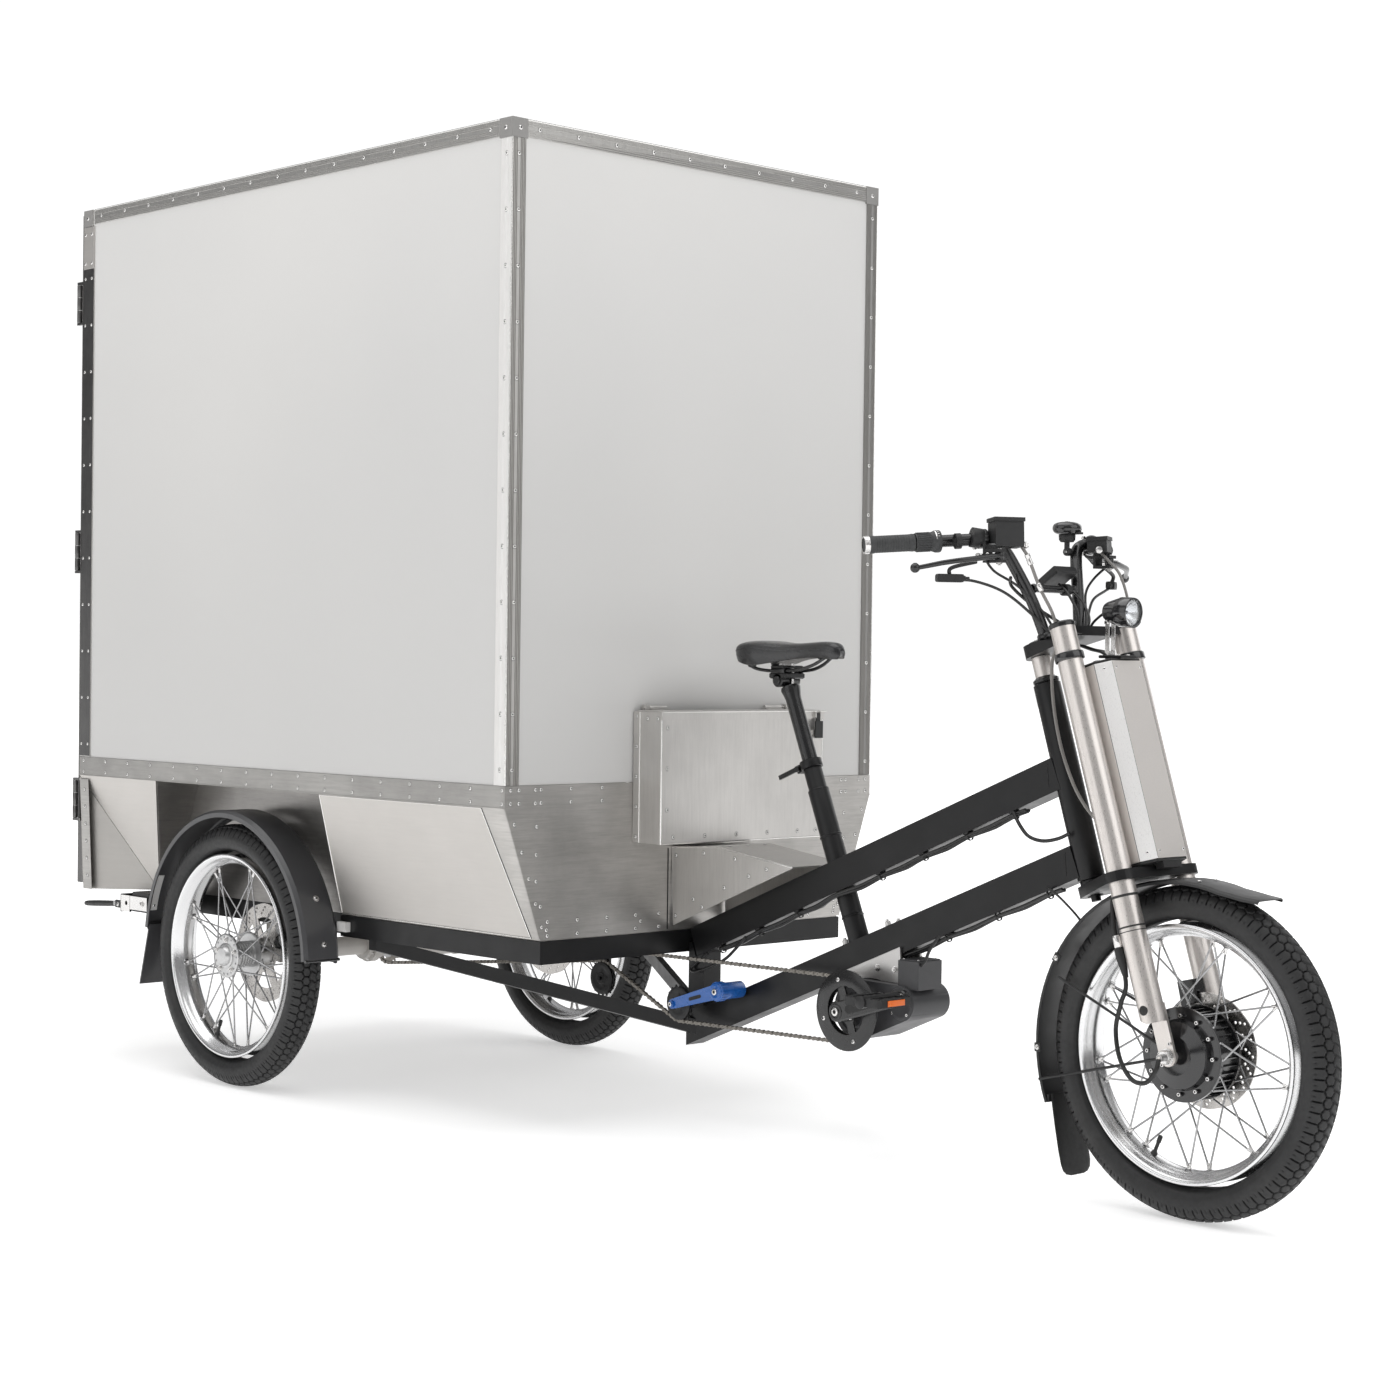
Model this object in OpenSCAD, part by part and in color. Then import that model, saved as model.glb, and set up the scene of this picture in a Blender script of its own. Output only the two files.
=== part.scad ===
// Cargo trike: box body on two rear wheels, sloping twin-beam frame, steered hub-motor front wheel.
// Millimetres. +X is forward, +Y is left, +Z is up. The origin is the middle of the footprint, on the ground.

/* [Wheels] */
// Distance between the rear axle and the front axle
wheelbase = 2211; // [2150:1:2260]
// Tyre outer radius
wheel_r = 290; // [285:1:295]
// Tyre section half width
tyre_w = 35; // [33:1:36]
// Distance from the centre plane to a rear wheel's middle
rear_half_track = 486.5; // [484:0.5:490]
// Radius of the rim flange
rim_r = 225; // [222:1:227]
// Rear brake disc radius
rear_disc_r = 110; // [95:1:112]
// Front brake disc radius
front_disc_r = 101.5; // [90:0.5:102]

/* [Cargo box] */
// Overall width over the edge profiles
box_w = 1040; // [1036:1:1044]
// Height of the roof above the ground
box_top = 2001; // [1900:1:2050]
// Height of the lower edge of the wall panels
panel_low = 708; // [700:1:716]
// Front face of the box, forward of the rear axle
box_front = 965; // [955:1:975]
// Rear face of the doors, behind the rear axle
box_tail = 656; // [650:1:680]
// Thickness of the sandwich wall panels
panel_t = 20; // [12:1:24]
// Flange width of the edge profiles
profile_w = 34; // [28:1:38]
// Height of the load deck above the ground
deck_z = 400; // [399:1:402]

/* [Frame] */
// Width of the welded main beams
beam_w = 50; // [40:1:54]
// Depth of the main beams
beam_d = 60; // [54:1:62]
// Slope of both beams above the ground
beam_slope = 22.4; // [22:0.1:23]
// Height of the load frame rails
rail_h = 46; // [40:1:48]
// Width of the load frame rails
rail_w = 50; // [40:1:52]
// Lean of the seat tube from the vertical
seat_lean = 22; // [21:0.5:23]

/* [Steering] */
// Lean of the steering axis from the vertical
steer_lean = 17.4; // [16.5:0.1:18]
// Distance of the fork legs in front of the steering axis
fork_offset = 129.3; // [124:0.1:134]
// Distance down the steering axis from the head tube's middle to the front axle
fork_drop = 520.5; // [510:0.5:530]
// Half distance between the fork legs
leg_y = 88; // [86:1:92]
// Radius of the fork legs
leg_r = 22.5; // [20:0.5:23]

/* [Drive] */
// Crank axis, forward of the rear axle
crank_x = 1466; // [1455:1:1475]
// Crank arm length between axes
crank_len = 170; // [160:1:175]
// Crank angle at rest, above the forward direction
crank_angle = 15; // [0:1:30]
// Pitch radius of the front chainring, 31 teeth
ring_r = 62.7; // [58:0.1:64]
// Pitch radius of the rear sprocket, 23 teeth
sprocket_r = 46.6; // [44:0.1:48]
// Distance of the chain from the centre plane, to the right
chain_y = 75; // [73:0.5:78]

/* [Hidden] */
$fn = 64;
door_gear = 16;            // how far the lock rod's handle stands behind the doors
rear_axle_x = -(wheelbase + wheel_r - box_tail - door_gear) / 2;
axle_z = wheel_r;
half_w = box_w / 2;
gap = 0.4;                 // clear space between neighbouring pieces
weld = 0.06;               // hairline between welded tubes
skin = 2;                  // sheet metal thickness
band_low = panel_low - 44; // lower edge of the riveted band under the walls
door_t = 22;
wall_rear = -box_tail + door_t + 3;
cap = 38;                  // corner cap edge length
deck_half = 426;           // half width of the hull at the deck
hull_low = deck_z + 2.4;   // lower edge of the sheets round the deck
arch_y = 405;              // inner wall of the wheel arches
arch_front = 345;
arch_front_low = 305;
arch_rear = -290;
arch_rear_low = -395;
head_x = wheelbase - fork_offset * cos(steer_lean) - fork_drop * sin(steer_lean);
head_z = axle_z - fork_offset * sin(steer_lean) + fork_drop * cos(steer_lean);
seat_x = 1322.7;           // a point on the seat tube axis
seat_z = 663;
toolbox_x = box_front + 83;
toolbox_low = 586;
toolbox_top = 852;
toolbox_right = -185;
toolbox_left = 280;
rail_low = deck_z - rail_h;
beam_top = [box_front + 3, 402];   // upper edge of the upper beam at its rear end
low_beam_top = [box_front + 3, 227];
beam_len = 1000;
chain_half = 4.3;          // half height of the chain plates
pulley_r = 36.6;           // 18 teeth
tension_c = [995, 254];    // tensioner pulley axis
guide_c = [756, 282];      // guide pulley axis
arm_pivot = [1124, 292];   // tensioner arm pivot
crank_z = 290;
gear_nose = [crank_x + 112, crank_z + 22];  // middle of the gearbox's front end
bar_grip = [1733, 330, 1165];
bar_bend = [1850, 142, 1180];
lever_pivot = [1893, 158, 1149];
lever_tip = [1821, 300, 1124];
bell_at = [1852, 84, 1210];
hinge_x = -box_tail - 3;
hinge_y = half_w - 6;
pin_r = 3;                 // radius of the hinge pins
lever_at = [-480, -482, 366];      // pivot of the load lock lever

// ---------------------------------------------------------------- helpers

// Children are placed from the ground point below the rear axle.
module from_axle() { translate([rear_axle_x, 0, 0]) children(); }

// Children are placed from the head tube's middle, with +Z up the steering axis.
module on_steering() {
    translate([head_x, 0, head_z]) rotate([0, -steer_lean, 0]) children();
}

// Children are placed from a point on the seat tube axis, with +Z up the tube.
module on_seat_tube() { translate([seat_x, 0, seat_z]) rotate([0, -seat_lean, 0]) children(); }

// Children are drawn in the XZ plane and given a thickness from y0 to y1.
module slab_y(y0, y1) { translate([0, y1, 0]) rotate([90, 0, 0]) linear_extrude(y1 - y0) children(); }

// A cylinder along Y from y0 to y1.
module rod_y(r, y0, y1) { translate([0, y1, 0]) rotate([90, 0, 0]) cylinder(h = y1 - y0, r = r); }

// A profile of [radius, across] points turned about the Y axis.
module turned_y(points) { rotate([90, 0, 0]) rotate_extrude() polygon(points); }

// A cylinder between two points.
module rod(p, q, r, sides = 64) {
    d = q - p;
    translate(p) rotate([0, acos(d.z / norm(d)), atan2(d.y, d.x)]) cylinder(h = norm(d), r = r, $fn = sides);
}

// A box given by its lowest and highest corners.
module block(low, high) { translate(low) cube(high - low); }

// Both the shape and its mirror image on the other side of the centre plane.
module both_sides() {
    children();
    mirror([0, 1, 0]) children();
}

// A flat sheet: a planar outline and the vector that gives its thickness.
module plate(points, shift) {
    n = len(points);
    normal = cross(points[1] - points[0], points[2] - points[0]);
    along = normal * shift > 0;
    bottom = along ? [for (i = [0 : n - 1]) i] : [for (i = [n - 1 : -1 : 0]) i];
    top = [for (i = [n - 1 : -1 : 0]) bottom[i] + n];
    sides = [for (i = [0 : n - 1])
        let (a = bottom[i], b = bottom[(i + 1) % n])
        [b, a, a + n, b + n]];
    polyhedron(points = concat(points, [for (p = points) p + shift]), faces = concat([bottom], [top], sides));
}

// A hollow rectangular tube along X, with its upper near edge on the X axis and its middle at y = 0.
module box_tube(length, width, height, wall = 3) {
    difference() {
        translate([0, -width / 2, -height]) cube([length, width, height]);
        translate([-1, -width / 2 + wall, -height + wall])
            cube([length + 2, width - 2 * wall, height - 2 * wall]);
    }
}

// Smooth curve through hand-set points, with a few steps between each pair.
function between(a, b, c, d, t) = 0.5 * ((2 * b) + (c - a) * t + (2 * a - 5 * b + 4 * c - d) * t * t
    + (3 * b - a - 3 * c + d) * t * t * t);
function smooth(p, steps) = let (n = len(p)) concat([for (i = [0 : n - 2], s = [0 : steps - 1])
    between(p[max(i - 1, 0)], p[i], p[i + 1], p[min(i + 2, n - 1)], s / steps)], [p[n - 1]]);
function unit(v) = v / norm(v);
function ring_at(path, i, r, sides, ref) = let (n = len(path),
    t = unit(path[min(i + 1, n - 1)] - path[max(i - 1, 0)]), u = unit(cross(t, ref)), v = cross(u, t))
    [for (k = [0 : sides - 1]) path[i] + r * (cos(360 * k / sides) * u + sin(360 * k / sides) * v)];

// A round tube swept along a smooth path through the points; ref is never parallel to the path.
module hose(points, r, steps = 4, sides = 8, ref = [0, 1, 0]) {
    path = smooth(points, steps);
    n = len(path);
    verts = [for (i = [0 : n - 1]) each ring_at(path, i, r, sides, ref)];
    walls = [for (i = [0 : n - 2], k = [0 : sides - 1])
        [i * sides + (k + 1) % sides, (i + 1) * sides + (k + 1) % sides, (i + 1) * sides + k, i * sides + k]];
    start = [for (k = [sides - 1 : -1 : 0]) k];
    finish = [for (k = [0 : sides - 1]) (n - 1) * sides + k];
    polyhedron(points = verts, faces = concat([start], [finish], walls));
}

// ---------------------------------------------------------------- frame

module load_frame() color([0.07, 0.07, 0.08]) from_axle() {
    inner_half = 395;
    mid_rail = 300;
    tail_rail = -420;
    difference() {
        union() {
            // front cross rail, side rails, middle cross rail, inner rails and rear cross rail
            block([box_front - rail_w, -deck_half, rail_low], [box_front, deck_half, deck_z - gap]);
            both_sides() block([mid_rail, -deck_half, rail_low], [box_front, rail_w - deck_half, deck_z - gap]);
            block([mid_rail, -deck_half, rail_low], [mid_rail + rail_w, deck_half, deck_z - gap]);
            both_sides() block([tail_rail, -inner_half, rail_low],
                               [mid_rail + 1, rail_w - inner_half, deck_z - gap]);
            block([tail_rail, -500, rail_low], [tail_rail + 70, 500, deck_z - gap]);
            // cross rail with the guide pulley's hanger and pin
            block([736, rail_w - deck_half - 1, rail_low], [776, deck_half - rail_w + 1, deck_z - gap]);
            block([guide_c.x - 9, -66, guide_c.y - 10], [guide_c.x + 9, -60, rail_low + 1]);
            translate([guide_c.x, 0, guide_c.y]) rod_y(4, -88, -61);
        }
        block([box_front - rail_w + 3, 4 - deck_half, rail_low + 3],
              [box_front - 3, deck_half - 4, deck_z - 3]);
        both_sides() block([mid_rail + 4, 3 - deck_half, rail_low + 3],
                           [box_front - rail_w - 1, rail_w - deck_half - 3, deck_z - 3]);
        block([tail_rail + 3, -496, rail_low + 3], [tail_rail + 67, 496, deck_z - 3]);
        both_sides() block([tail_rail + 71, 3 - inner_half, rail_low + 3],
                           [mid_rail - 3, rail_w - inner_half - 3, deck_z - 3]);
    }
    // fender stubs beside the middle cross rail
    both_sides() block([306, -deck_half - 13, rail_low + 12], [336, -deck_half, deck_z - 14]);
    // load lock bracket: a folded plate with a hole for the clevis pin
    difference() {
        union() {
            block([-462, -504, 352], [-424, -500.5, 390]);
            block([-466, -504, 350], [-462, -466, 392]);
            block([-424, -504, 358], [-350, -500, 390]);
            block([-490, -504, 358], [-462, -500.5, 376]);
            translate([lever_at.x, 0, lever_at.z]) rod_y(3, -503, -468);
        }
        translate([-440, 0, 372]) rod_y(5, -510, -490);
    }
}

module on_upper_beam() { translate([beam_top.x, 0, beam_top.y]) rotate([0, -beam_slope, 0]) children(); }
module on_lower_beam() {
    translate([low_beam_top.x - 40, 0, low_beam_top.y - 16.5]) rotate([0, -beam_slope, 0]) children();
}

// The space that a beam takes up, with the hairline of the weld round it.
module beam_space() {
    block([-5, -beam_w / 2 - weld, -beam_d - weld], [beam_len + 150, beam_w / 2 + weld, weld]);
}
module head_tube_space() { on_steering() translate([0, 0, -200]) cylinder(h = 400, r = 25 + weld); }
module seat_tube_space() { on_seat_tube() translate([0, 0, -305 - weld]) cylinder(h = 420, r = 21 + weld); }

// The space of the load frame's rails, and behind the post.
module rail_space() {
    block([box_front - rail_w - 60, -deck_half - 5, rail_low - gap], [box_front + gap, deck_half + 5, 450]);
    block([290, -deck_half - 5, rail_low - gap], [400, deck_half + 5, 450]);
    block([800, -30, 100], [box_front - 4, 30, 340]);
}

module bike_frame() color([0.06, 0.06, 0.07]) from_axle() {
    difference() {
        union() {
            on_upper_beam() box_tube(beam_len + 18, beam_w, beam_d);
            on_lower_beam() box_tube(beam_len + 110, beam_w, beam_d);
        }
        rail_space();
        head_tube_space();
        seat_tube_space();
    }
    on_steering() difference() {
        translate([0, 0, -182]) cylinder(h = 364, r = 25);
        translate([0, 0, -170]) cylinder(h = 340, r = 20);
        translate([0, 0, -200]) cylinder(h = 400, r = 14.36);
    }
    on_seat_tube() difference() {
        union() {
            translate([0, 0, -305]) cylinder(h = 345, r = 21);
            translate([0, 0, 39]) cylinder(h = 50, r = 18.5);
        }
        translate([0, 0, -240]) cylinder(h = 340, r = 15.86);
    }
    // stud of the tensioner arm
    translate([arm_pivot.x, 0, arm_pivot.y]) rod_y(6, -88, -beam_w / 2 - weld);
    // post between the beams, in front of the front rail
    difference() {
        block([box_front + gap, 1 - beam_w / 2, 200], [box_front + 46, beam_w / 2 - 1, rail_low + 20]);
        on_upper_beam() beam_space();
        on_lower_beam() beam_space();
    }
    // side braces from the lower beam's foot to the side rails
    difference() {
        both_sides() plate([[975, -20, 184], [1000, -20, 184], [1000, -20, 214], [975, -20, 214]],
            [-655, -345, 138]);
        rail_space();
        on_lower_beam() beam_space();
    }
    // clamp collar at the top of the seat tube
    on_seat_tube() difference() {
        union() {
            translate([0, 0, 89.3]) cylinder(h = 16, r = 22);
            block([-34, -9, 89.3], [-18, 9, 105.3]);
        }
        translate([0, 0, 80]) cylinder(h = 40, r = 15.86);
        block([-40, -1, 80], [-10, 1, 120]);
        translate([-28, 0, 97.3]) rod_y(3.05, -12, 12);
    }
}

module rear_axle() color([0.62, 0.61, 0.58]) from_axle() translate([0, 0, axle_z]) {
    both_sides() difference() {
        union() {
            rod_y(22, -400, -132);
            rod_y(33, -150, -104);
            rod_y(40, -136, -118);
            // hanger plate up to the inner rail
            block([-30, -392, 15], [30, -386, rail_low - axle_z - gap]);
            block([-30, -352, 15], [30, -346, rail_low - axle_z - gap]);
        }
        rod_y(12, -500, 0);
    }
    // the differential's left half
    difference() {
        rod_y(38, -54, 103.5);
        rod_y(12, -60, 110);
    }
}

// ---------------------------------------------------------------- cargo box

module box_panels() color([0.80, 0.80, 0.79]) from_axle() {
    y0 = half_w - skin - gap;
    z1 = box_top - skin - gap;
    x1 = box_front - skin - gap;
    both_sides() block([wall_rear, -y0, panel_low], [x1, panel_t - y0, z1 - panel_t - gap]);
    block([x1 - panel_t, panel_t + gap - y0, panel_low], [x1, y0 - panel_t - gap, z1 - panel_t - gap]);
    block([wall_rear, -y0, z1 - panel_t], [x1, y0, z1]);
}

module box_floor() color([0.35, 0.30, 0.25]) from_axle() {
    block([wall_rear, 8 - arch_y, deck_z + skin + gap], [box_front - 12, arch_y - 8, deck_z + skin + 12]);
}

module edge_profiles() color([0.62, 0.62, 0.62]) from_axle() {
    z0 = panel_low + gap;
    z1 = box_top - cap - gap;
    x0 = wall_rear + 46;
    x1 = box_front - cap - gap;
    y1 = half_w - cap - gap;
    ear_y = 0.6 - half_w;
    both_sides() {
        // front corner, upright
        block([box_front - profile_w, -half_w, z0], [box_front, skin - half_w, z1]);
        block([box_front - skin, -half_w, z0], [box_front, profile_w - half_w, z1]);
        // roof edge along the side
        block([x0, -half_w, box_top - profile_w], [x1, skin - half_w, box_top]);
        block([x0, -half_w, box_top - skin], [x1, profile_w - half_w, box_top]);
        // flat door-frame strip with the upper plate on it
        block([wall_rear, -half_w, z0], [wall_rear + 46 - gap, skin - half_w, box_top - cap - gap]);
        // hinge pins of the doors, each held by an ear at its two ends
        for (z = hinge_z) {
            translate([hinge_x, -hinge_y, z - 6]) cylinder(h = hinge_len + 12, r = pin_r);
            for (ear = [z - 6, z + hinge_len + gap]) {
                block([hinge_x - pin_r, ear_y, ear], [wall_rear - gap, ear_y + 8.4, ear + 6 - gap]);
                block([hinge_x - pin_r, ear_y, ear], [wall_rear + 1, skin - half_w, ear + 6 - gap]);
            }
        }
        // upright below the strip, which carries the lowest hinge
        block([wall_rear - 3, ear_y, hinge_z[0] - 6], [wall_rear - gap, ear_y + 8.4, z0 + 12]);
        block([wall_rear - 3, ear_y, z0], [wall_rear + 1, skin - half_w, z0 + 12]);
        // top corner caps
        for (x = [wall_rear, box_front - cap])
            difference() {
                block([x - 0.4, -half_w - 0.6, box_top - cap], [x + cap + 0.4, cap - half_w, box_top + 0.6]);
                block([x - 1, skin + gap - half_w, box_top - cap - 1],
                      [x == wall_rear ? x + cap + 1 : x + cap - skin - gap, cap - half_w + 1,
                       box_top - skin - gap]);
            }
    }
    // roof edges across the front and the back
    block([box_front - skin, -y1, box_top - profile_w], [box_front, y1, box_top]);
    block([box_front - profile_w, -y1, box_top - skin], [box_front, y1, box_top]);
    block([wall_rear, -y1, box_top - skin], [wall_rear + profile_w, y1, box_top]);
}

module skirt_plates() color([0.45, 0.44, 0.42]) from_axle() {
    low_y = deck_half + 1;
    front_x = box_front - skin;
    both_sides() {
        // riveted band under the wall
        block([wall_rear, -half_w, band_low], [front_x - gap, skin - half_w, panel_low - gap]);
        // wheel arch: inner wall, front and rear walls, roof
        plate([[arch_front, -arch_y, band_low], [arch_front_low, -arch_y, hull_low],
               [arch_rear_low, -arch_y, hull_low], [arch_rear, -arch_y, band_low]], [0, skin, 0]);
        plate([[arch_front, 3 - half_w, band_low], [arch_front, -arch_y - gap, band_low],
               [arch_front_low, -arch_y - gap, hull_low], [arch_front_low, 3 - low_y, hull_low]],
              [skin, 0, 0]);
        plate([[arch_rear, 3 - half_w, band_low], [arch_rear, -arch_y - gap, band_low],
               [arch_rear_low, -arch_y - gap, hull_low], [arch_rear_low, -440, hull_low]],
              [-skin, 0, 0]);
        block([arch_rear - 1, 3 - half_w, band_low + gap], [arch_front + 1, -arch_y, band_low + gap + skin]);
        // side margin in front of the insert
        plate([[box_front - 72, -half_w, band_low - gap], [front_x - gap, -half_w, band_low - gap],
               [front_x - gap, -low_y, hull_low], [box_front - 24, -low_y, hull_low]], [0, skin, 0]);
        // ledge that carries the wall panel
        block([wall_rear, skin + gap - half_w, panel_low - 6], [front_x - 24, 26 - half_w, panel_low - gap]);
        // sheet between the deck and the arch behind the wheel
        plate([[wall_rear, -500, deck_z + gap], [arch_rear_low - 6, -436, deck_z + gap],
               [arch_rear_low - 3, 2 - arch_y, deck_z + gap], [wall_rear, 2 - arch_y, deck_z + gap]],
              [0, 0, skin]);
    }
    // front skirt, with the band that turns round the corner
    slab_x(front_x, box_front) polygon([[-half_w, panel_low - gap], [half_w, panel_low - gap],
        [half_w, band_low], [low_y, hull_low], [-low_y, hull_low], [-half_w, band_low]]);
    // deck sheet
    block([wall_rear, 2 + gap - arch_y, deck_z], [front_x - gap, arch_y - 2 - gap, deck_z + skin]);
    both_sides() block([arch_front_low + 8, 6 - low_y, deck_z], [front_x - gap, 2 - arch_y, deck_z + skin]);
    wedge_housing();
}

// A shape in the YZ plane, given a thickness from x0 to x1.
module slab_x(x0, x1) { translate([x0, 0, 0]) rotate([90, 0, 90]) linear_extrude(x1 - x0) children(); }

// Electronics housing under the tool box: near and far cheeks and a folded, sloping lid.
module wedge_housing() {
    side = 76;
    x0 = box_front + gap;
    outline = [[x0, 571], [1097, 580], [1313, 552], [x0 + 6, 412]];
    both_sides() slab_y(-side, -side + skin) polygon(outline);
    plate([[x0, -side, 572], [1097, -side, 580.5], [1097, side, 580.5], [x0, side, 572]], [0, 0, skin]);
    plate([[1097.5, -side, 580.5], [1313, -side, 552.5], [1313, side, 552.5], [1097.5, side, 580.5]],
          [0, 0, skin]);
}

module skirt_inserts() color([0.74, 0.72, 0.69]) from_axle() {
    low_y = deck_half + 1;
    rear_x = wall_rear + 2;
    both_sides() {
        // light sloping panel between the wheel arch and the front corner
        plate([[arch_front + 3, -half_w, band_low - gap], [box_front - 73, -half_w, band_low - gap],
               [box_front - 25, -low_y, hull_low], [arch_front_low + 3, -low_y, hull_low]],
              [0, skin + 1, 0]);
        // two folded facets behind the wheel
        plate([[rear_x, -half_w, band_low - gap], [arch_rear - 3, -half_w, band_low - gap],
               [arch_rear_low - 3, -442, deck_z + 3]], [0, skin, 0]);
        plate([[rear_x, -half_w, band_low - 2], [arch_rear_low - 4, -442, deck_z + 2],
               [rear_x, 12 - half_w, deck_z - 8]], [0, skin, 0]);
    }
}

module tool_box() color([0.70, 0.69, 0.67]) from_axle() {
    x0 = box_front + gap;
    difference() {
        block([x0, toolbox_right, toolbox_low], [toolbox_x, toolbox_left, toolbox_top]);
        block([x0 + skin, toolbox_right + skin, toolbox_low + skin],
              [toolbox_x - skin, toolbox_left - skin, toolbox_top + 1]);
    }
    // hinge ears for the lid, and the latch keeper
    difference() {
        for (y = [toolbox_right + 20, toolbox_left - 40])
            block([x0 + 0.5, y, toolbox_top], [x0 + 12, y + 12, toolbox_top + 13]);
        translate([x0 + 7, 0, toolbox_top + 7]) rod_y(2.55, toolbox_right, toolbox_left);
    }
    difference() {
        block([toolbox_x, toolbox_left - 34, 790], [toolbox_x + 5, toolbox_left - 10, 812]);
        translate([toolbox_x + 3, 0, 801]) rod_y(1.5, toolbox_left - 40, toolbox_left);
    }
}

module tool_box_lid() color([0.72, 0.71, 0.69]) from_axle() {
    x0 = box_front + gap;
    z = toolbox_top + gap;
    block([x0 + 14, toolbox_right - 2, z], [toolbox_x + 3, toolbox_left + 2, z + skin]);
    block([toolbox_x + gap, toolbox_right - 2, z - 16], [toolbox_x + 3, toolbox_left + 2, z + skin]);
    // hinge leaf and pin
    for (y = [toolbox_right + 33, toolbox_left - 100]) {
        block([x0 + 7, y, z], [x0 + 20, y + 47, z + 4]);
        translate([x0 + 7, 0, toolbox_top + 7]) rod_y(4.5, y, y + 47);
        block([x0 + 7, y, z + 2], [x0 + 11.5, y + 47, z + 7]);
    }
    translate([x0 + 7, 0, toolbox_top + 7]) rod_y(2.5, toolbox_right + 18, toolbox_right + 60);
    translate([x0 + 7, 0, toolbox_top + 7]) rod_y(2.5, toolbox_left - 60, toolbox_left - 24);
    // latch pivot
    difference() {
        block([toolbox_x + 3, toolbox_left - 31, z - 14], [toolbox_x + 9, toolbox_left - 13, z]);
        block([toolbox_x + 2, toolbox_left - 28, z - 15], [toolbox_x + 12, toolbox_left - 16, z + 1]);
    }
    translate([toolbox_x + 6, 0, z - 7]) rod_y(1.5, toolbox_left - 31, toolbox_left - 13);
}

module tool_box_latch() color([0.05, 0.05, 0.05]) from_axle() {
    z = toolbox_top + gap - 7;
    difference() {
        union() {
            translate([toolbox_x + 6, 0, z]) rod_y(2.7, toolbox_left - 27.5, toolbox_left - 16.5);
            block([toolbox_x + 6, toolbox_left - 27.5, z - 48], [toolbox_x + 9, toolbox_left - 16.5, z]);
            block([toolbox_x + 8.6, toolbox_left - 33, z - 50], [toolbox_x + 12, toolbox_left - 11, z - 14]);
        }
        translate([toolbox_x + 6, 0, z]) rod_y(1.56, toolbox_left - 40, toolbox_left);
    }
}

// A rear door leaf on the right; knuckles and a pin stand at its outer edge.
hinge_z = [560, 1150, 1740];
hinge_len = 90;

module door_leaf() {
    x0 = -box_tail;
    block([x0, -half_w + 12, deck_z + 6], [x0 + door_t, -2, box_top - 6]);
    // hinge straps with their knuckles
    for (z = hinge_z)
        difference() {
            union() {
                translate([hinge_x, -hinge_y, z]) cylinder(h = hinge_len, r = 6);
                block([hinge_x - 3, -hinge_y, z], [x0 + 1, 40 - hinge_y, z + hinge_len]);
            }
            translate([hinge_x, -hinge_y, z - 1]) cylinder(h = hinge_len + 2, r = pin_r + 0.05);
        }
}

module door_right() color([0.66, 0.66, 0.66]) from_axle() {
    door_leaf();
    // guides of the lock rod
    difference() {
        for (z = [640, 1000, 1700]) block([-box_tail - 14, -66, z], [1 - box_tail, -34, z + 14]);
        translate([-box_tail - 7, -50, 600]) cylinder(h = 1200, r = 5.05);
    }
}

module door_left() color([0.66, 0.66, 0.66]) from_axle() mirror([0, 1, 0]) door_leaf();

module door_bolt() color([0.62, 0.62, 0.63]) from_axle() {
    translate([-box_tail - 7, -50, deck_z + 20]) cylinder(h = box_top - deck_z - 50, r = 5);
    difference() {
        block([-box_tail - 16, -190, 1052], [-box_tail - 4, -44, 1072]);
        block([-box_tail - 10, -180, 1040], [-box_tail, -60, 1080]);
    }
    translate([-box_tail - 7, -50, 1048]) cylinder(h = 28, r = 6.8);
}

// ---------------------------------------------------------------- rear wheels' surroundings

function fender_profile(inner, outer, half) = [[inner - 12, -half], [outer - 6, -half], [outer, -half + 8],
    [outer, half - 8], [outer - 6, half], [inner - 12, half], [inner - 12, half - 2.5],
    [outer - 7, half - 2.5], [inner, half - 10], [inner, 10 - half], [outer - 7, 2.5 - half],
    [inner - 12, 2.5 - half]];

// A fender shell about the Y axis, from one angle to another above the forward direction.
module fender_arc(from_deg, to_deg, inner, half) {
    rotate([90, 0, 0]) rotate([0, 0, from_deg])
        rotate_extrude(angle = to_deg - from_deg) polygon(fender_profile(inner, inner + 4, half));
}

module rear_fenders() color([0.03, 0.03, 0.03]) from_axle() both_sides() {
    translate([0, -rear_half_track, axle_z]) {
        fender_arc(3, 173, 318, 45);
        // stays from the frame to the fender's inner edge
        for (z = [8, 78]) block([z == 8 ? 280 : 262, 45.2, z], [z == 8 ? 306 : 304, 49, z + 14]);
    }
    block([296, 46 - rear_half_track, axle_z + 6], [304, 49 - rear_half_track, axle_z + 96]);
    // mudflap hanging from the rear end
    plate([[-306, -40 - rear_half_track, 334], [-306, 40 - rear_half_track, 334],
           [-334, 46 - rear_half_track, 196], [-334, -46 - rear_half_track, 196]], [4, 0, 0]);
}

module rear_calipers() color([0.10, 0.10, 0.11]) from_axle() both_sides() {
    difference() {
        translate([92, 0, 340]) rotate([0, -28, 0]) {
            translate([-22, -430, -30]) cube([44, 32, 60]);
            translate([0, 0, 14]) rod_y(14, -437, -430.1);
            translate([0, 0, -14]) rod_y(14, -437, -430.1);
        }
        translate([0, 0, axle_z]) rod_y(rear_disc_r + 4, -419, -411);
    }
    // carrier arm from the axle tube
    difference() {
        plate([[26, -400.5, 296], [100, -400.5, 330], [84, -400.5, 356], [12, -400.5, 322]], [0, 5, 0]);
        translate([0, 0, axle_z]) rod_y(22.3, -410, -380);
    }
}

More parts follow.
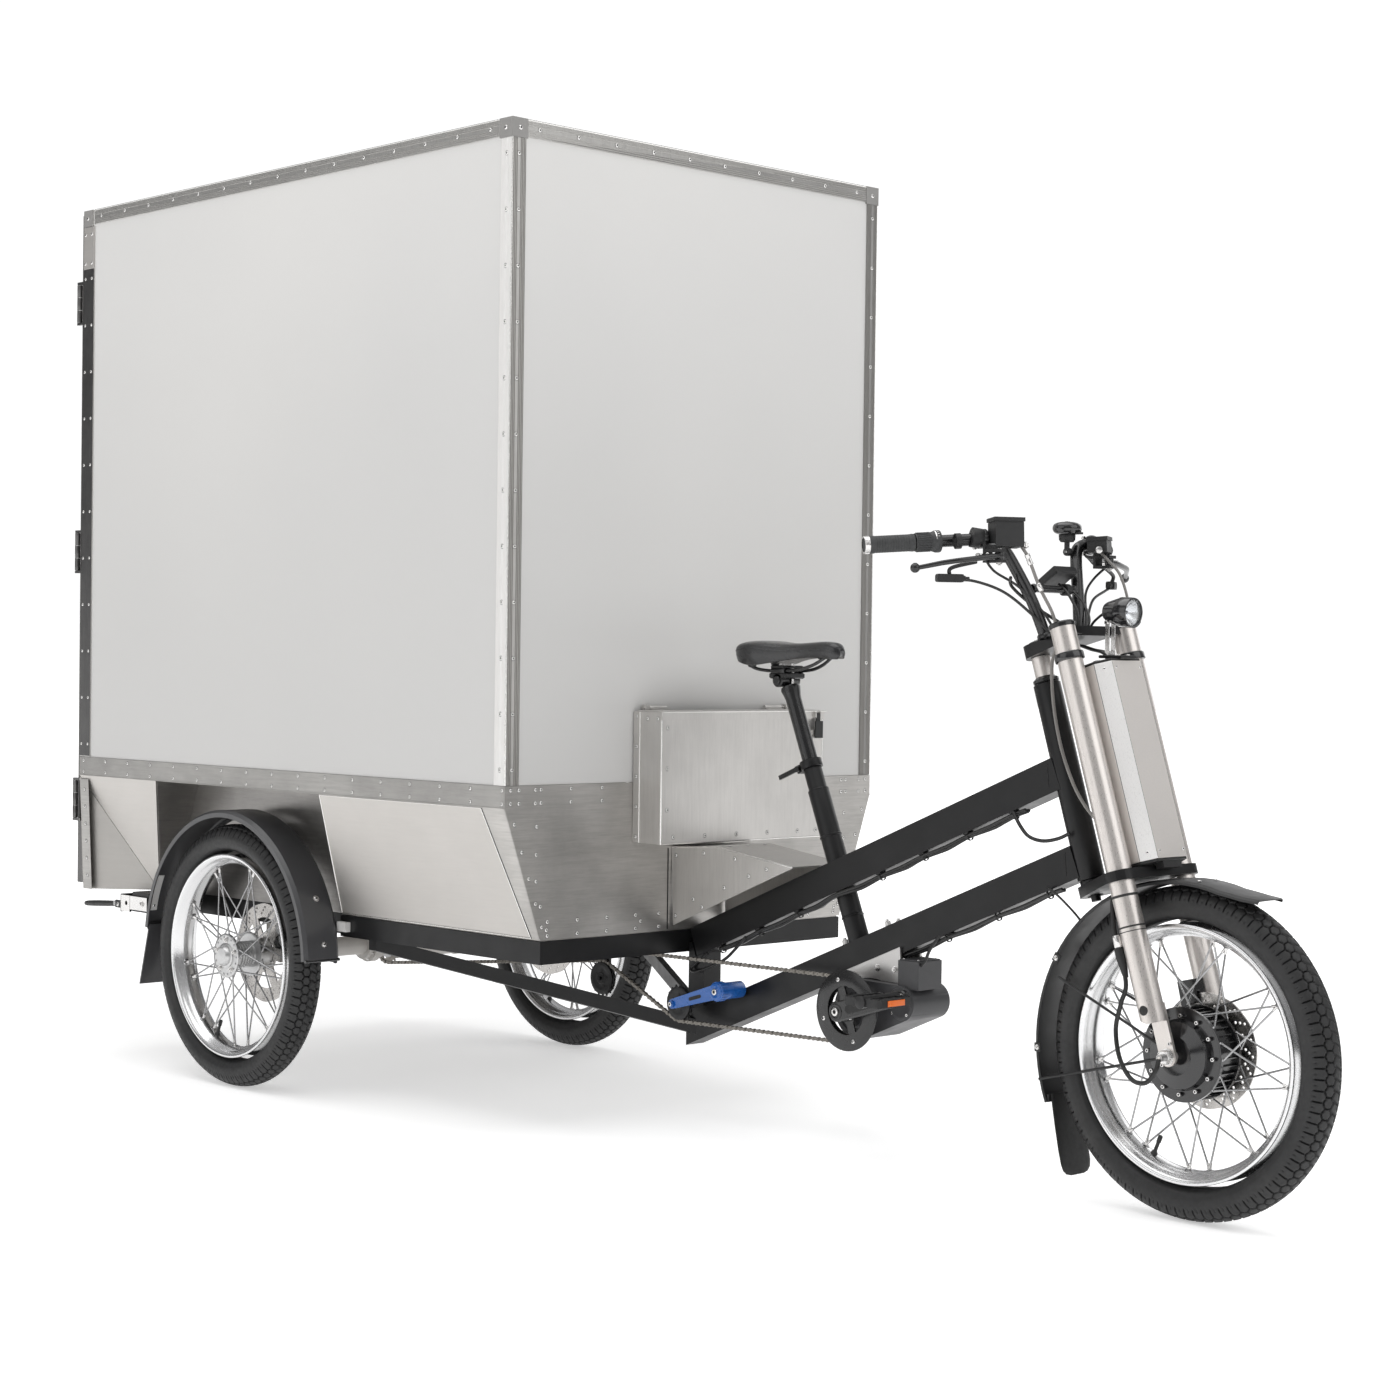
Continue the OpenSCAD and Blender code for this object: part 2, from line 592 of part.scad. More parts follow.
module load_lock_lever() color([0.05, 0.05, 0.05]) from_axle() {
    p = lever_at;
    difference() {
        union() {
            translate([p.x, 0, p.z]) rod_y(7, p.y - 9, p.y + 9);
            block([p.x - 42, p.y - 9, p.z - 7], [p.x, p.y + 9, p.z + 5]);
        }
        translate([p.x, 0, p.z]) rod_y(3.05, p.y - 20, p.y + 20);
    }
    hull() {
        translate([p.x - 40, 0, p.z - 2]) rod_y(6.5, p.y - 9, p.y + 9);
        translate([p.x - 182, 0, p.z - 14]) rod_y(8, p.y - 9, p.y + 9);
    }
}

// ---------------------------------------------------------------- seat

module seatpost() color([0.05, 0.05, 0.06]) from_axle() {
    on_seat_tube() {
        translate([0, 0, -130]) cylinder(h = 378, r = 15.8);
        // head and rail clamp
        translate([0, 0, 248]) cylinder(h = 14, r1 = 15.8, r2 = 20);
    }
    translate([1214, 0, 919]) rod_y(14, -27, 27);
    block([1192, -27, 922], [1238, 27, 934]);
    block([1196, -27, 942.2], [1234, 27, 948]);
    translate([1214, 0, 930]) cylinder(h = 16, r = 4);
    both_sides() saddle_rail(3.5);
}

module saddle_rail(r) {
    hose([[1130, -40, 962], [1150, -30, 944], [1180, -22, 938], [1215, -22, 938], [1262, -20, 940],
        [1300, -14, 950], [1330, -9, 966]], r, 2);
}

module saddle() color([0.04, 0.04, 0.04]) from_axle() difference() {
    union() {
        hull() {
            for (s = [-1, 1]) translate([1150, 42 * s, 982]) sphere(r = 17, $fn = 28);
            for (s = [-1, 1]) translate([1128, 44 * s, 976]) sphere(r = 18, $fn = 28);
            translate([1345, 0, 982]) sphere(r = 17, $fn = 28);
            translate([1235, 0, 978]) rod_y(18, -30, 30);
        }
        hull() {
            translate([1345, 0, 980]) sphere(r = 17, $fn = 28);
            translate([1350, 0, 976]) sphere(r = 17, $fn = 28);
        }
    }
    both_sides() saddle_rail(3.7);
}

module seat_clamp_lever() color([0.08, 0.08, 0.08]) from_axle() on_seat_tube() {
    translate([-28, 0, 97.3]) {
        rod_y(3, -9.4, 16);
        difference() {
            rod_y(6, -16, -9.4);
            rod_y(1, -18, -9.5);
        }
        block([-52, -16, -4.5], [0, -11, 4.5]);
    }
}

// ---------------------------------------------------------------- drive

module gearbox() color([0.16, 0.16, 0.17]) from_axle() {
    difference() {
        union() {
            hull() {
                translate([crank_x, 0, crank_z]) rod_y(58, -52, 52);
                translate([gear_nose.x, 0, gear_nose.y]) rod_y(34, -52, 52);
            }
            translate([crank_x, 0, crank_z]) rod_y(32, -66, 56);
            // shift actuator box on the front upper corner
            block([crank_x + 100, -46, crank_z + 50], [crank_x + 152, 20, crank_z + 104]);
        }
        translate([crank_x, 0, crank_z]) rod_y(12.05, -80, 80);
        translate([crank_x, 0, crank_z]) rod_y(22, -80, -56);
    }
}

module gearbox_mount() color([0.60, 0.60, 0.61]) from_axle() {
    difference() {
        both_sides() slab_y(-31, -25.4) polygon([[1408, 356], [1556, 417], [1562, 352], [1545, 341],
            [1500, 349.5], [1480, 350], [1440, 346]]);
        both_sides() hull() {
            translate([crank_x, 0, crank_z]) rod_y(58.5, -60, 60);
            translate([gear_nose.x, 0, gear_nose.y]) rod_y(34.5, -60, 60);
        }
    }
    // bolts through the lower beam, with their nuts on top
    translate([low_beam_top.x, 0, low_beam_top.y]) rotate([0, -beam_slope, 0])
        for (x = [470, 590], s = [-1, 1])
            translate([x, s * 16, gap]) cylinder(h = 9, r = 6.5, $fn = 6);
}

module crank_arms() color([0.05, 0.05, 0.05]) from_axle() translate([crank_x, 0, crank_z]) {
    difference() {
        union() {
            rod_y(12, -112, 112);
            rotate([0, -crank_angle, 0]) arm_right();
            rotate([0, 180 - crank_angle, 0]) mirror([0, 1, 0]) arm_right();
        }
        rotate([0, -crank_angle, 0]) translate([crank_len, 0, 0]) rod_y(5, -120, -90);
        rotate([0, 180 - crank_angle, 0]) translate([crank_len, 0, 0]) rod_y(5, 90, 120);
    }
}

module arm_right() {
    rod_y(21, -112, -96);
    slab_y(-110, -98) polygon([[0, -17], [crank_len, -12], [crank_len, 12], [0, 17]]);
    translate([crank_len, 0, 0]) rod_y(14, -112, -98);
}

module chainring() color([0.05, 0.05, 0.05]) from_axle() translate([crank_x, 0, crank_z]) {
    difference() {
        union() {
            rod_y(ring_r - chain_half - 0.5, -chain_y - 1.6, 1.6 - chain_y);
            rod_y(78, -chain_y - 8, -chain_y - 5);
            rod_y(54, -chain_y - 5, -chain_y);
            rod_y(20, -chain_y - 8, -chain_y + 8);
        }
        rod_y(12.6, -100, 0);
        for (a = [20 : 90 : 290]) rotate([0, -a, 0]) translate([62, 0, 0]) rod_y(3, -100, -chain_y - 4);
    }
}

// A platform pedal about its own axle, to the right of the centre plane.
module pedal_body() {
    difference() {
        union() {
            rod_y(11, -224, -122);
            for (x = [-46, 34]) block([x, -218, -10], [x + 12, -128, 10]);
            for (y = [-218, -136]) block([-46, y, -9], [46, y + 8, 9]);
        }
        rod_y(4.65, -216, -100);
    }
}

module right_pedal() color([0.05, 0.05, 0.05]) from_axle()
    translate([crank_x + crank_len * cos(crank_angle), 0, crank_z + crank_len * sin(crank_angle)]) {
        difference() {
            pedal_body();
            block([45, -200, -6], [47, -150, 6]);
        }
        color([0.9, 0.4, 0.05]) block([45.2, -199, -5], [48, -151, 5]);
        rod_y(4.6, -215, -116);
        rod_y(4.9, -116, -98.4);
    }

module left_pedal() color([0.05, 0.05, 0.05]) from_axle()
    translate([crank_x - crank_len * cos(crank_angle), 0, crank_z - crank_len * sin(crank_angle)])
        mirror([0, 1, 0]) {
            difference() {
                pedal_body();
                block([45, -200, -6], [47, -150, 6]);
            }
            color([0.9, 0.4, 0.05]) block([45.2, -199, -5], [48, -151, 5]);
            rod_y(4.6, -215, -116);
            rod_y(4.9, -116, -98.4);
        }

// The chain's path: circles in travelling order, each with its side (-1: the circle lies right of the path).
chain_wheels = [
    [[0, axle_z], sprocket_r, -1],
    [[crank_x, crank_z], ring_r, -1],
    [tension_c, pulley_r, -1],
    [guide_c, pulley_r, 1]
];
function wheel_at(i) = chain_wheels[(i + 4) % 4];
function turn_mod(a) = a - 360 * floor(a / 360);
function run_angle(i) = let (a = wheel_at(i), b = wheel_at(i + 1), d = b[0] - a[0])
    atan2(d.y, d.x) - asin((b[2] * b[1] - a[2] * a[1]) / norm(d));
function chain_line(side) = [for (i = [0 : 3])
    let (w = wheel_at(i), t0 = run_angle(i - 1), t1 = run_angle(i),
         sweep = w[2] < 0 ? -turn_mod(t0 - t1) : turn_mod(t1 - t0), steps = max(2, ceil(abs(sweep) / 9)))
    for (k = [0 : steps])
        let (t = t0 + sweep * k / steps)
        w[0] - (w[2] * w[1] - side) * [-sin(t), cos(t)]];

module drive_chain() color([0.32, 0.28, 0.24]) from_axle() slab_y(-chain_y - 3.6, 3.6 - chain_y)
    difference() {
        polygon(chain_line(chain_half));
        polygon(chain_line(-chain_half));
    }

module tensioner_arm() color([0.03, 0.22, 0.62]) from_axle() {
    d = tension_c - arm_pivot;
    difference() {
        union() {
            slab_y(-98, -88) hull() {
                translate(tension_c) circle(r = 10);
                translate(arm_pivot) circle(r = 15);
            }
            translate([arm_pivot.x, 0, arm_pivot.y]) rod_y(17, -100, -30);
        }
        translate([arm_pivot.x, 0, arm_pivot.y]) rod_y(6.05, -90, -20);
        translate([tension_c.x, 0, tension_c.y]) rod_y(4, -120, -60);
    }
    // pulley axle
    translate([tension_c.x, 0, tension_c.y]) {
        rod_y(3.9, -102, -66);
        rod_y(7, -102, -98.1);
    }
}

// A chain pulley with a bore, at a point in the XZ plane.
module pulley(at, bore) translate([at.x, 0, at.y]) difference() {
    union() {
        rod_y(pulley_r - chain_half - 0.4, -chain_y - 3, 3 - chain_y);
        rod_y(9, -chain_y - 7, 7 - chain_y);
    }
    rod_y(bore, -100, -60);
}

module tensioner_pulley() color([0.05, 0.05, 0.05]) from_axle() pulley(tension_c, 3.95);

module guide_pulley() color([0.05, 0.05, 0.05]) from_axle() pulley(guide_c, 4.05);

module rear_sprocket() color([0.12, 0.12, 0.12]) from_axle() translate([0, 0, axle_z]) difference() {
    union() {
        rod_y(sprocket_r - chain_half - 0.5, -chain_y - 1.6, 1.6 - chain_y);
        rod_y(26, -102, -56);
    }
    rod_y(11, -110, -40);
}

// ---------------------------------------------------------------- wheels

tyre_points = [for (a = [-140 : 10 : 140]) [256 + 34 * (1 - pow(1 - cos(a), 2) * 0.03) * cos(a),
    tyre_w * sin(a)]];

module tyre_shape() turned_y(concat([[225.6, -24]], [for (p = tyre_points) if (p.x > 232) p], [[225.6, 24]]));

module rim_shape() {
    turned_y([[rim_r - 1, -31], [rim_r, -29], [rim_r - 9, -25], [213, -21], [208, -10], [208, 10], [213, 21],
        [rim_r - 9, 25], [rim_r, 29], [rim_r - 1, 31], [rim_r - 6, 32], [213, 27], [203, 14], [202, 0],
        [203, -14], [213, -27], [rim_r - 6, -32]]);
}

// Crossed spokes from a hub flange on each side to the rim.
module spokes(flange_r, right_y, left_y) {
    n = 18;
    for (i = [0 : n - 1]) {
        lean = (i % 2 == 0 ? 1 : -1) * 30;
        hub_a = 360 / n * i;
        rod([flange_r * cos(hub_a), right_y, flange_r * sin(hub_a)],
            [204 * cos(hub_a + lean), -5, 204 * sin(hub_a + lean)], 1.5, 8);
        left_a = hub_a + 10;
        rod([flange_r * cos(left_a), left_y, flange_r * sin(left_a)],
            [204 * cos(left_a + lean), 5, 204 * sin(left_a + lean)], 1.5, 8);
    }
}

// Children are placed at a rear wheel's middle; side is -1 on the right and 1 on the left.
module at_rear_wheel(side) {
    from_axle() translate([0, side * rear_half_track, axle_z]) mirror([0, side > 0 ? 1 : 0, 0]) children();
}

// Right rear hub; its inner side points to +Y.
module rear_hub_shape() {
    difference() {
        union() {
            rod_y(27, -30, 60);
            rod_y(46, -32, -26);
            rod_y(46, 28, 34);
            rod_y(34, 34, 68.8);
            rod_y(16, -40, -30);
            // half shaft to the differential
            rod_y(10, 60, rear_half_track - 108);
        }
        rod_y(4, -50, -20);
    }
}

module brake_disc(radius, y0, bore) difference() {
    rod_y(radius, y0, y0 + 4);
    rod_y(bore, y0 - 1, y0 + 5);
    for (a = [0 : 30 : 330]) rotate([0, -a, 0]) translate([radius - 12, 0, 0]) rod_y(3.5, y0 - 1, y0 + 5);
    for (a = [15 : 60 : 315]) rotate([0, -a, 0]) translate([radius * 0.62, 0, 0]) rod_y(9, y0 - 1, y0 + 5);
}

module right_tyre() color([0.03, 0.03, 0.03]) at_rear_wheel(-1) tyre_shape();
module right_rim() color([0.75, 0.75, 0.76]) at_rear_wheel(-1) wheel_frame(48, -29, 31);
module right_hub() color([0.66, 0.66, 0.66]) at_rear_wheel(-1) rear_hub_shape();
module right_disc() color([0.6, 0.6, 0.6]) at_rear_wheel(-1) brake_disc(rear_disc_r, 69.2, 28);
module left_tyre() color([0.03, 0.03, 0.03]) at_rear_wheel(1) tyre_shape();
module left_rim() color([0.75, 0.75, 0.76]) at_rear_wheel(1) wheel_frame(48, -29, 31);
module left_hub() color([0.66, 0.66, 0.66]) at_rear_wheel(1) rear_hub_shape();
module left_disc() color([0.6, 0.6, 0.6]) at_rear_wheel(1) brake_disc(rear_disc_r, 69.2, 28);

// Rim with its spokes.
module wheel_frame(flange_r, right_y, left_y) {
    rim_shape();
    spokes(flange_r, right_y, left_y);
}

module at_front_wheel() { from_axle() translate([wheelbase, 0, axle_z]) children(); }

module front_tyre() color([0.03, 0.03, 0.03]) at_front_wheel() tyre_shape();
module front_rim() color([0.75, 0.75, 0.76]) at_front_wheel() wheel_frame(84, -30, 22);

module hub_motor() color([0.04, 0.04, 0.04]) at_front_wheel() difference() {
    union() {
        rod_y(74, -28, 20);
        rod_y(82, -33, -27);
        rod_y(82, 19, 25);
        turned_y([[0, 33], [62, 33], [58, 46], [34, 54], [0, 54]]);
        rod_y(34, 25, 41);
        for (a = [0 : 30 : 330]) rotate([0, -a, 0]) translate([68, 0, 0]) rod_y(4, -37, -33);
    }
    rod_y(8.05, -60, 60);
}

module front_disc() color([0.6, 0.6, 0.6]) at_front_wheel() brake_disc(front_disc_r, 41.5, 22);

// ---------------------------------------------------------------- fork and battery

module fork_crowns() color([0.05, 0.05, 0.06]) from_axle() on_steering() {
    // steerer with its bearing cups and end bolt
    translate([0, 0, -214]) cylinder(h = 470, r = 14.3);
    translate([0, 0, 184]) cylinder(h = 8, r = 22);
    translate([0, 0, -190]) cylinder(h = 7, r = 22);
    translate([0, 0, -222]) cylinder(h = 10, r = 9);
    difference() {
        union() {
            hull() {
                translate([0, 0, 234]) cylinder(h = 24, r = 27, $fn = 32);
                translate([fork_offset - 18, -50, 234]) cube([20, 100, 18]);
            }
            both_sides() block([fork_offset - 16, -leg_y + leg_r + gap, 236], [fork_offset + 8, -45, 250]);
            hull() {
                translate([0, 0, -212]) cylinder(h = 20, r = 28, $fn = 32);
                translate([fork_offset, -leg_y, -212]) cylinder(h = 18, r = 29, $fn = 32);
                translate([fork_offset, leg_y, -212]) cylinder(h = 18, r = 29, $fn = 32);
            }
            both_sides() translate([fork_offset, -leg_y, 188]) cylinder(h = 11, r = 26);
        }
        both_sides() translate([fork_offset, -leg_y, -300]) cylinder(h = 700, r = leg_r + gap);
        translate([0, 0, -300]) cylinder(h = 700, r = 14.3 + weld);
    }
}

module fork_legs() color([0.60, 0.57, 0.53]) from_axle() {
    on_steering() both_sides() translate([fork_offset, -leg_y, 0]) {
        difference() {
            translate([0, 0, 60 - fork_drop]) cylinder(h = fork_drop + 194, r = leg_r);
            translate([0, 0, 50 - fork_drop]) cylinder(h = fork_drop + 190, r = leg_r - 2.5);
            // mitred lower end
            translate([0, 0, 60 - fork_drop]) rotate([0, 28, 0]) translate([-60, -40, -60]) cube([120, 80, 60]);
        }
        // dropout plate
        difference() {
            union() {
                block([-16, 14, -fork_drop - 4], [16, 20, 92 - fork_drop]);
                translate([0, 17, -fork_drop]) rod_y(17, -3, 3);
            }
            translate([0, 17, -fork_drop]) rod_y(6.2, -10, 10);
        }
    }
    // motor axle with its nuts
    translate([wheelbase, 0, axle_z]) {
        rod_y(6, -98, 98);
        rod_y(8, -67.6, 67.6);
        both_sides() rod_y(11, -86, -74.4);
    }
}

module battery_case() color([0.74, 0.72, 0.69]) from_axle() on_steering() {
    back = 106;
    front = 183;
    side = 61;
    face = 42;
    translate([0, 0, -185]) linear_extrude(357) polygon([[back, -side], [front - 26, -side], [front, -face],
        [front, face], [front - 26, side], [back, side]]);
    // connector block below
    block([back + 56, -26, -202], [back + 74, 26, -185.4]);
}

module headlight() color([0.05, 0.05, 0.05]) from_axle() {
    translate([2044, 0, 1052]) rotate([0, 92, 0]) {
        cylinder(h = 26, r = 27);
        translate([0, 0, -34]) cylinder(h = 34, r1 = 17, r2 = 27);
    }
    // bracket down to the battery
    block([2016, -10, 976], [2022, 10, 1040]);
    block([2010, -22, 970], [2060, 22, 976]);
}

// ---------------------------------------------------------------- handlebar

function right(p) = [p.x, -p.y, p.z];

module bar_tube(r) {
    hose([[1912.3, -50, 1007.3], [1907, -54, 1026], [1893, -68, 1075], [1868, -92, 1140], [1856, -108, 1168],
        [1852, -126, 1178], right(bar_bend), [1815, -198, 1176], [1733, -330, 1165]], r, 3, 16, [1, 0, 0]);
}

module handlebar() color([0.05, 0.05, 0.05]) from_axle() {
    both_sides() bar_tube(11);
    // cross brace between the risers
    rod([1890, -62, 1094], [1890, 62, 1094], 7);
}

bar_dir = unit(bar_grip - [1815, 198, 1176]);

module on_bar(side) {
    mirror([0, side < 0 ? 1 : 0, 0]) translate(bar_grip)
        rotate([0, acos(-bar_dir.z), atan2(-bar_dir.y, -bar_dir.x)]) children();
}

module grips() color([0.10, 0.10, 0.10]) from_axle() {
    for (side = [-1, 1]) difference() {
        on_bar(side) {
            translate([0, 0, -6]) cylinder(h = side < 0 ? 92 : 130, r = 16);
            translate([0, 0, -9]) cylinder(h = 4, r = 15);
        }
        on_bar(side) translate([0, 0, 0.3]) cylinder(h = 140, r = 11.4);
        mirror([0, side < 0 ? 0 : 1, 0]) bar_tube(11.2);
    }
}

module shift_twister() color([0.06, 0.06, 0.06]) from_axle() on_bar(-1) difference() {
    union() {
        translate([0, 0, 88]) cylinder(h = 36, r = 17);
        translate([0, 0, 124]) cylinder(h = 10, r = 20);
    }
    translate([0, 0, 80]) cylinder(h = 60, r = 11.4);
}

module brake_reservoirs() color([0.05, 0.05, 0.05]) from_axle() {
    master_cylinder(52);
    mirror([0, 1, 0]) master_cylinder(29);
}

// Master cylinder box and its lid, with the clamp round the bar and the lever perch.
module master_cylinder(height) {
    p = lever_pivot;
    difference() {
        union() {
            translate([1888, -134, 1165]) rotate([0, -4, -28]) {
                translate([-17, -27, 0]) cube([36, 54, height - 6]);
                translate([-19, -29, height - 7]) cube([40, 58, 7]);
            }
            translate(right(bar_bend) + [0, -14, 0]) rotate([82, 0, -32]) cylinder(h = 20, r = 18);
            block([p.x - 26, -p.y - 10, p.z + 6.4], [p.x + 8, -p.y + 10, p.z + 12]);
            block([p.x - 26, -p.y - 10, p.z - 12], [p.x + 8, -p.y + 10, p.z - 6.4]);
            block([p.x - 30, -p.y - 10, p.z - 12], [p.x - 24, -p.y + 10, p.z + 26]);
            translate([p.x, -p.y, p.z - 12]) cylinder(h = 24, r = 2.9);
        }
        bar_tube(11.6);
    }
}

module brake_lever(side) {
    p = lever_pivot;
    tip = lever_tip;
    mirror([0, side > 0 ? 1 : 0, 0]) difference() {
        union() {
            translate([p.x, -p.y, p.z - 6]) cylinder(h = 12, r = 8);
            hull() {
                translate([p.x, -p.y, p.z - 5]) cylinder(h = 10, r = 6, $fn = 24);
                translate([p.x - 12, -p.y - 60, p.z - 10]) cylinder(h = 9, r = 5, $fn = 24);
            }
            hull() {
                translate([p.x - 12, -p.y - 60, p.z - 10]) cylinder(h = 9, r = 5, $fn = 24);
                translate([tip.x, -tip.y, tip.z - 5]) cylinder(h = 9, r = 5, $fn = 24);
            }
            translate([tip.x, -tip.y, tip.z]) sphere(r = 9);
        }
        translate([p.x, -p.y, p.z - 30]) cylinder(h = 60, r = 2.95);
    }
}

module right_brake_lever() color([0.05, 0.05, 0.05]) from_axle() brake_lever(-1);
module left_brake_lever() color([0.05, 0.05, 0.05]) from_axle() brake_lever(1);

module bar_controls() color([0.05, 0.05, 0.05]) from_axle() {
    // display in the middle of the brace
    translate([1874, 40, 1112]) rotate([0, -35, 0]) translate([-24, -36, 0]) cube([48, 60, 14]);
    // switch pods under the bar ends
    translate([1842, -232, 1108]) rotate([0, 0, 58]) translate([-24, -8, -7]) cube([48, 16, 14]);
    translate([1842, 232, 1108]) rotate([0, 0, -58]) translate([-24, -8, -7]) cube([48, 16, 14]);
}

module bell() color([0.04, 0.04, 0.04]) from_axle() translate(bell_at) {
    rotate_extrude() polygon([[0, 12], [12, 11], [22, 4], [26, -6], [24, -8], [20, 2], [0, 8]]);
    translate([0, 0, -50]) cylinder(h = 58.5, r = 5);
    translate([0, 0, -24]) cylinder(h = 8, r = 11);
    block([-5, 0, -49], [5, 7, -38]);
}

module bell_striker() color([0.06, 0.06, 0.06]) from_axle() translate(bell_at) {
    translate([0, 0, -12.4]) difference() {
        union() {
            cylinder(h = 5, r = 10);
            block([4, -4, 0], [34, 4, 4]);
        }
        translate([0, 0, -1]) cylinder(h = 8, r = 5.05);
    }
}

// ---------------------------------------------------------------- front fender, brake and cables

module front_fender() color([0.03, 0.03, 0.03]) from_axle() {
    translate([wheelbase - 8, 0, axle_z - 6]) {
        fender_arc(62, 202, 304, 44);
        // flared front tip
        plate([[144, -42, 272], [144, 42, 272], [166, 34, 296], [166, -34, 296]], [0, 0, 4]);
    }
    // mudflap
    plate([[1925, -40, 182], [1925, 40, 182], [1962, 46, 42], [1962, -46, 42]], [4, 0, 0]);
    // wire stays to the fork ends
    both_sides() {
        rod([1912, -48, 212], [2196, -58, 286], 2.5);
        rod([1952, -48, 400], [2196, -58, 300], 2.5);
    }
}

module front_caliper() color([0.10, 0.10, 0.11]) from_axle() {
    difference() {
        translate([2174, 0, 382]) rotate([0, -14, 0]) translate([-17, 33, -28]) cube([34, 31, 56]);
        translate([wheelbase, 0, axle_z]) rod_y(front_disc_r + 3, 39.5, 47.5);
        translate([wheelbase, 0, axle_z]) rod_y(83.5, 20, 40);
    }
}

module front_cables() color([0.04, 0.04, 0.04]) from_axle() {
    // brake hose of the front wheel, from the left lever down the left fork leg
    hose([[1905, 132, 1152], [1948, 122, 1120], [1978, 108, 1060], [1968, 116, 1000], [1988, 118, 900],
        [2050, 120, 700], [2108, 122, 520], [2122, 122, 440], [2138, 104, 400], [2150, 76, 392],
        [2155, 66, 390]], 3, 3);
    // motor lead behind the right fork leg, from below the crown to the end of the axle
    on_steering() hose([[100, -70, -217], [98, -84, -240], [97, -96, -290], [97, -97, -390],
        [101, -104, -450], [114, -114, -500], [126, -112, -519], [129, -99, -520]], 4, 3, 8, [1, 0, 0]);
}

// A point beside a beam: its distance up the beam, and its place across it.
function on_beam(start, s, y, z) = [start.x + s * cos(beam_slope) - z * sin(beam_slope), y,
    start.y + s * sin(beam_slope) + z * cos(beam_slope)];

module frame_harness() color([0.04, 0.04, 0.04]) from_axle() {
    // lead clipped under the upper beam, right side
    hose(concat([[1930, -38, 742], [1918, -34, 722]],
        [for (s = [930 : -150 : 30]) on_beam(beam_top, s, -31.5, -beam_d - 5)]), 4, 2);
    // gear cables from the lower beam to the shift actuator
    hose([[1950, -38, 575], [1900, -31, 552], [1800, -30, 511], [1700, -31, 468], [1655, -36, 438],
        [1638, -40, 400], [1628, -40, 384]], 3, 2);
    // clips
    for (x = [160, 330, 500, 670, 840])
        translate([beam_top.x, 0, beam_top.y]) rotate([0, -beam_slope, 0])
            difference() {
                block([x, -37, -beam_d - 11], [x + 8, -25.4, -beam_d + 1]);
                block([x - 1, -38, -beam_d - 9.6], [x + 9, -26.8, -beam_d - 0.4]);
            }
}

// ---------------------------------------------------------------- the nodes

load_frame();
bike_frame();
rear_axle();
box_panels();
box_floor();
edge_profiles();
skirt_plates();
skirt_inserts();
tool_box();
tool_box_lid();
tool_box_latch();
door_right();
door_left();
door_bolt();
rear_fenders();
rear_calipers();
load_lock_lever();
seatpost();
saddle();
seat_clamp_lever();
gearbox();
gearbox_mount();
crank_arms();
chainring();
right_pedal();
left_pedal();
drive_chain();
tensioner_arm();
tensioner_pulley();
guide_pulley();
rear_sprocket();
right_tyre();
right_rim();
right_hub();
right_disc();
left_tyre();
left_rim();
left_hub();
left_disc();
front_tyre();
front_rim();
hub_motor();
front_disc();
fork_crowns();
fork_legs();
battery_case();
headlight();
handlebar();
grips();
brake_reservoirs();
bar_controls();
bell();
bell_striker();
front_fender();
front_caliper();
front_cables();
frame_harness();
right_brake_lever();
left_brake_lever();
shift_twister();
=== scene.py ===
# Looks of the cargo trike: materials, detailed meshes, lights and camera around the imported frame.
import math

import bpy
import numpy as np
from mathutils import Matrix, Vector


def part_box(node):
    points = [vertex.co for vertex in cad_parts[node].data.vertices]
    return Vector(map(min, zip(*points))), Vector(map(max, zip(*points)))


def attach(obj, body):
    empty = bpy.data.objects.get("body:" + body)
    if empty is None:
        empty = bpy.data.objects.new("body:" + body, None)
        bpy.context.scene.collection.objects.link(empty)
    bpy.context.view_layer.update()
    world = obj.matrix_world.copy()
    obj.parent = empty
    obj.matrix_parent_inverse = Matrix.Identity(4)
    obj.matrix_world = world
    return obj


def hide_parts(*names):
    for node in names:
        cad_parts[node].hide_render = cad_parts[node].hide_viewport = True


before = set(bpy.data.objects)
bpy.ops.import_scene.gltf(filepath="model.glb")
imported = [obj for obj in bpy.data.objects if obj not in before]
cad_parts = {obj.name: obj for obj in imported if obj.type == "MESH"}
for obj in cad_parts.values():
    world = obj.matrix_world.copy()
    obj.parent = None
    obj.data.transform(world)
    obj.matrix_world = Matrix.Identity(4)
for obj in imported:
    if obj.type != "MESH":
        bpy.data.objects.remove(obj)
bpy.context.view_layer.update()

MM = 0.001


# ---------------------------------------------------------------- places taken from the frame

def middle(node):
    """Middle of a CAD node's box."""
    low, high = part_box(node)
    return (low + high) / 2


AXLE = middle("right_tyre")
WHEEL_R = (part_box("right_tyre")[1].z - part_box("right_tyre")[0].z) / 2
FRONT = middle("front_tyre")
REAR_Y = abs(AXLE.y)


def P(x, y, z):
    """A point in millimetres from the ground below the rear axle."""
    return Vector((AXLE.x + x * MM, y * MM, z * MM))


def radial(angle):
    """The direction at an angle in degrees from X towards Z."""
    a = math.radians(angle)
    return Vector((math.cos(a), 0, math.sin(a)))


def tangent_at(angle):
    """The direction a quarter turn on from radial(angle)."""
    a = math.radians(angle)
    return Vector((-math.sin(a), 0, math.cos(a)))


X, Y, Z = Vector((1, 0, 0)), Vector((0, 1, 0)), Vector((0, 0, 1))
STEER_LEAN = 17.4
HEAD = P(1931.96, 0, 748.01)
STEER_UP, STEER_AHEAD = tangent_at(STEER_LEAN), radial(STEER_LEAN)
BEAM_SLOPE = 22.4
BEAM_UP, BEAM_ALONG = tangent_at(BEAM_SLOPE), radial(BEAM_SLOPE)
SEAT_LEAN = 22
SEAT_UP, SEAT_AHEAD = tangent_at(SEAT_LEAN), radial(SEAT_LEAN)
SEAT_MID = P(1322.7, 0, 663)


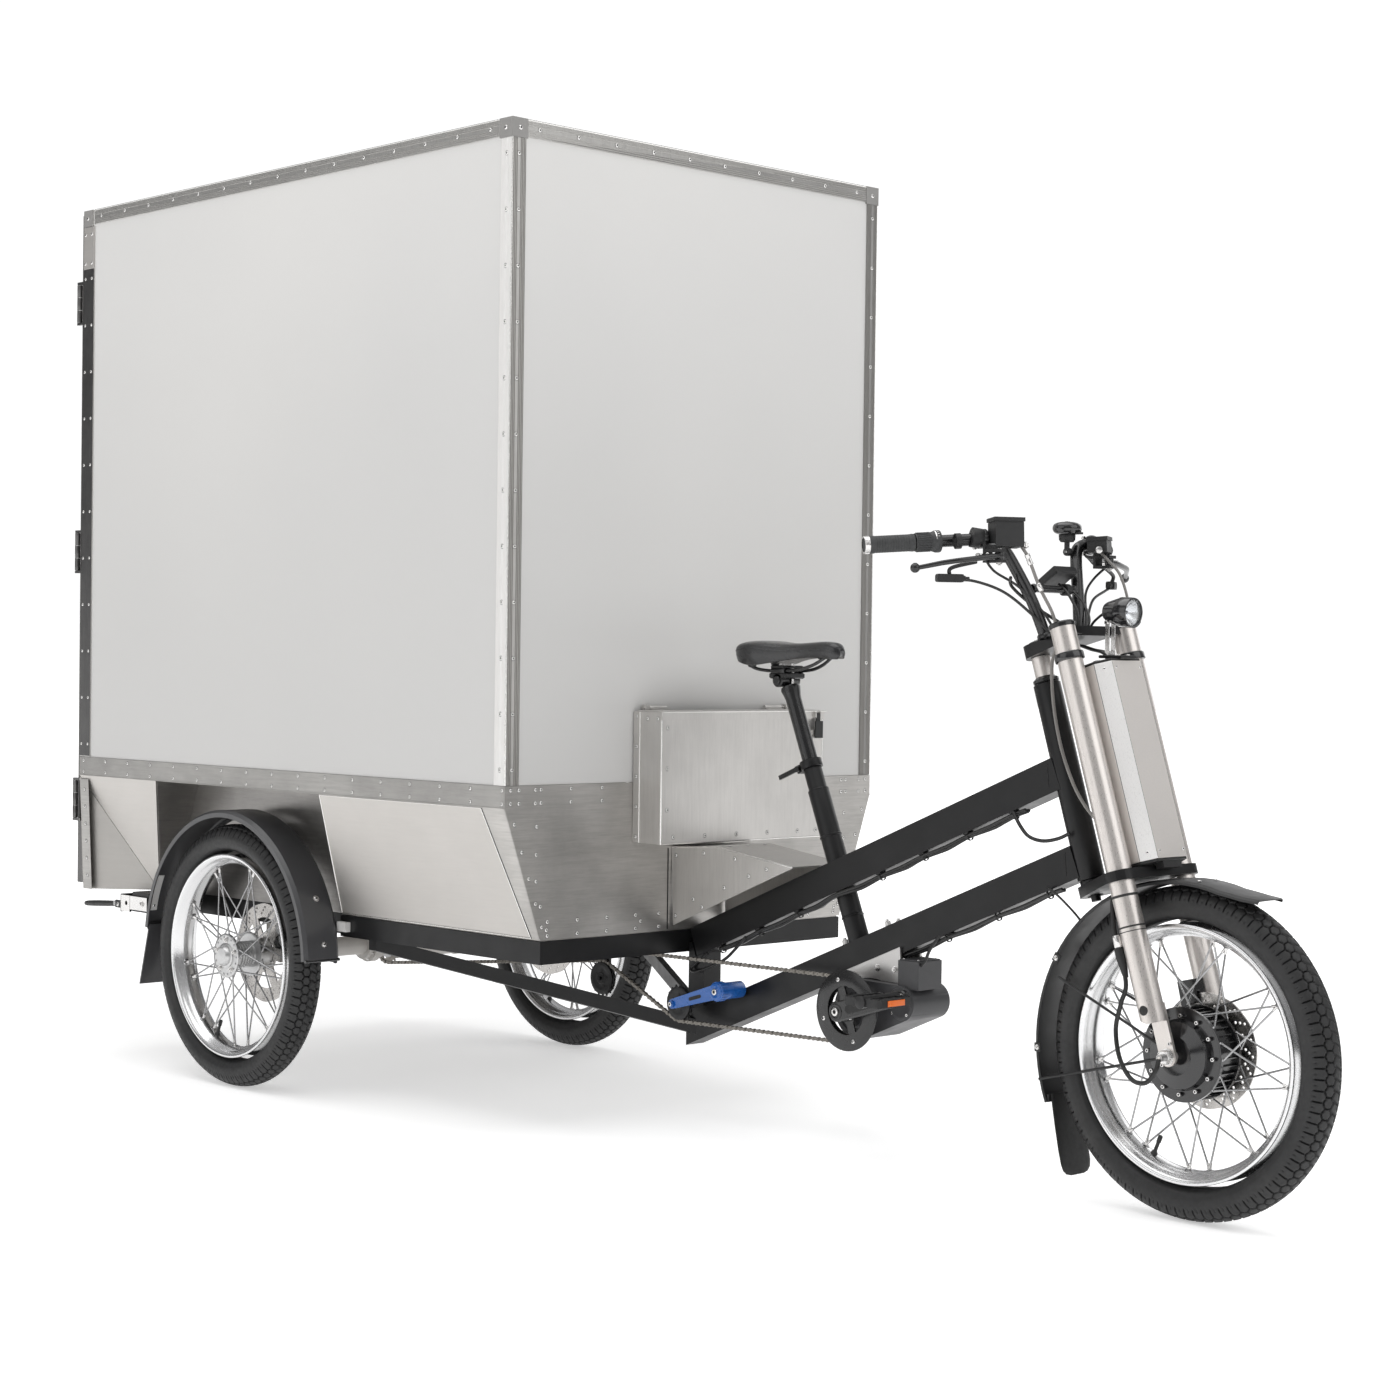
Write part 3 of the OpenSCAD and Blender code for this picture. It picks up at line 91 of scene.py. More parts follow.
def on_fork(ahead, across, up):
    """A point in millimetres from the head tube's middle: ahead of the steering axis, across, up it."""
    return HEAD + STEER_AHEAD * ahead * MM + Y * across * MM + STEER_UP * up * MM


def on_post(ahead, across, up):
    """A point in millimetres from a point on the seat tube's axis."""
    return SEAT_MID + SEAT_AHEAD * ahead * MM + Y * across * MM + SEAT_UP * up * MM


# ---------------------------------------------------------------- camera and light

def look(cam, at, heading, pitch, roll):
    """Points a camera: heading from -X towards +Y, pitch below the horizon and roll, in degrees."""
    h, p, r = (math.radians(a) for a in (heading, pitch, roll))
    ahead = Vector((-math.cos(h) * math.cos(p), math.sin(h) * math.cos(p), -math.sin(p)))
    right = Vector((math.sin(h), math.cos(h), 0))
    up = right.cross(ahead)
    right_r = right * math.cos(r) + up * math.sin(r)
    up_r = up * math.cos(r) - right * math.sin(r)
    cam.matrix_world = Matrix((right_r, up_r, -ahead)).transposed().to_4x4()
    cam.location = at


# where the fitted camera stands, its heading, pitch and roll in degrees, and its lens in millimetres
CAMERA_AT = P(4854.2, -3703.1, 960.9)
CAMERA_TURN = (43.584, 0.925, 0.758)
CAMERA_LENS = 66.62


def make_camera():
    """The camera that was fitted to the photo."""
    data = bpy.data.cameras.new("camera")
    data.lens = CAMERA_LENS
    data.sensor_width = 36
    data.clip_end = 100
    cam = bpy.data.objects.new("camera", data)
    bpy.context.scene.collection.objects.link(cam)
    look(cam, CAMERA_AT, *CAMERA_TURN)
    bpy.context.scene.camera = cam


def area_light(name, at, to, size, watts):
    """A rectangular lamp that looks at a point, with its size in metres."""
    data = bpy.data.lights.new(name, "AREA")
    data.shape = "RECTANGLE"
    data.size, data.size_y = size
    data.energy = watts
    light = bpy.data.objects.new(name, data)
    light.location = at
    light.rotation_euler = (Vector(to) - Vector(at)).to_track_quat("-Z", "Y").to_euler()
    bpy.context.scene.collection.objects.link(light)


def make_world():
    """A white studio: bright above and behind the camera, greyer near the horizon."""
    world = bpy.data.worlds.new("studio")
    bpy.context.scene.world = world
    world.use_nodes = True
    tree = world.node_tree
    tree.nodes.clear()
    out = tree.nodes.new("ShaderNodeOutputWorld")
    seen = tree.nodes.new("ShaderNodeBackground")
    seen.inputs[0].default_value = (1, 1, 1, 1)
    seen.inputs[1].default_value = 1.05
    lit = tree.nodes.new("ShaderNodeBackground")
    lit.inputs[1].default_value = 0.55
    ray = tree.nodes.new("ShaderNodeLightPath")
    mix = tree.nodes.new("ShaderNodeMixShader")
    coords = tree.nodes.new("ShaderNodeTexCoord")
    split = tree.nodes.new("ShaderNodeSeparateXYZ")
    ramp = tree.nodes.new("ShaderNodeValToRGB")
    ramp.color_ramp.elements[0].position = 0.0
    ramp.color_ramp.elements[0].color = (0.16, 0.16, 0.165, 1)
    ramp.color_ramp.elements[1].position = 0.9
    ramp.color_ramp.elements[1].color = (1, 1, 1, 1)
    rise = ramp.color_ramp.elements.new(0.25)
    rise.color = (0.50, 0.50, 0.505, 1)
    tree.links.new(coords.outputs["Generated"], split.inputs[0])
    tree.links.new(split.outputs["Z"], ramp.inputs[0])
    tree.links.new(ramp.outputs[0], lit.inputs[0])
    tree.links.new(ray.outputs["Is Camera Ray"], mix.inputs[0])
    tree.links.new(lit.outputs[0], mix.inputs[1])
    tree.links.new(seen.outputs[0], mix.inputs[2])
    tree.links.new(mix.outputs[0], out.inputs[0])


FLOOR_HALF = 40
FLOOR_DROP = 0.5 * MM


def make_floor():
    """A white floor that fades into the backdrop, just below the wheels."""
    mesh = bpy.data.meshes.new("floor")
    corners = [(x * FLOOR_HALF, y * FLOOR_HALF, 0) for x, y in ((-1, -1), (1, -1), (1, 1), (-1, 1))]
    mesh.from_pydata(corners, [], [(0, 1, 2, 3)])
    floor = bpy.data.objects.new("floor", mesh)
    floor.location.z = -FLOOR_DROP
    bpy.context.scene.collection.objects.link(floor)
    mat = bpy.data.materials.new("floor_white")
    mat.use_nodes = True
    shader = mat.node_tree.nodes["Principled BSDF"]
    shader.inputs["Base Color"].default_value = (0.93, 0.93, 0.93, 1)
    shader.inputs["Roughness"].default_value = 0.65
    shader.inputs["Specular IOR Level"].default_value = 0.15
    shader.inputs["Emission Color"].default_value = (1, 1, 1, 1)
    # the glow grows away from the trike, so that the floor fades into the white backdrop
    tree = mat.node_tree
    coords = tree.nodes.new("ShaderNodeTexCoord")
    length = tree.nodes.new("ShaderNodeVectorMath")
    length.operation = "LENGTH"
    glow = tree.nodes.new("ShaderNodeMapRange")
    glow.interpolation_type = "SMOOTHSTEP"
    for key, number in (("From Min", 1.6), ("From Max", 7.0), ("To Min", 0.46), ("To Max", 1.0)):
        glow.inputs[key].default_value = number
    tree.links.new(coords.outputs["Object"], length.inputs[0])
    tree.links.new(length.outputs["Value"], glow.inputs["Value"])
    tree.links.new(glow.outputs["Result"], shader.inputs["Emission Strength"])
    mesh.materials.append(mat)


# name, place in millimetres, size in metres and watts
LAMPS = [
    ("key_top", (900, -600, 5200), (6.0, 5.0), 150),
    ("side_right", (300, -5200, 2600), (5.0, 3.5), 52),
    ("front", (5200, 600, 3000), (3.6, 3.0), 42),
    ("side_left", (900, 4800, 2600), (4.0, 3.0), 40),
]


def make_studio():
    """Camera, white world, floor and lamps, with plain colour management."""
    make_camera()
    make_world()
    make_floor()
    centre = P(1000, 0, 900)
    for name, at, size, watts in LAMPS:
        area_light(name, P(*at), centre, size, watts)
    scene = bpy.context.scene
    scene.view_settings.view_transform = "Standard"
    scene.view_settings.exposure = 0.0


# ---------------------------------------------------------------- materials

class Nodes:
    """Small helper round one material's node tree, with coordinates that stick to the piece."""

    def __init__(self, name):
        self.mat = bpy.data.materials.new(name)
        self.mat.use_nodes = True
        self.tree = self.mat.node_tree
        self.shader = self.tree.nodes["Principled BSDF"]
        self.coords = self.new("ShaderNodeTexCoord").outputs["Object"]

    def new(self, kind, **settings):
        node = self.tree.nodes.new(kind)
        for key, value in settings.items():
            setattr(node, key, value)
        return node

    def link(self, a, b):
        self.tree.links.new(a, b)

    def stretched(self, scale):
        mapping = self.new("ShaderNodeMapping")
        mapping.inputs["Scale"].default_value = scale
        self.link(self.coords, mapping.inputs[0])
        return mapping.outputs[0]

    def noise(self, scale, detail=4.0, rough=0.55, stretch=None):
        node = self.new("ShaderNodeTexNoise")
        node.inputs["Scale"].default_value = scale
        node.inputs["Detail"].default_value = detail
        node.inputs["Roughness"].default_value = rough
        self.link(self.stretched(stretch) if stretch else self.coords, node.inputs["Vector"])
        return node.outputs["Fac"]

    def span(self, value, low, high, start=0.3, end=0.7):
        node = self.new("ShaderNodeMapRange")
        for key, number in (("From Min", start), ("From Max", end), ("To Min", low), ("To Max", high)):
            node.inputs[key].default_value = number
        self.link(value, node.inputs["Value"])
        return node.outputs["Result"]

    def mix(self, fac, a, b):
        node = self.new("ShaderNodeMix", data_type="RGBA")
        for socket, value in ((node.inputs[0], fac), (node.inputs[6], a), (node.inputs[7], b)):
            if hasattr(value, "is_output"):
                self.link(value, socket)
            elif isinstance(value, tuple):
                socket.default_value = (*value, 1)
            else:
                socket.default_value = value
        return node.outputs[2]

    def bump(self, height, strength, distance):
        node = self.new("ShaderNodeBump")
        node.inputs["Strength"].default_value = strength
        node.inputs["Distance"].default_value = distance
        self.link(height, node.inputs["Height"])
        self.link(node.outputs[0], self.shader.inputs["Normal"])

    def set(self, **values):
        for key, value in values.items():
            socket = self.shader.inputs[key.replace("_", " ")]
            if hasattr(value, "is_output"):
                self.link(value, socket)
            else:
                socket.default_value = (*value, 1) if isinstance(value, tuple) else value


def shade(colour, factor):
    """A colour made lighter or darker by a factor."""
    return tuple(min(1.0, c * factor) for c in colour)


def painted(name, colour, rough=0.34, vary=0.12, grain=900, coat=0.0, specular=0.5):
    """Powder coat or paint: fine orange peel, faint dust and slightly uneven gloss."""
    n = Nodes(name)
    cloud = n.noise(5, 5)
    dust = n.noise(60, 6, 0.7)
    tone = n.mix(n.span(cloud, 0, 1), shade(colour, 1 - vary), shade(colour, 1 + vary))
    n.set(Base_Color=n.mix(n.span(dust, 0, 0.06, 0.55, 0.8), tone, shade(colour, 1.9)),
          Roughness=n.span(n.noise(22, 4), rough - 0.05, rough + 0.07),
          Coat_Weight=coat, Coat_Roughness=0.12, Specular_IOR_Level=specular)
    n.bump(n.noise(grain, 2), 0.10, 0.2 * MM)
    return n.mat


def moulded(name, colour, rough=0.5):
    """Moulded plastic with a fine spark-eroded texture."""
    n = Nodes(name)
    tone = n.mix(n.span(n.noise(14, 4), 0, 1), shade(colour, 0.85), shade(colour, 1.15))
    n.set(Base_Color=tone, Roughness=n.span(n.noise(80, 4), rough - 0.06, rough + 0.08))
    n.bump(n.noise(1400, 3, 0.6), 0.25, 0.2 * MM)
    return n.mat


def metal(name, colour, rough=0.25, stretch=(40, 40, 40), cloud=9, vary=0.12, brush=0.10, level=1.0):
    """Bare metal: brush lines along the axis with the smallest stretch, and cloudy roughness."""
    n = Nodes(name)
    lines = n.noise(14, 5, 0.7, stretch)
    blots = n.noise(cloud, 4, 0.6)
    tone = n.mix(n.span(lines, 0, 1, 0.35, 0.65), shade(colour, 1 - vary), shade(colour, 1 + vary))
    tone = n.mix(n.span(blots, 0, 0.5), tone, shade(colour, 1 - vary))
    n.set(Base_Color=tone, Roughness=n.span(lines, rough - 0.06, rough + 0.10), Metallic=level)
    n.bump(lines, brush, 0.2 * MM)
    return n.mat


def mottled_steel(name, colour, dark, rough, streak=(1.6, 1.6, 26), fine=(3, 3, 170), amount=0.85):
    """Brushed stainless sheet: level brush lines, and soft dark blotches with short streaks that paint the
    mottled reflections of the studio.
    """
    n = Nodes(name)
    lines = n.noise(9, 6, 0.75, fine)
    streaks = n.noise(7, 4, 0.6, streak)
    reflection_clouds = n.noise(7, 4, 0.55)
    # painted reflection: the dark blotches and streaks stand in for the studio mirrored in the brushed
    # sheet
    tone = n.mix(n.span(reflection_clouds, 0, amount, 0.36, 0.68), colour, dark)
    tone = n.mix(n.span(streaks, 0, amount * 0.6, 0.38, 0.66), tone, dark)
    tone = n.mix(n.span(lines, 0.0, 0.6, 0.32, 0.70), tone, shade(colour, 1.14))
    n.set(Base_Color=tone, Roughness=n.span(lines, rough - 0.05, rough + 0.12), Metallic=0.9)
    n.bump(lines, 0.12, 0.2 * MM)
    return n.mat


def sandwich_skin(name, colour):
    """Gel-coated wall panel: nearly flat, with a soft tone change, painted shade that darkens the lower
    half, and a faint ripple.
    """
    n = Nodes(name)
    large = n.noise(0.9, 2, 0.4)
    tone = n.mix(n.span(large, 0, 1), shade(colour, 0.955),
                 shade((colour[0], colour[1] * 0.995, colour[2] * 0.985), 1.03))
    tone = n.mix(n.span(n.noise(700, 3), 0, 0.06, 0.4, 0.7), tone, shade(colour, 0.7))
    # painted shade: the lower half is a little darker, as if less lit from above
    split = n.new("ShaderNodeSeparateXYZ")
    n.link(n.coords, split.inputs[0])
    tone = n.mix(n.span(split.outputs["Z"], 0.55, 0, 0.70, 1.75), tone, shade(colour, 0.78))
    n.set(Base_Color=tone, Roughness=n.span(n.noise(3, 3), 0.30, 0.38))
    n.bump(n.noise(5, 2), 0.05, MM)
    return n.mat


def rubber(name, colour=(0.022, 0.022, 0.022), rough=0.62, dusty=0.5):
    """Rubber with a little grey dust on it."""
    n = Nodes(name)
    tone = n.mix(n.span(n.noise(40, 6, 0.7), 0, 1), shade(colour, 0.8), shade(colour, 1.25))
    tone = n.mix(n.span(n.noise(9, 5), 0, dusty * 0.25, 0.5, 0.75), tone, (0.12, 0.115, 0.105))
    n.set(Base_Color=tone, Roughness=n.span(n.noise(120, 4), rough - 0.1, rough + 0.08))
    n.bump(n.noise(900, 3), 0.2, 0.2 * MM)
    return n.mat


def vinyl(name):
    """Smooth saddle cover with a very fine leather grain."""
    n = Nodes(name)
    cells = n.new("ShaderNodeTexVoronoi", feature="DISTANCE_TO_EDGE")
    cells.inputs["Scale"].default_value = 900
    n.link(n.coords, cells.inputs["Vector"])
    tone = n.mix(n.span(n.noise(12, 4), 0, 1), (0.012, 0.012, 0.013), (0.022, 0.022, 0.023))
    n.set(Base_Color=tone, Roughness=n.span(n.noise(30, 4), 0.22, 0.32),
          Coat_Weight=0.25, Coat_Roughness=0.2)
    n.bump(cells.outputs["Distance"], 0.12, 0.3 * MM)
    return n.mat


def lens(name):
    """Clear moulded glass with a faint ripple."""
    n = Nodes(name)
    n.set(Base_Color=(0.95, 0.97, 1.0), Roughness=0.04, Transmission_Weight=0.95, IOR=1.5)
    n.bump(n.noise(260, 2), 0.15, 0.5 * MM)
    return n.mat


def plywood(name):
    """Brown film-faced board with a fine wire-mesh pattern."""
    n = Nodes(name)
    grain = n.noise(6, 6, 0.6, (1, 22, 22))
    mesh = n.new("ShaderNodeTexChecker")
    mesh.inputs["Scale"].default_value = 260
    n.link(n.coords, mesh.inputs["Vector"])
    tone = n.mix(n.span(grain, 0, 1), (0.055, 0.032, 0.020), (0.110, 0.068, 0.042))
    n.set(Base_Color=tone, Roughness=0.42)
    n.bump(mesh.outputs["Fac"], 0.25, 0.3 * MM)
    return n.mat


M = {}


def make_materials():
    """Every material of the trike, kept in M by a short key."""
    M["frame"] = painted("frame_black", (0.0075, 0.0075, 0.008), 0.34, specular=0.32)
    M["black"] = painted("anodised_black", (0.0075, 0.0075, 0.008), 0.26, coat=0.25)
    M["gloss"] = painted("gloss_black", (0.010, 0.010, 0.011), 0.16, coat=0.6)
    M["fender"] = painted("fender_satin", (0.013, 0.013, 0.0135), 0.42, 0.06)
    M["rear_fender"] = painted("rear_fender_satin", (0.050, 0.050, 0.053), 0.36, 0.06, coat=0.3)
    M["gear"] = painted("gearbox_grey", (0.045, 0.045, 0.048), 0.42, 0.2, 500)
    M["panel"] = sandwich_skin("panel_skin", (0.655, 0.650, 0.640))
    M["door"] = sandwich_skin("door_skin", (0.625, 0.622, 0.615))
    M["profile"] = metal("profile_aluminium", (0.60, 0.59, 0.57), 0.36, (60, 60, 3), vary=0.10)
    # darker copy of the profile aluminium for the upright front flanges: painted shade
    M["front_flange"] = metal("front_flange", (0.30, 0.29, 0.275), 0.38, (60, 60, 3), vary=0.08)
    # darker copy of the insert steel for the facet nearest the door: painted shade
    M["facet"] = mottled_steel("facet_brushed", (0.44, 0.425, 0.405), (0.34, 0.33, 0.315), 0.46,
                               amount=0.35)
    # lighter, less metallic copy of the profile aluminium: painted light on the upright side flanges, and
    # the light metal of the fender stays and sleeves
    M["flange"] = metal("flange_aluminium", (0.80, 0.79, 0.775), 0.38, (60, 60, 3), vary=0.05, level=0.25)
    M["cap"] = painted("corner_cap_grey", (0.24, 0.235, 0.228), 0.42)
    M["strip"] = mottled_steel("dark_strip", (0.155, 0.152, 0.15), (0.07, 0.07, 0.07), 0.30, (16, 16, 2),
                               (150, 150, 5))
    M["skirt"] = mottled_steel("skirt_stainless", (0.52, 0.505, 0.485), (0.29, 0.282, 0.27), 0.37)
    M["band"] = mottled_steel("band_stainless", (0.44, 0.43, 0.412), (0.26, 0.253, 0.245), 0.36)
    M["arch"] = mottled_steel("arch_stainless", (0.42, 0.405, 0.39), (0.22, 0.213, 0.205), 0.32)
    M["insert"] = mottled_steel("insert_brushed", (0.555, 0.535, 0.512), (0.46, 0.445, 0.425), 0.46,
                                amount=0.35)
    M["box"] = mottled_steel("box_brushed", (0.62, 0.605, 0.585), (0.45, 0.44, 0.425), 0.38,
                             (26, 26, 1.6), (170, 170, 3), 0.6)
    # bright metal for the reflector bowl and scale marks, and for thin rounded folds whose brightness
    # paints the highlight along edges
    M["edge"] = metal("bright_edge", (0.86, 0.85, 0.83), 0.20)
    M["bolt"] = metal("bolt_zinc", (0.72, 0.71, 0.70), 0.22, vary=0.15)
    M["rivet"] = metal("rivet_aluminium", (0.80, 0.79, 0.77), 0.28, level=0.6)
    # near-black for real dark joints and seams, and painted shade in sockets, rivet holes, slits and slots
    M["hole"] = moulded("dark_recess", (0.012, 0.012, 0.012), 0.6)
    M["rim"] = metal("rim_polished", (0.74, 0.74, 0.745), 0.20, (30, 30, 30), 20, 0.05, 0.03)
    M["spoke"] = metal("spoke_steel", (0.40, 0.40, 0.405), 0.24)
    M["hub"] = metal("hub_cast", (0.60, 0.60, 0.60), 0.34, (30, 30, 30), 60, 0.14, 0.18)
    M["disc"] = metal("disc_steel", (0.56, 0.54, 0.52), 0.26, (25, 60, 25), vary=0.15)
    M["axle"] = painted("axle_silver", (0.50, 0.48, 0.455), 0.32, 0.06)
    M["fork"] = metal("fork_satin", (0.70, 0.66, 0.63), 0.30, (60, 60, 2), 30, 0.03, 0.03, 0.85)
    M["battery"] = metal("battery_brushed", (0.74, 0.705, 0.675), 0.36, (90, 90, 2), 9, 0.06, 0.08, 0.55)
    # lighter, less metallic copy of the battery metal for its folded corners: a painted highlight
    M["bevel"] = metal("battery_bevel", (0.80, 0.79, 0.78), 0.30, (90, 90, 2), 9, 0.03, 0.04, 0.2)
    M["chain"] = metal("chain_steel", (0.24, 0.225, 0.205), 0.36, vary=0.3)
    M["blue"] = painted("anodised_blue", (0.012, 0.105, 0.40), 0.28, 0.1, 900, 0.3)
    M["mount"] = metal("mount_plate", (0.62, 0.61, 0.60), 0.38, vary=0.1)
    M["zinc"] = metal("galvanised", (0.46, 0.46, 0.46), 0.40, (30, 30, 30), 45, 0.25, 0.15)
    M["plastic"] = moulded("black_plastic", (0.0125, 0.0125, 0.013))
    M["rubber"] = rubber("soft_rubber", (0.020, 0.020, 0.020), 0.5, 0.2)
    M["grip"] = rubber("grip_rubber", (0.040, 0.041, 0.042), 0.6, 0.3)
    M["tyre"] = rubber("tyre_rubber", (0.014, 0.014, 0.0145), 0.55, 0.45)
    M["cable"] = moulded("cable_sheath", (0.012, 0.012, 0.012), 0.35)
    M["cable_grey"] = moulded("cable_grey", (0.20, 0.19, 0.18), 0.35)
    M["saddle"] = vinyl("saddle_vinyl")
    M["lens"] = lens("clear_lens")
    M["orange"] = moulded("reflector_orange", (0.85, 0.16, 0.01), 0.22)
    M["red"] = moulded("lamp_red", (0.30, 0.008, 0.008), 0.18)
    M["grey_reflect"] = moulded("reflector_grey", (0.18, 0.18, 0.18), 0.3)
    M["floor"] = plywood("floor_board")


# ---------------------------------------------------------------- mesh building

def basis(direction):
    """Two unit vectors square to a direction."""
    d = Vector(direction).normalized()
    side = d.cross(Z if abs(d.z) < 0.9 else X).normalized()
    return side, d.cross(side)


class Shape:
    """Collects faces with their materials and makes one piece of them."""

    def __init__(self):
        self.verts, self.faces, self.slots, self.materials = [], [], [], []

    def slot(self, key):
        if key not in self.materials:
            self.materials.append(key)
        return self.materials.index(key)

    def add(self, verts, faces, key):
        base, slot = len(self.verts), self.slot(key)
        self.verts += [tuple(v) for v in verts]
        self.faces += [tuple(i + base for i in f) for f in faces]
        self.slots += [slot] * len(faces)
        return self

    def lathe(self, at, axis, profile, key, steps=32, start=0.0, sweep=360.0):
        """Turns (radius, along) pairs in millimetres about an axis; a part turn has its ends capped."""
        axis = Vector(axis).normalized()
        u, v = basis(axis)
        full = sweep >= 360
        rings = steps if full else steps + 1
        verts = []
        for i in range(rings):
            a = math.radians(start + sweep * i / steps)
            out = u * math.cos(a) + v * math.sin(a)
            verts += [at + out * (r * MM) + axis * (h * MM) for r, h in profile]
        n, faces = len(profile), []
        for i in range(steps):
            j = (i + 1) % rings
            faces += [(i * n + k, j * n + k, j * n + k + 1, i * n + k + 1) for k in range(n - 1)]
        if not full:
            faces += [tuple(range(n)), tuple((rings - 1) * n + k for k in reversed(range(n)))]
        return self.add(verts, faces, key)

    def tube(self, points, radius, key, sides=10):
        """A round bar along points in metres; radius in millimetres, one number or one per point."""
        points = [Vector(p) for p in points]
        n = len(points)
        radii = radius if hasattr(radius, "__len__") else [radius] * n
        tangents = [(points[min(i + 1, n - 1)] - points[max(i - 1, 0)]).normalized() for i in range(n)]
        u, _ = basis(tangents[0])
        verts = []
        for p, t, r in zip(points, tangents, radii):
            u = (u - t * u.dot(t)).normalized()
            w = t.cross(u)
            for k in range(sides):
                a = 2 * math.pi * k / sides
                verts.append(p + (u * math.cos(a) + w * math.sin(a)) * (r * MM))
        return self.skin(verts, sides, key)

    def skin(self, verts, sides, key):
        """A closed tube over rings of points that follow each other, with flat ends."""
        rings = len(verts) // sides
        faces = [tuple(reversed(range(sides))), tuple((rings - 1) * sides + k for k in range(sides))]
        for i in range(rings - 1):
            a, b = i * sides, (i + 1) * sides
            faces += [(a + k, a + (k + 1) % sides, b + (k + 1) % sides, b + k) for k in range(sides)]
        return self.add(verts, faces, key)

    def prism(self, outline, depth, key, bevel=0.0):
        """A flat outline in metres, in order, pushed along a depth vector, with an optional chamfer."""
        outline = [Vector(p) for p in outline]
        depth = Vector(depth)
        n = len(outline)
        normal = sum((outline[i].cross(outline[(i + 1) % n]) for i in range(n)), Vector())
        if normal.dot(depth) > 0:
            outline.reverse()
        if not bevel:
            verts = outline + [p + depth for p in outline]
            levels = 2
        else:
            step = depth.normalized() * bevel
            centre = sum(outline, Vector()) / n
            inset = []
            for i, p in enumerate(outline):
                a = (outline[i - 1] - p).normalized()
                b = (outline[(i + 1) % n] - p).normalized()
                turn = (a + b)
                half = turn.normalized() if turn.length > 1e-5 else (centre - p).normalized()
                sine = max(0.35, math.sin(a.angle(b, math.pi) / 2))
                inward = half if half.dot(centre - p) > 0 else -half
                inset.append(p + inward * (bevel / sine))
            verts = inset + [p + step for p in outline] + [p + depth - step for p in outline]
            verts += [p + depth for p in inset]
            levels = 4
        faces = [tuple(range(n)), tuple((levels - 1) * n + k for k in reversed(range(n)))]
        for s in range(levels - 1):
            faces += [(s * n + (k + 1) % n, s * n + k, (s + 1) * n + k, (s + 1) * n + (k + 1) % n)
                      for k in range(n)]
        return self.add(verts, faces, key)

    def block(self, low, high, key, bevel=0.0):
        """A box between two points in metres, with chamfered edges if asked."""
        a, b = Vector(low), Vector(high)
        corners = [Vector((a.x, a.y, a.z)), Vector((b.x, a.y, a.z)), Vector((b.x, b.y, a.z)),
                   Vector((a.x, b.y, a.z))]
        return self.prism(corners, Vector((0, 0, b.z - a.z)), key, bevel)

    def box_at(self, at, u, v, w, half, key, bevel=0.6):
        """A chamfered box about a middle point, with half sizes in millimetres along three directions."""
        a, b, c = (Vector(d).normalized() * h * MM for d, h in zip((u, v, w), half))
        corners = [at - a - b - c, at + a - b - c, at + a + b - c, at - a + b - c]
        return self.prism(corners, c * 2, key, bevel * MM)

    def ball(self, at, r, key, steps=20):
        rows = [(r * math.sin(math.pi * i / 10), -r * math.cos(math.pi * i / 10)) for i in range(11)]
        return self.lathe(at, Z, rows, key, steps)

    def bolt(self, at, axis, r, kind="hex", tall=None):
        """A fastener head standing on a surface: hex, cap (socket head) or button."""
        axis = Vector(axis).normalized()
        at = Vector(at)
        tall = tall or r * 1.1
        if kind == "hex":
            self.lathe(at, axis, [(0, 0), (r * 1.45, 0), (r * 1.45, 0.8), (0, 0.8)], "bolt", 20)
            self.lathe(at, axis, [(r, 0.8), (r * 1.1, tall * 0.9), (r * 0.95, tall), (0, tall)], "bolt",
                       6)
            self.lathe(at, axis, [(r * 0.5, tall), (r * 0.5, tall + 1.6), (r * 0.4, tall + 2.2),
                                  (0, tall + 2.2)], "bolt", 12)
        elif kind == "cap":
            self.lathe(at, axis, [(r, 0), (r, tall * 0.85), (r * 0.88, tall), (r * 0.52, tall)], "bolt",
                       18)
            # the socket is lined in near-black: painted shade in the recess
            self.lathe(at, axis, [(r * 0.52, tall), (r * 0.5, tall * 0.45), (0, tall * 0.45)], "hole", 6)
        else:
            self.lathe(at, axis, [(r, 0), (r * 0.97, tall * 0.25), (r * 0.75, tall * 0.55),
                                  (r * 0.42, tall * 0.66)], "bolt", 18)
            # the socket is lined in near-black: painted shade in the recess
            self.lathe(at, axis, [(r * 0.42, tall * 0.66), (r * 0.40, tall * 0.25), (0, tall * 0.25)],
                       "hole", 6)
        return self

    def rivet(self, at, axis, r=4.0):
        """A blind rivet: a low domed ring round a dark core that paints the shade of its hole, with a dark
        ring under its rim as a painted shadow.
        """
        # dark ring just wider than the head: a painted shadow under its rim
        self.lathe(Vector(at), axis, [(r * 1.2, -0.1), (r * 1.18, 0.12), (r * 0.95, 0.14)], "hole", 12)
        self.lathe(Vector(at), axis, [(r, -0.1), (r * 0.98, 0.35), (r * 0.78, 0.95), (r * 0.48, 1.15),
                                      (r * 0.42, 0.95)], "rivet", 14)
        # shallow dark core: painted shade of the rivet's hole
        return self.lathe(Vector(at), axis, [(r * 0.42, 0.95), (r * 0.36, 0.55), (0, 0.6)], "hole", 8)

    def piece(self, name, body, slot=None, smooth=35, stand_for=()):
        mesh = bpy.data.meshes.new(name)
        mesh.from_pydata(self.verts, [], self.faces)
        for key in self.materials:
            mesh.materials.append(M[key])
        mesh.polygons.foreach_set("material_index", self.slots)
        mesh.polygons.foreach_set("use_smooth", [True] * len(self.faces))
        mesh.validate()
        mesh.update()
        mesh.set_sharp_from_angle(angle=math.radians(smooth))
        return place(bpy.data.objects.new(name, mesh), body, stand_for)


def place(obj, body, stand_for=()):
    """Makes an object ride on a body and the CAD nodes that it stands for."""
    if not obj.users_collection:
        bpy.context.scene.collection.objects.link(obj)
    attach(obj, body)
    if stand_for:
        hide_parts(*stand_for)
    return obj


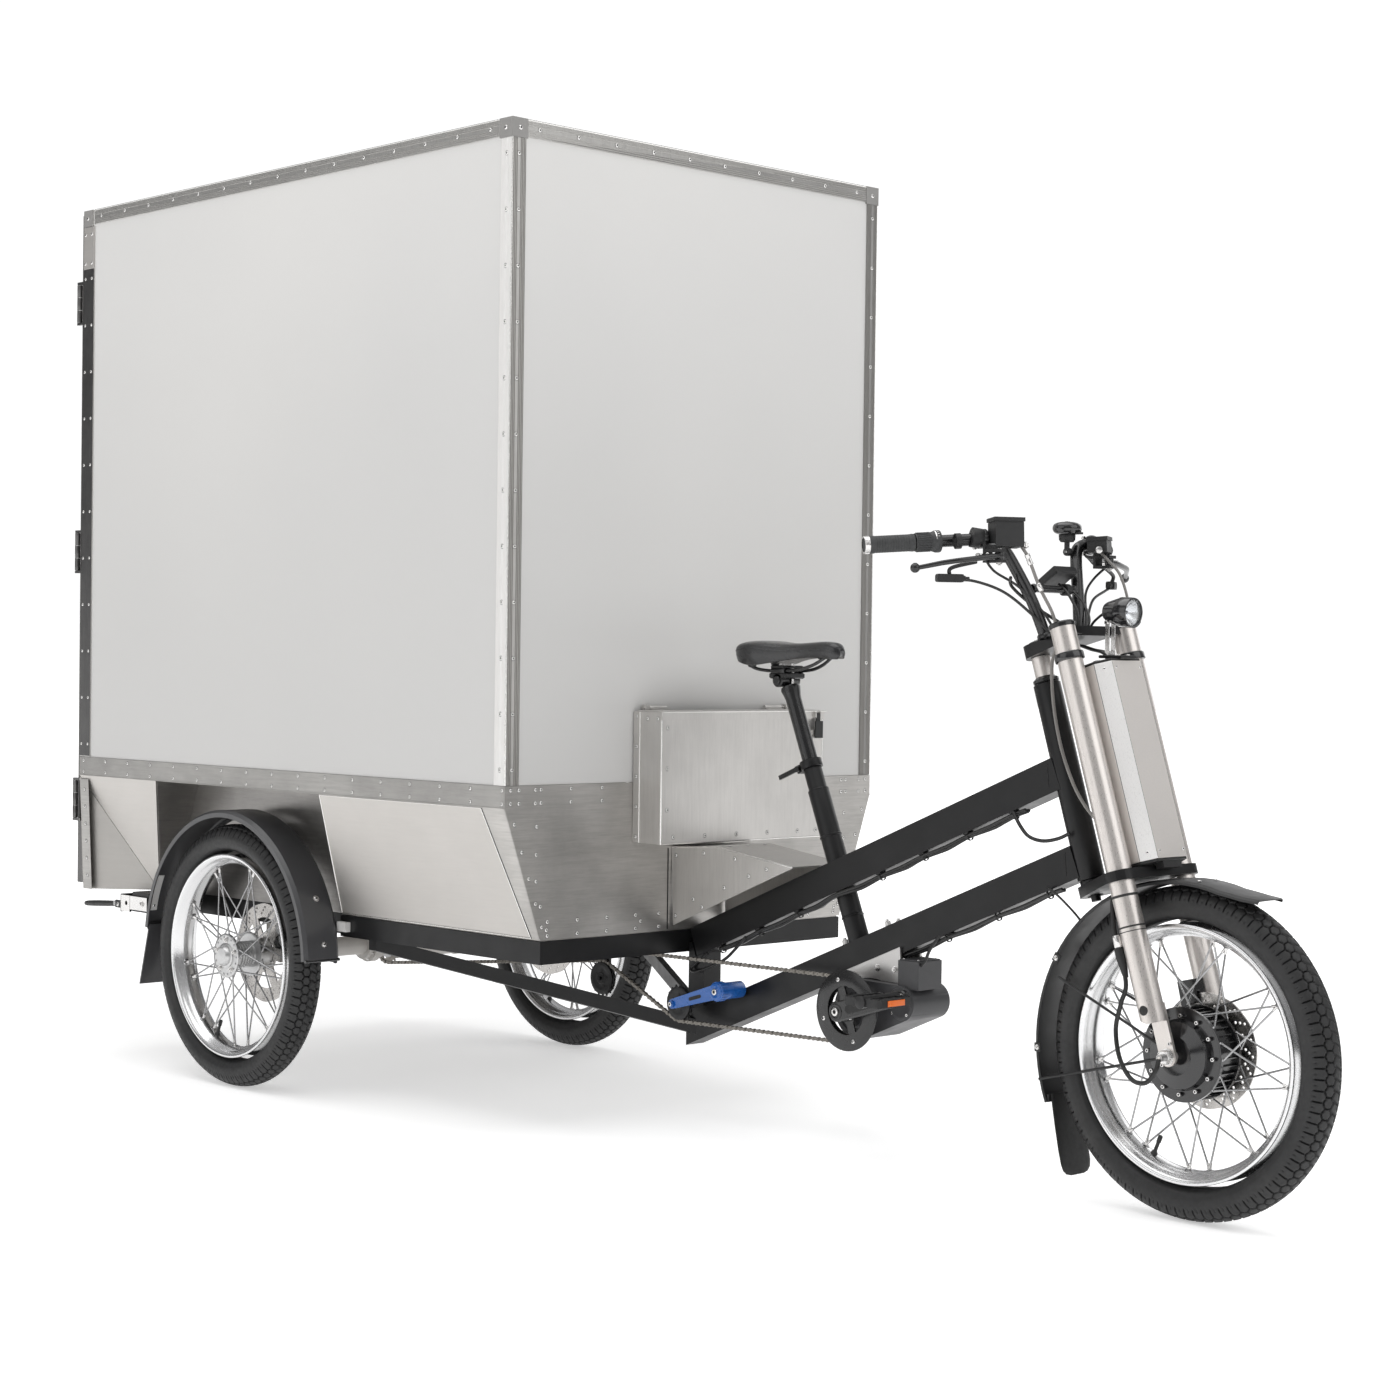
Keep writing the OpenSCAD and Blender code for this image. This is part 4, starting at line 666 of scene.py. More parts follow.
def curve_points(points, steps=6):
    """A smooth curve through given points."""
    pts = [Vector(p) for p in points]
    out = []
    for i in range(len(pts) - 1):
        a, b, c, d = pts[max(i - 1, 0)], pts[i], pts[i + 1], pts[min(i + 2, len(pts) - 1)]
        for s in range(steps):
            t = s / steps
            out.append(0.5 * (2 * b + (c - a) * t + (2 * a - 5 * b + 4 * c - d) * t * t
                              + (3 * b - a - 3 * c + d) * t ** 3))
    return out + [pts[-1]]


def side_block(s, side, x, y, z, key, bevel=0.0):
    """A box on one side of the middle plane: pairs of millimetres along x, out from the middle, and up."""
    y0, y1 = sorted((side * y[0], side * y[1]))
    s.block(P(x[0], y0, z[0]), P(x[1], y1, z[1]), key, bevel * MM)


def flat_plate(outer, holes, thick, u, v, at):
    """Vertices and faces of a flat plate with holes; loops are (x, y) pairs in millimetres along u, v."""
    data = bpy.data.curves.new("plate", "CURVE")
    data.dimensions = "2D"
    data.fill_mode = "BOTH"
    data.extrude = thick / 2 * MM
    for loop in [outer] + holes:
        spline = data.splines.new("POLY")
        spline.points.add(len(loop) - 1)
        for point, (x, y) in zip(spline.points, loop):
            point.co = (x * MM, y * MM, 0, 1)
        spline.use_cyclic_u = True
    obj = bpy.data.objects.new("plate", data)
    mesh = bpy.data.meshes.new_from_object(obj)
    u, v = Vector(u).normalized(), Vector(v).normalized()
    w = u.cross(v)
    verts = [at + u * p.co.x + v * p.co.y + w * p.co.z for p in mesh.vertices]
    faces = [tuple(f.vertices) for f in mesh.polygons]
    bpy.data.objects.remove(obj)
    bpy.data.meshes.remove(mesh)
    bpy.data.curves.remove(data)
    return verts, faces


def circle(r, n=24, x=0.0, y=0.0):
    """Points of a circle about (x, y)."""
    return [(x + r * math.cos(2 * math.pi * i / n), y + r * math.sin(2 * math.pi * i / n))
            for i in range(n)]


def turned(points, angle):
    """Points turned about the origin by an angle in radians."""
    c, s = math.cos(angle), math.sin(angle)
    return [(x * c - y * s, x * s + y * c) for x, y in points]


def along(a, b, pitch, inset=0.0):
    """Evenly spaced points between two points, about a pitch apart in millimetres."""
    a, b = Vector(a), Vector(b)
    length = (b - a).length - 2 * inset * MM
    if length <= 0:
        return [(a + b) / 2]
    step = (b - a).normalized()
    n = max(1, round(length / (pitch * MM)))
    return [a + step * (inset * MM + length * i / n) for i in range(n + 1)]


# ---------------------------------------------------------------- carried-over CAD nodes

def give(node, key, bevel=0.0):
    """A CAD node's material, and rounded edges from a bevel modifier where asked, in millimetres."""
    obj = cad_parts[node]
    obj.data.materials.clear()
    obj.data.materials.append(M[key])
    if bevel:
        weld = obj.modifiers.new("weld", "WELD")
        weld.merge_threshold = 1e-5
        round_off = obj.modifiers.new("bevel", "BEVEL")
        round_off.width = bevel * MM
        round_off.segments = 2
        round_off.limit_method = "ANGLE"
        round_off.angle_limit = math.radians(40)
        round_off.use_clamp_overlap = True
        round_off.harden_normals = False


def finish_cad_nodes():
    """A material and a bevel in millimetres for every CAD node."""
    plain = {"load_frame": ("frame", 1.6), "bike_frame": ("frame", 1.6), "rear_axle": ("axle", 0),
             "box_panels": ("panel", 0), "box_floor": ("floor", 0), "edge_profiles": ("profile", 0.5),
             "skirt_plates": ("skirt", 0), "skirt_inserts": ("insert", 0), "tool_box": ("box", 0.9),
             "tool_box_lid": ("box", 0.7), "tool_box_latch": ("plastic", 0.6),
             "door_right": ("door", 1.5), "door_left": ("door", 1.5), "door_bolt": ("zinc", 0.8),
             "rear_fenders": ("rear_fender", 0), "rear_calipers": ("black", 1.0),
             "load_lock_lever": ("rubber", 0), "seatpost": ("black", 0), "saddle": ("saddle", 0),
             "seat_clamp_lever": ("black", 0.8), "gearbox": ("gear", 2.0),
             "gearbox_mount": ("mount", 0.8), "crank_arms": ("black", 1.2), "chainring": ("black", 0),
             "right_pedal": ("plastic", 0.8), "left_pedal": ("plastic", 0.8), "drive_chain": ("chain", 0),
             "tensioner_arm": ("blue", 1.0), "tensioner_pulley": ("plastic", 0),
             "guide_pulley": ("plastic", 0), "rear_sprocket": ("chain", 0), "right_tyre": ("tyre", 0),
             "right_rim": ("rim", 0), "right_hub": ("hub", 0), "right_disc": ("disc", 0),
             "left_tyre": ("tyre", 0), "left_rim": ("rim", 0), "left_hub": ("hub", 0),
             "left_disc": ("disc", 0), "front_tyre": ("tyre", 0), "front_rim": ("rim", 0),
             "hub_motor": ("gloss", 0), "front_disc": ("disc", 0), "fork_crowns": ("frame", 1.0),
             "fork_legs": ("fork", 0), "battery_case": ("battery", 0.8), "headlight": ("gloss", 0),
             "handlebar": ("black", 0), "grips": ("grip", 0), "brake_reservoirs": ("plastic", 0.8),
             "bar_controls": ("plastic", 1.2), "bell": ("gloss", 0), "bell_striker": ("plastic", 0),
             "front_fender": ("fender", 0), "front_caliper": ("black", 1.5), "front_cables": ("cable", 0),
             "frame_harness": ("cable", 0), "right_brake_lever": ("black", 0),
             "left_brake_lever": ("black", 0), "shift_twister": ("grip", 0),}
    for node, (key, bevel) in plain.items():
        give(node, key, bevel)


# ---------------------------------------------------------------- wheels

TREAD_PITCHES = 46
TREAD_DEPTH = 3.6
SECTION_MID = 256


def wave(t):
    """Triangle wave between -1 and 1."""
    return 4 * np.abs(t - np.floor(t + 0.5)) - 1


def groove(distance, half_width):
    """1 in the middle of a groove and 0 outside it."""
    return np.clip((half_width - np.abs(distance)) / 0.9 + 0.5, 0, 1)


def cut(phase, pitch):
    """Distance in millimetres from the nearest cross cut."""
    return (phase - np.round(phase)) * pitch


def tread_height(around, s):
    """How deep the tread is cut, in millimetres, at a turn fraction and a distance from the middle."""
    u = around * TREAD_PITCHES * 2
    pitch = 2 * math.pi * WHEEL_R / MM / (TREAD_PITCHES * 2)
    side = np.where(s < 0, 0.5, 0.0)
    t = np.abs(s)
    inner = 8.5 + 2.6 * wave(u + side)
    middle_row = 23 + 2.6 * wave(u + side + 0.5)
    outer = 37 + 1.2 * wave(u + side)
    cuts = groove(t - inner, 1.25)
    cuts = np.maximum(cuts, groove(t - middle_row, 1.25))
    cuts = np.maximum(cuts, groove(cut(u + 0.5 + s * 0.03, pitch), 1.2) * (t < inner))
    cuts = np.maximum(cuts, groove(cut(u + side + 0.5, pitch), 1.2) * (t > inner) * (t < middle_row))
    cuts = np.maximum(cuts, groove(cut(u + side, pitch), 1.5) * (t > middle_row) * (t < 46))
    sipes = groove(cut(u * 2, pitch / 2), 0.5) * (t > outer) * (t < 47) * 0.5
    fade = np.clip((48 - t) / 6, 0, 1)
    return (np.maximum(cuts, sipes)) * fade * TREAD_DEPTH


def tyre_data():
    """One tyre about the origin with its axis along Y: block tread, shoulder lugs and ribbed walls."""
    around, half_tread, wall = 920, 80, 14
    tread = np.linspace(-half_tread, half_tread, 58)
    angles = np.concatenate([np.linspace(-142, -half_tread, wall, endpoint=False), tread,
                             np.linspace(half_tread, 142, wall + 1)[1:]])
    a = np.radians(angles)[None, :]
    turn = (np.arange(around) / around)[:, None]
    s = 34.5 * a + 0 * turn
    from_top = np.abs(angles)
    ridges = 0.7 * np.exp(-((from_top - 104) / 2.0) ** 2) + 0.7 * np.exp(-((from_top - 124) / 2.5) ** 2)
    depth = tread_height(turn, s) - ridges[None, :]
    swell = 1 - (1 - np.cos(a)) ** 2 * 0.03
    radial = SECTION_MID + (34 * swell - depth) * np.cos(a)
    across = (35 - depth) * np.sin(a)
    theta = 2 * np.pi * turn
    co = np.stack([radial * np.cos(theta), across + 0 * theta, radial * np.sin(theta)], axis=-1) * MM
    n = len(angles)
    i, k = np.meshgrid(np.arange(around), np.arange(n - 1), indexing="ij")
    j = (i + 1) % around
    quads = np.stack([i * n + k, i * n + k + 1, j * n + k + 1, j * n + k], axis=-1).reshape(-1, 4)
    here = np.arange(around) * n
    following = (np.arange(around) + 1) % around * n
    bead = np.stack([here, following, following + n - 1, here + n - 1], axis=-1)
    mesh = bpy.data.meshes.new("tyre_tread")
    mesh.from_pydata(co.reshape(-1, 3).tolist(), [], np.concatenate([quads, bead]).tolist())
    mesh.polygons.foreach_set("use_smooth", [True] * len(mesh.polygons))
    mesh.materials.append(M["tyre"])
    mesh.update()
    mesh.set_sharp_from_angle(angle=math.radians(50))
    return mesh


# flange: radius of the spoke flanges, which stand at low and high; disc: radius, bore and place across
REAR_WHEEL = {"flange": 48, "low": -29, "high": 31, "disc": (110, 28.2, 71.2)}
FRONT_WHEEL = {"flange": 84, "low": -30, "high": 22, "disc": (101.5, 34.4, 43.5)}
WHEELS = {
    "right": {"body": "wheel_right", "at": AXLE, "side": 1, **REAR_WHEEL},
    "left": {"body": "wheel_left", "at": Vector((AXLE.x, REAR_Y, AXLE.z)), "side": -1, **REAR_WHEEL},
    "front": {"body": "wheel_front", "at": FRONT, "side": 1, **FRONT_WHEEL},
}


def wheel_point(wheel, r, across, angle):
    """A point on a wheel: radius, distance towards its inner side and angle in degrees."""
    a = math.radians(angle)
    offset = Vector((r * math.cos(a), across * wheel["side"], r * math.sin(a)))
    return wheel["at"] + offset * MM


def make_rim(name, wheel):
    """Polished rim with a drop centre, dimples, spoke nipples, crossed spokes and a valve."""
    s = Shape()
    half = [(202, 0), (202.4, 8), (204.5, 14.5), (209, 19.5), (212.6, 24.5), (214.6, 28.6), (218, 31.2),
            (221.5, 32.3), (224.3, 31.2), (225, 29.6), (223.6, 28.4), (217, 26), (213.5, 21.5),
            (209.5, 12), (208.6, 0)]
    ring = half + [(r, -y) for r, y in reversed(half[1:-1])]
    s.lathe(wheel["at"], Y, ring + [ring[0]], "rim", 144)
    for i in range(18):
        lean = 30 if i % 2 == 0 else -30
        for across, end, turn in ((wheel["low"], -5, 0), (wheel["high"], 5, 10)):
            hub_a = 20 * i + turn
            hub = wheel_point(wheel, wheel["flange"], across, hub_a)
            rim = wheel_point(wheel, 201, end, hub_a + lean)
            way = (rim - hub).normalized()
            s.tube([hub - Y * 2.5 * MM * (1 if across < 0 else -1) * wheel["side"], hub,
                    hub + way * 4 * MM, rim], 1.8, "spoke", 8)
            inward = wheel_point(wheel, 0, end, 0) - wheel_point(wheel, 1000, end, hub_a + lean)
            s.lathe(wheel_point(wheel, 202.6, end, hub_a + lean), inward,
                    [(8.5, -0.6), (7.2, 0.9), (4.4, 1.7), (0, 1.9)], "rim", 16)
            s.lathe(rim - way * 12 * MM, way, [(0, 0), (2.0, 0), (2.6, 1), (2.6, 7), (3.4, 8),
                                               (3.4, 12.5)], "bolt", 8)
    valve = wheel_point(wheel, 202, 0, 247)
    inward = (wheel["at"] - valve).normalized()
    s.lathe(valve, inward, [(6.5, 0), (5.5, 3), (3.4, 7), (3.2, 24), (0, 24)], "rubber", 14)
    s.lathe(valve, inward, [(0, 23), (4, 23), (4.2, 25), (4.2, 34), (3.4, 36), (0, 36)], "plastic", 12)
    s.piece(name + "_rim_spoked", wheel["body"], "rim_alu", 40, (name + "_rim",))


def disc_loops(radius, bore, groups):
    """Outer outline and holes of a drilled brake disc, in millimetres."""
    holes = [circle(bore, 32)]
    for i in range(groups):
        a = 2 * math.pi * i / groups
        for k, (back, shift) in enumerate(((8, 0.0), (15, 0.07), (22, 0.14))):
            r = radius - back
            holes.append(circle(2.6, 10, r * math.cos(a + shift), r * math.sin(a + shift)))
    for i in range(6):
        a0, a1 = math.radians(60 * i + 9), math.radians(60 * i + 51)
        outer_r, inner_r = radius - 31, bore + 16
        rim_arc = [(outer_r * math.cos(a0 + (a1 - a0) * k / 8),
                    outer_r * math.sin(a0 + (a1 - a0) * k / 8)) for k in range(9)]
        hub_arc = [(inner_r * math.cos(a1 - 0.16 - (a1 - a0 - 0.32) * k / 5),
                    inner_r * math.sin(a1 - 0.16 - (a1 - a0 - 0.32) * k / 5)) for k in range(6)]
        holes.append(rim_arc + hub_arc)
        b = math.radians(60 * i)
        holes.append(circle(2.4, 10, (bore + 7) * math.cos(b), (bore + 7) * math.sin(b)))
    outer = []
    waves = 12
    for i in range(180):
        a = 2 * math.pi * i / 180
        r = radius - 1.1 * (1 - math.cos(a * waves)) / 2
        outer.append((r * math.cos(a), r * math.sin(a)))
    return outer, holes


def make_disc(name, wheel):
    """A drilled brake disc with a wavy edge and its six bolts."""
    radius, bore, across = wheel["disc"]
    outer, holes = disc_loops(radius, bore, 20)
    at = wheel["at"] + Y * across * MM * wheel["side"]
    s = Shape()
    s.add(*flat_plate(outer, holes, 3.0, X, Z, at), "disc")
    for i in range(6):
        bolt_at = at + radial(60 * i + 30) * (bore + 7) * MM
        for face in (-1, 1):
            s.bolt(bolt_at + Y * 1.5 * face * MM, Y * face, 4.2, "button", 3.5)
    s.piece(name + "_disc_drilled", wheel["body"], "disc_steel", 40, (name + "_disc",))


def dress_rear_hub(name, wheel):
    """Machined rings, a grease cap and bolt heads on a rear hub."""
    s = Shape()
    inner = Y * wheel["side"]
    for across in (-19, -12, -5, 2, 9, 16, 22):
        s.lathe(wheel["at"] + inner * across * MM, inner, [(26.5, -1.6), (29.5, -0.9), (29.5, 0.9),
                                                           (26.5, 1.6)], "hub", 48)
    for across in (-29, 31):
        s.lathe(wheel["at"] + inner * across * MM, inner, [(45.6, -3.6), (48.6, -2.6), (48.6, 2.6),
                                                           (45.6, 3.6)], "hub", 64)
        for i in range(18):
            way = radial(20 * i + (10 if across > 0 else 0))
            hole = wheel["at"] + way * 41 * MM + inner * across * MM
            outward = inner * (1 if across > 0 else -1)
            s.lathe(hole + outward * 3 * MM, outward, [(2.6, -0.2), (2.3, 0.8), (0, 1.1)], "spoke", 8)
    cap_at = wheel["at"] - inner * 31.8 * MM
    s.lathe(cap_at, -inner, [(28, 0), (28, 2), (26, 3.4), (22, 3.6), (20.5, 9), (17, 12.5), (0, 13.5)],
            "hub", 40)
    for i in range(5):
        s.bolt(cap_at + radial(72 * i + 18) * 35 * MM, -inner, 4.3, "hex", 5)
    s.piece(name, wheel["body"], "hub_cast", 35)


def dress_hub_motor():
    """Stepped side cover, cooling fins and cover bolts of the hub motor."""
    s = Shape()
    at = WHEELS["front"]["at"]
    cover = [(8.6, -53), (19, -53), (20, -51.5), (20, -44), (30, -43), (46, -41.5), (48, -40),
             (49.5, -36.4), (60, -35.4), (61, -33.2), (79.5, -33.2)]
    s.lathe(at, Y, cover, "gloss", 72)
    for i in range(36):
        out = radial(10 * i)
        s.box_at(at + out * 76 * MM - Y * 3.5 * MM, out, out.cross(Y), Y, (3.2, 0.9, 22), "gloss", 0)
    for i in range(12):
        out = radial(30 * i)
        s.bolt(at + out * 68 * MM - Y * 37 * MM, -Y, 3.6, "cap", 4.0)
        s.bolt(at + out * 55 * MM - Y * 35.6 * MM, -Y, 2.0, "button", 2)
        s.bolt(at + out * 54 * MM + Y * 49.5 * MM, Y, 2.8, "button", 2.5)
    s.piece("motor_cover_bolts", "wheel_front", "gloss_black", 35)


def make_wheels():
    """Tyres, rims, discs and hub details of the three wheels."""
    tread = tyre_data()
    for name, wheel in WHEELS.items():
        tyre = bpy.data.objects.new(name + "_tyre_tread", tread)
        tyre.location = wheel["at"]
        place(tyre, wheel["body"], (name + "_tyre",))
        make_rim(name, wheel)
    for name, wheel in WHEELS.items():
        make_disc(name, wheel)
    for name in ("right", "left"):
        dress_rear_hub(name + "_hub_details", WHEELS[name])
    dress_hub_motor()


# ---------------------------------------------------------------- cargo box trim

BOX_X0, BOX_X1 = -631, 965
BOX_Y = 520
ROOF = 2001
PANEL_LOW = 708
BAND_MID = 686
BAND_LOW = 664
DECK = 402
DECK_Y = 427
CAP = 38
CAP_CLEAR = CAP + 0.5
STRIP_WIDE = 45.6
RIVET_STEP = 105
FLANGE_WIDE = 34


def ribbed_flange(s, a, b, normal, inward, key="profile"):
    """Long ribs and a rounded outer edge on one flange of an edge profile, from a to b along it."""
    run = b - a
    rise = 0.5 if normal == Z else 0.75
    for offset in (4.2, 8.2, 12.0, 22.0, 25.8, 29.8):
        base = a + inward * offset * MM
        s.prism([base - inward * 1.25 * MM, base + inward * 1.25 * MM, base + inward * 0.8 * MM
                 + normal * rise * MM, base - inward * 0.8 * MM + normal * rise * MM], run, key)
    lip = a + inward * (FLANGE_WIDE - 1.2) * MM
    s.prism([lip, lip + inward * 1.4 * MM, lip + inward * 1.0 * MM + normal * 0.6 * MM,
             lip + normal * 0.6 * MM], run, key)


def rivet_row(s, a, b, normal, pitch=RIVET_STEP, inset=30, r=4.2):
    """Rivets at an even pitch between two points."""
    for point in along(a, b, pitch, inset):
        s.rivet(point, normal, r)


def make_edges():
    """Ribs, bright corners that paint the corners' highlights, rivets and door-frame strips on the box's
    edge profiles; ribs on upright side flanges are painted light and on upright front flanges painted
    shade.
    """
    s = Shape()
    rivets = Shape()
    z0, z1 = PANEL_LOW + 0.5, ROOF - CAP_CLEAR
    x0, x1 = BOX_X0 + STRIP_WIDE + 0.9, BOX_X1 - CAP_CLEAR
    y1 = BOX_Y - CAP_CLEAR
    edges = []
    for side in (-1, 1):
        out = Y * side
        upright = P(BOX_X1, BOX_Y * side, z0), P(BOX_X1, BOX_Y * side, z1)
        roof_side = P(x0, BOX_Y * side, ROOF), P(x1, BOX_Y * side, ROOF)
        edges += [(*upright, out, -X), (*upright, X, -out), (*roof_side, out, -Z), (*roof_side, Z, -out)]
    roof_front = P(BOX_X1, -y1, ROOF), P(BOX_X1, y1, ROOF)
    roof_rear = P(BOX_X0, -y1, ROOF), P(BOX_X0, y1, ROOF)
    edges += [(*roof_front, X, -Z), (*roof_front, Z, -X), (*roof_rear, Z, X)]
    for a, b, normal, inward in edges:
        # ribs on upright side flanges take the lighter copy of the aluminium as painted light, ribs on
        # upright front flanges the darker copy as painted shade
        upright_side = inward == -X and abs(normal.y) > 0.5
        upright_front = normal == X and abs(inward.y) > 0.5
        ribbed_flange(s, a, b, normal, inward,
                      "flange" if upright_side else "front_flange" if upright_front else "profile")
        middle_line = inward * 17 * MM - (Z * 0.6 * MM if normal == Z else Vector())
        rivet_row(rivets, a + middle_line, b + middle_line, normal)
    # round corners in the bright metal, a little inside the box's own: painted highlights along the
    # corners
    corner_x, corner_y, corner_z = BOX_X1 - 1.3, BOX_Y - 1.3, ROOF - 1.3
    for side in (-1, 1):
        y = corner_y * side
        s.tube([P(corner_x, y, z0), P(corner_x, y, z1)], 1.9, "edge", 12)
        s.tube([P(x0, y, corner_z), P(x1, y, corner_z)], 1.9, "edge", 12)
    s.tube([P(corner_x, -y1, corner_z), P(corner_x, y1, corner_z)], 1.9, "edge", 12)
    # flat door-frame strips with their lighter head plates
    for side in (-1, 1):
        out = Y * side
        low, high = P(BOX_X0, BOX_Y * side, z0 + 2), P(BOX_X0 + STRIP_WIDE, BOX_Y * side, z0 + 2)
        tall = Z * (z1 - 100 - z0 - 2) * MM
        s.prism([low, high, high + tall, low + tall], out * 0.8 * MM, "strip", 0.3 * MM)
        foot, head = tall + Z * MM, tall + Z * 98.5 * MM
        s.prism([low + foot, high + foot, high + head, low + head], out * 1.2 * MM, "insert", 0.4 * MM)
        for x in (BOX_X0 + 9, BOX_X0 + 37):
            rivet_row(rivets, P(x, (BOX_Y + 0.8) * side, z0 + 20), P(x, (BOX_Y + 0.8) * side, 1850), out,
                      106, 10, 3.6)
            for z in (1876, 1944):
                rivets.bolt(P(x, (BOX_Y + 1.2) * side, z), out, 4.2, "button", 2.6)
    s.piece("edge_ribs", "chassis", "profile_alu", 30)
    rivets.piece("edge_rivets", "chassis", "profile_alu", 30)


def make_corner_caps():
    """Moulded caps with rounded faces and one screw on each visible face."""
    s = Shape()
    proud = 0.9
    wall = 1.0 * MM
    for side in (-1, 1):
        face_y = (BOX_Y + proud) * side
        for x, face in ((BOX_X1 - CAP, X), (BOX_X0, -X)):
            low = P(x - 0.7, min(face_y, (BOX_Y - CAP) * side), ROOF - CAP)
            high = P(x + CAP + proud, max(face_y, (BOX_Y - CAP) * side), ROOF + 0.5)
            s.bolt(P(x + CAP / 2, face_y, ROOF - CAP / 2), Y * side, 4.6, "button", 3)
            y = face_y * MM - wall * side
            s.prism([Vector((px, y, pz)) for px, pz in
                     ((low.x, low.z), (high.x, low.z), (high.x, high.z), (low.x, high.z))],
                    Y * side * 1.4 * MM, "cap", 0.5 * MM)
            if face == X:
                s.bolt(P(BOX_X1 + proud, (BOX_Y - CAP / 2) * side, ROOF - CAP / 2), X, 4.6, "button", 3)
                s.prism([Vector((high.x - wall, py, pz)) for py, pz in
                         ((low.y, low.z), (high.y, low.z), (high.y, high.z), (low.y, high.z))],
                        X * 1.4 * MM, "cap", 0.5 * MM)
    s.piece("corner_caps", "chassis", "profile_alu", 30)


def make_skirt_rivets():
    """Rivets of the band and the front skirt, and the seams beside the housing."""
    s = Shape()
    rows = (BAND_MID - 13, BAND_MID + 13)
    for side in (-1, 1):
        out = Y * side
        for x in range(-612, 960, 98):
            for z in rows:
                s.rivet(P(x, BOX_Y * side, z), out, 4.0)
        for y in (505, 484, 442, 428, 350, 268):
            if side > 0 and y < 300:
                continue
            for z in rows:
                s.rivet(P(BOX_X1, y * side, z), X, 4.0)
        # two columns down the slanted front edge
        for t in (0.12, 0.33, 0.53, 0.72, 0.90):
            z = BAND_LOW + (DECK - BAND_LOW) * t
            edge_y = BOX_Y + (DECK_Y - BOX_Y) * t
            s.rivet(P(BOX_X1, (edge_y - 14) * side, z), X, 4.0)
            s.rivet(P(BOX_X1, min(edge_y - 26, 438) * side, z - 6), X, 4.0)
        for y in (408, 330, 252, 174, 110):
            for z in (438, 411):
                s.rivet(P(BOX_X1, y * side, z), X, 4.0)
    s.rivet(P(BOX_X1, -160, 425), X, 4.0)
    # seams of the skirt: the joint beside the electronics housing
    s.block(P(BOX_X1 - 0.5, -87.5, 404), P(BOX_X1 + 0.7, -84.8, 571), "hole")
    s.block(P(BOX_X1 - 0.5, 84.8, 404), P(BOX_X1 + 0.7, 87.5, 571), "hole")
    s.piece("skirt_rivets", "chassis", "skirt_steel", 30)


def slope_point(x, side, z):
    """A point on the sloping side panel below the band."""
    return P(x, (BOX_Y + (DECK_Y - BOX_Y) * (BAND_LOW - z) / (BAND_LOW - DECK)) * side, z)


def make_insert_edges():
    """Folded edges in the bright metal, painted highlights along the folds, and seams round the light side
    panels.
    """
    s = Shape()
    for side in (-1, 1):
        out = (Y * side * math.cos(0.34) - Z * math.sin(0.34)).normalized()
        corners = [slope_point(349, side, 662), slope_point(891, side, 662), slope_point(939, side, 405),
                   slope_point(309, side, 405)]
        # thin bright tubes round each panel: painted highlights on the folded edges
        for a, b in zip(corners, corners[1:] + corners[:1]):
            s.tube([a + out * 0.4 * MM, b + out * 0.4 * MM], 1.1, "edge", 8)
        seam_a, seam_b = slope_point(893.4, side, 662), slope_point(940.6, side, 405)
        s.tube([seam_a, seam_b], 0.9, "hole", 6)
        # lip under the band
        y, lip_y, z = BOX_Y * side, (BOX_Y + 1.4) * side, BAND_LOW - 0.6
        s.prism([P(BOX_X0, y, z), P(BOX_X1, y, z), P(BOX_X1, lip_y, z + 0.4), P(BOX_X0, lip_y, z + 0.4)],
                Z * 1.6 * MM, "band")
    s.piece("insert_edges", "chassis", "insert_grey", 30)


def make_tool_box_trim():
    """Bent edges in the bright metal as painted highlights, end flange and rivets of the tool box and of
    the electronics housing.
    """
    s = Shape()
    x0, x1 = BOX_X1 + 0.4, 1048
    y0, y1 = -185, 280
    z0, z1 = 586, 852
    for y, n in ((y0, -Y), (y1, Y)):
        # end flange with its rivets, and its fold in the bright metal as a painted highlight
        s.prism([P(x0, y, z0 + 1), P(x0 + 19, y, z0 + 1), P(x0 + 19, y, z1 - 1), P(x0, y, z1 - 1)],
                n * 1.6 * MM, "box", 0.5 * MM)
        s.tube([P(x0 + 19, y, z0 + 1) + n * 1.2 * MM, P(x0 + 19, y, z1 - 1) + n * 1.2 * MM], 1.5, "edge",
               10)
        for point in along(P(x0 + 9.5, y, z0 + 12), P(x0 + 9.5, y, z1 - 10), 60):
            s.rivet(point + n * 1.6 * MM, n, 4.0)
        for x in (1005, 1036):
            s.rivet(P(x, y, z1 - 14), n, 4.0)
        s.tube([P(x1 - 0.8, y, z0) - n * 0.8 * MM, P(x1 - 0.8, y, z1 - 17) - n * 0.8 * MM], 1.7, "edge",
               10)
    s.tube([P(x1 - 0.8, y0, z0 + 0.8), P(x1 - 0.8, y1, z0 + 0.8)], 1.5, "edge", 10)
    for z in (820, 738, 655):
        s.rivet(P(x1, y0 + 17, z), X, 4.0)
        s.rivet(P(x1, y1 - 17, z), X, 4.0)
    for y in (-150, -62, 28, 118, 208, 262):
        s.rivet(P(x1, y, z0 + 14), X, 4.0)
    s.piece("tool_box_trim", "chassis", "box_alu", 30)
    lid = Shape()
    lid_low, lid_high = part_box("tool_box_lid")
    fold_x, fold_z = lid_high.x - 0.7 * MM, lid_high.z - 11 * MM
    # bright tube along the lid's front fold: a painted highlight
    lid.tube([Vector((fold_x, y, fold_z)) for y in (lid_low.y, lid_high.y)], 1.0, "edge", 8)
    for y in (-160, -70, 50, 140):
        lid.rivet(P(1040, y, z1 + 2.4), Z, 4.0)
    lid.piece("tool_box_lid_rivets", "tool_lid", "box_alu", 30)


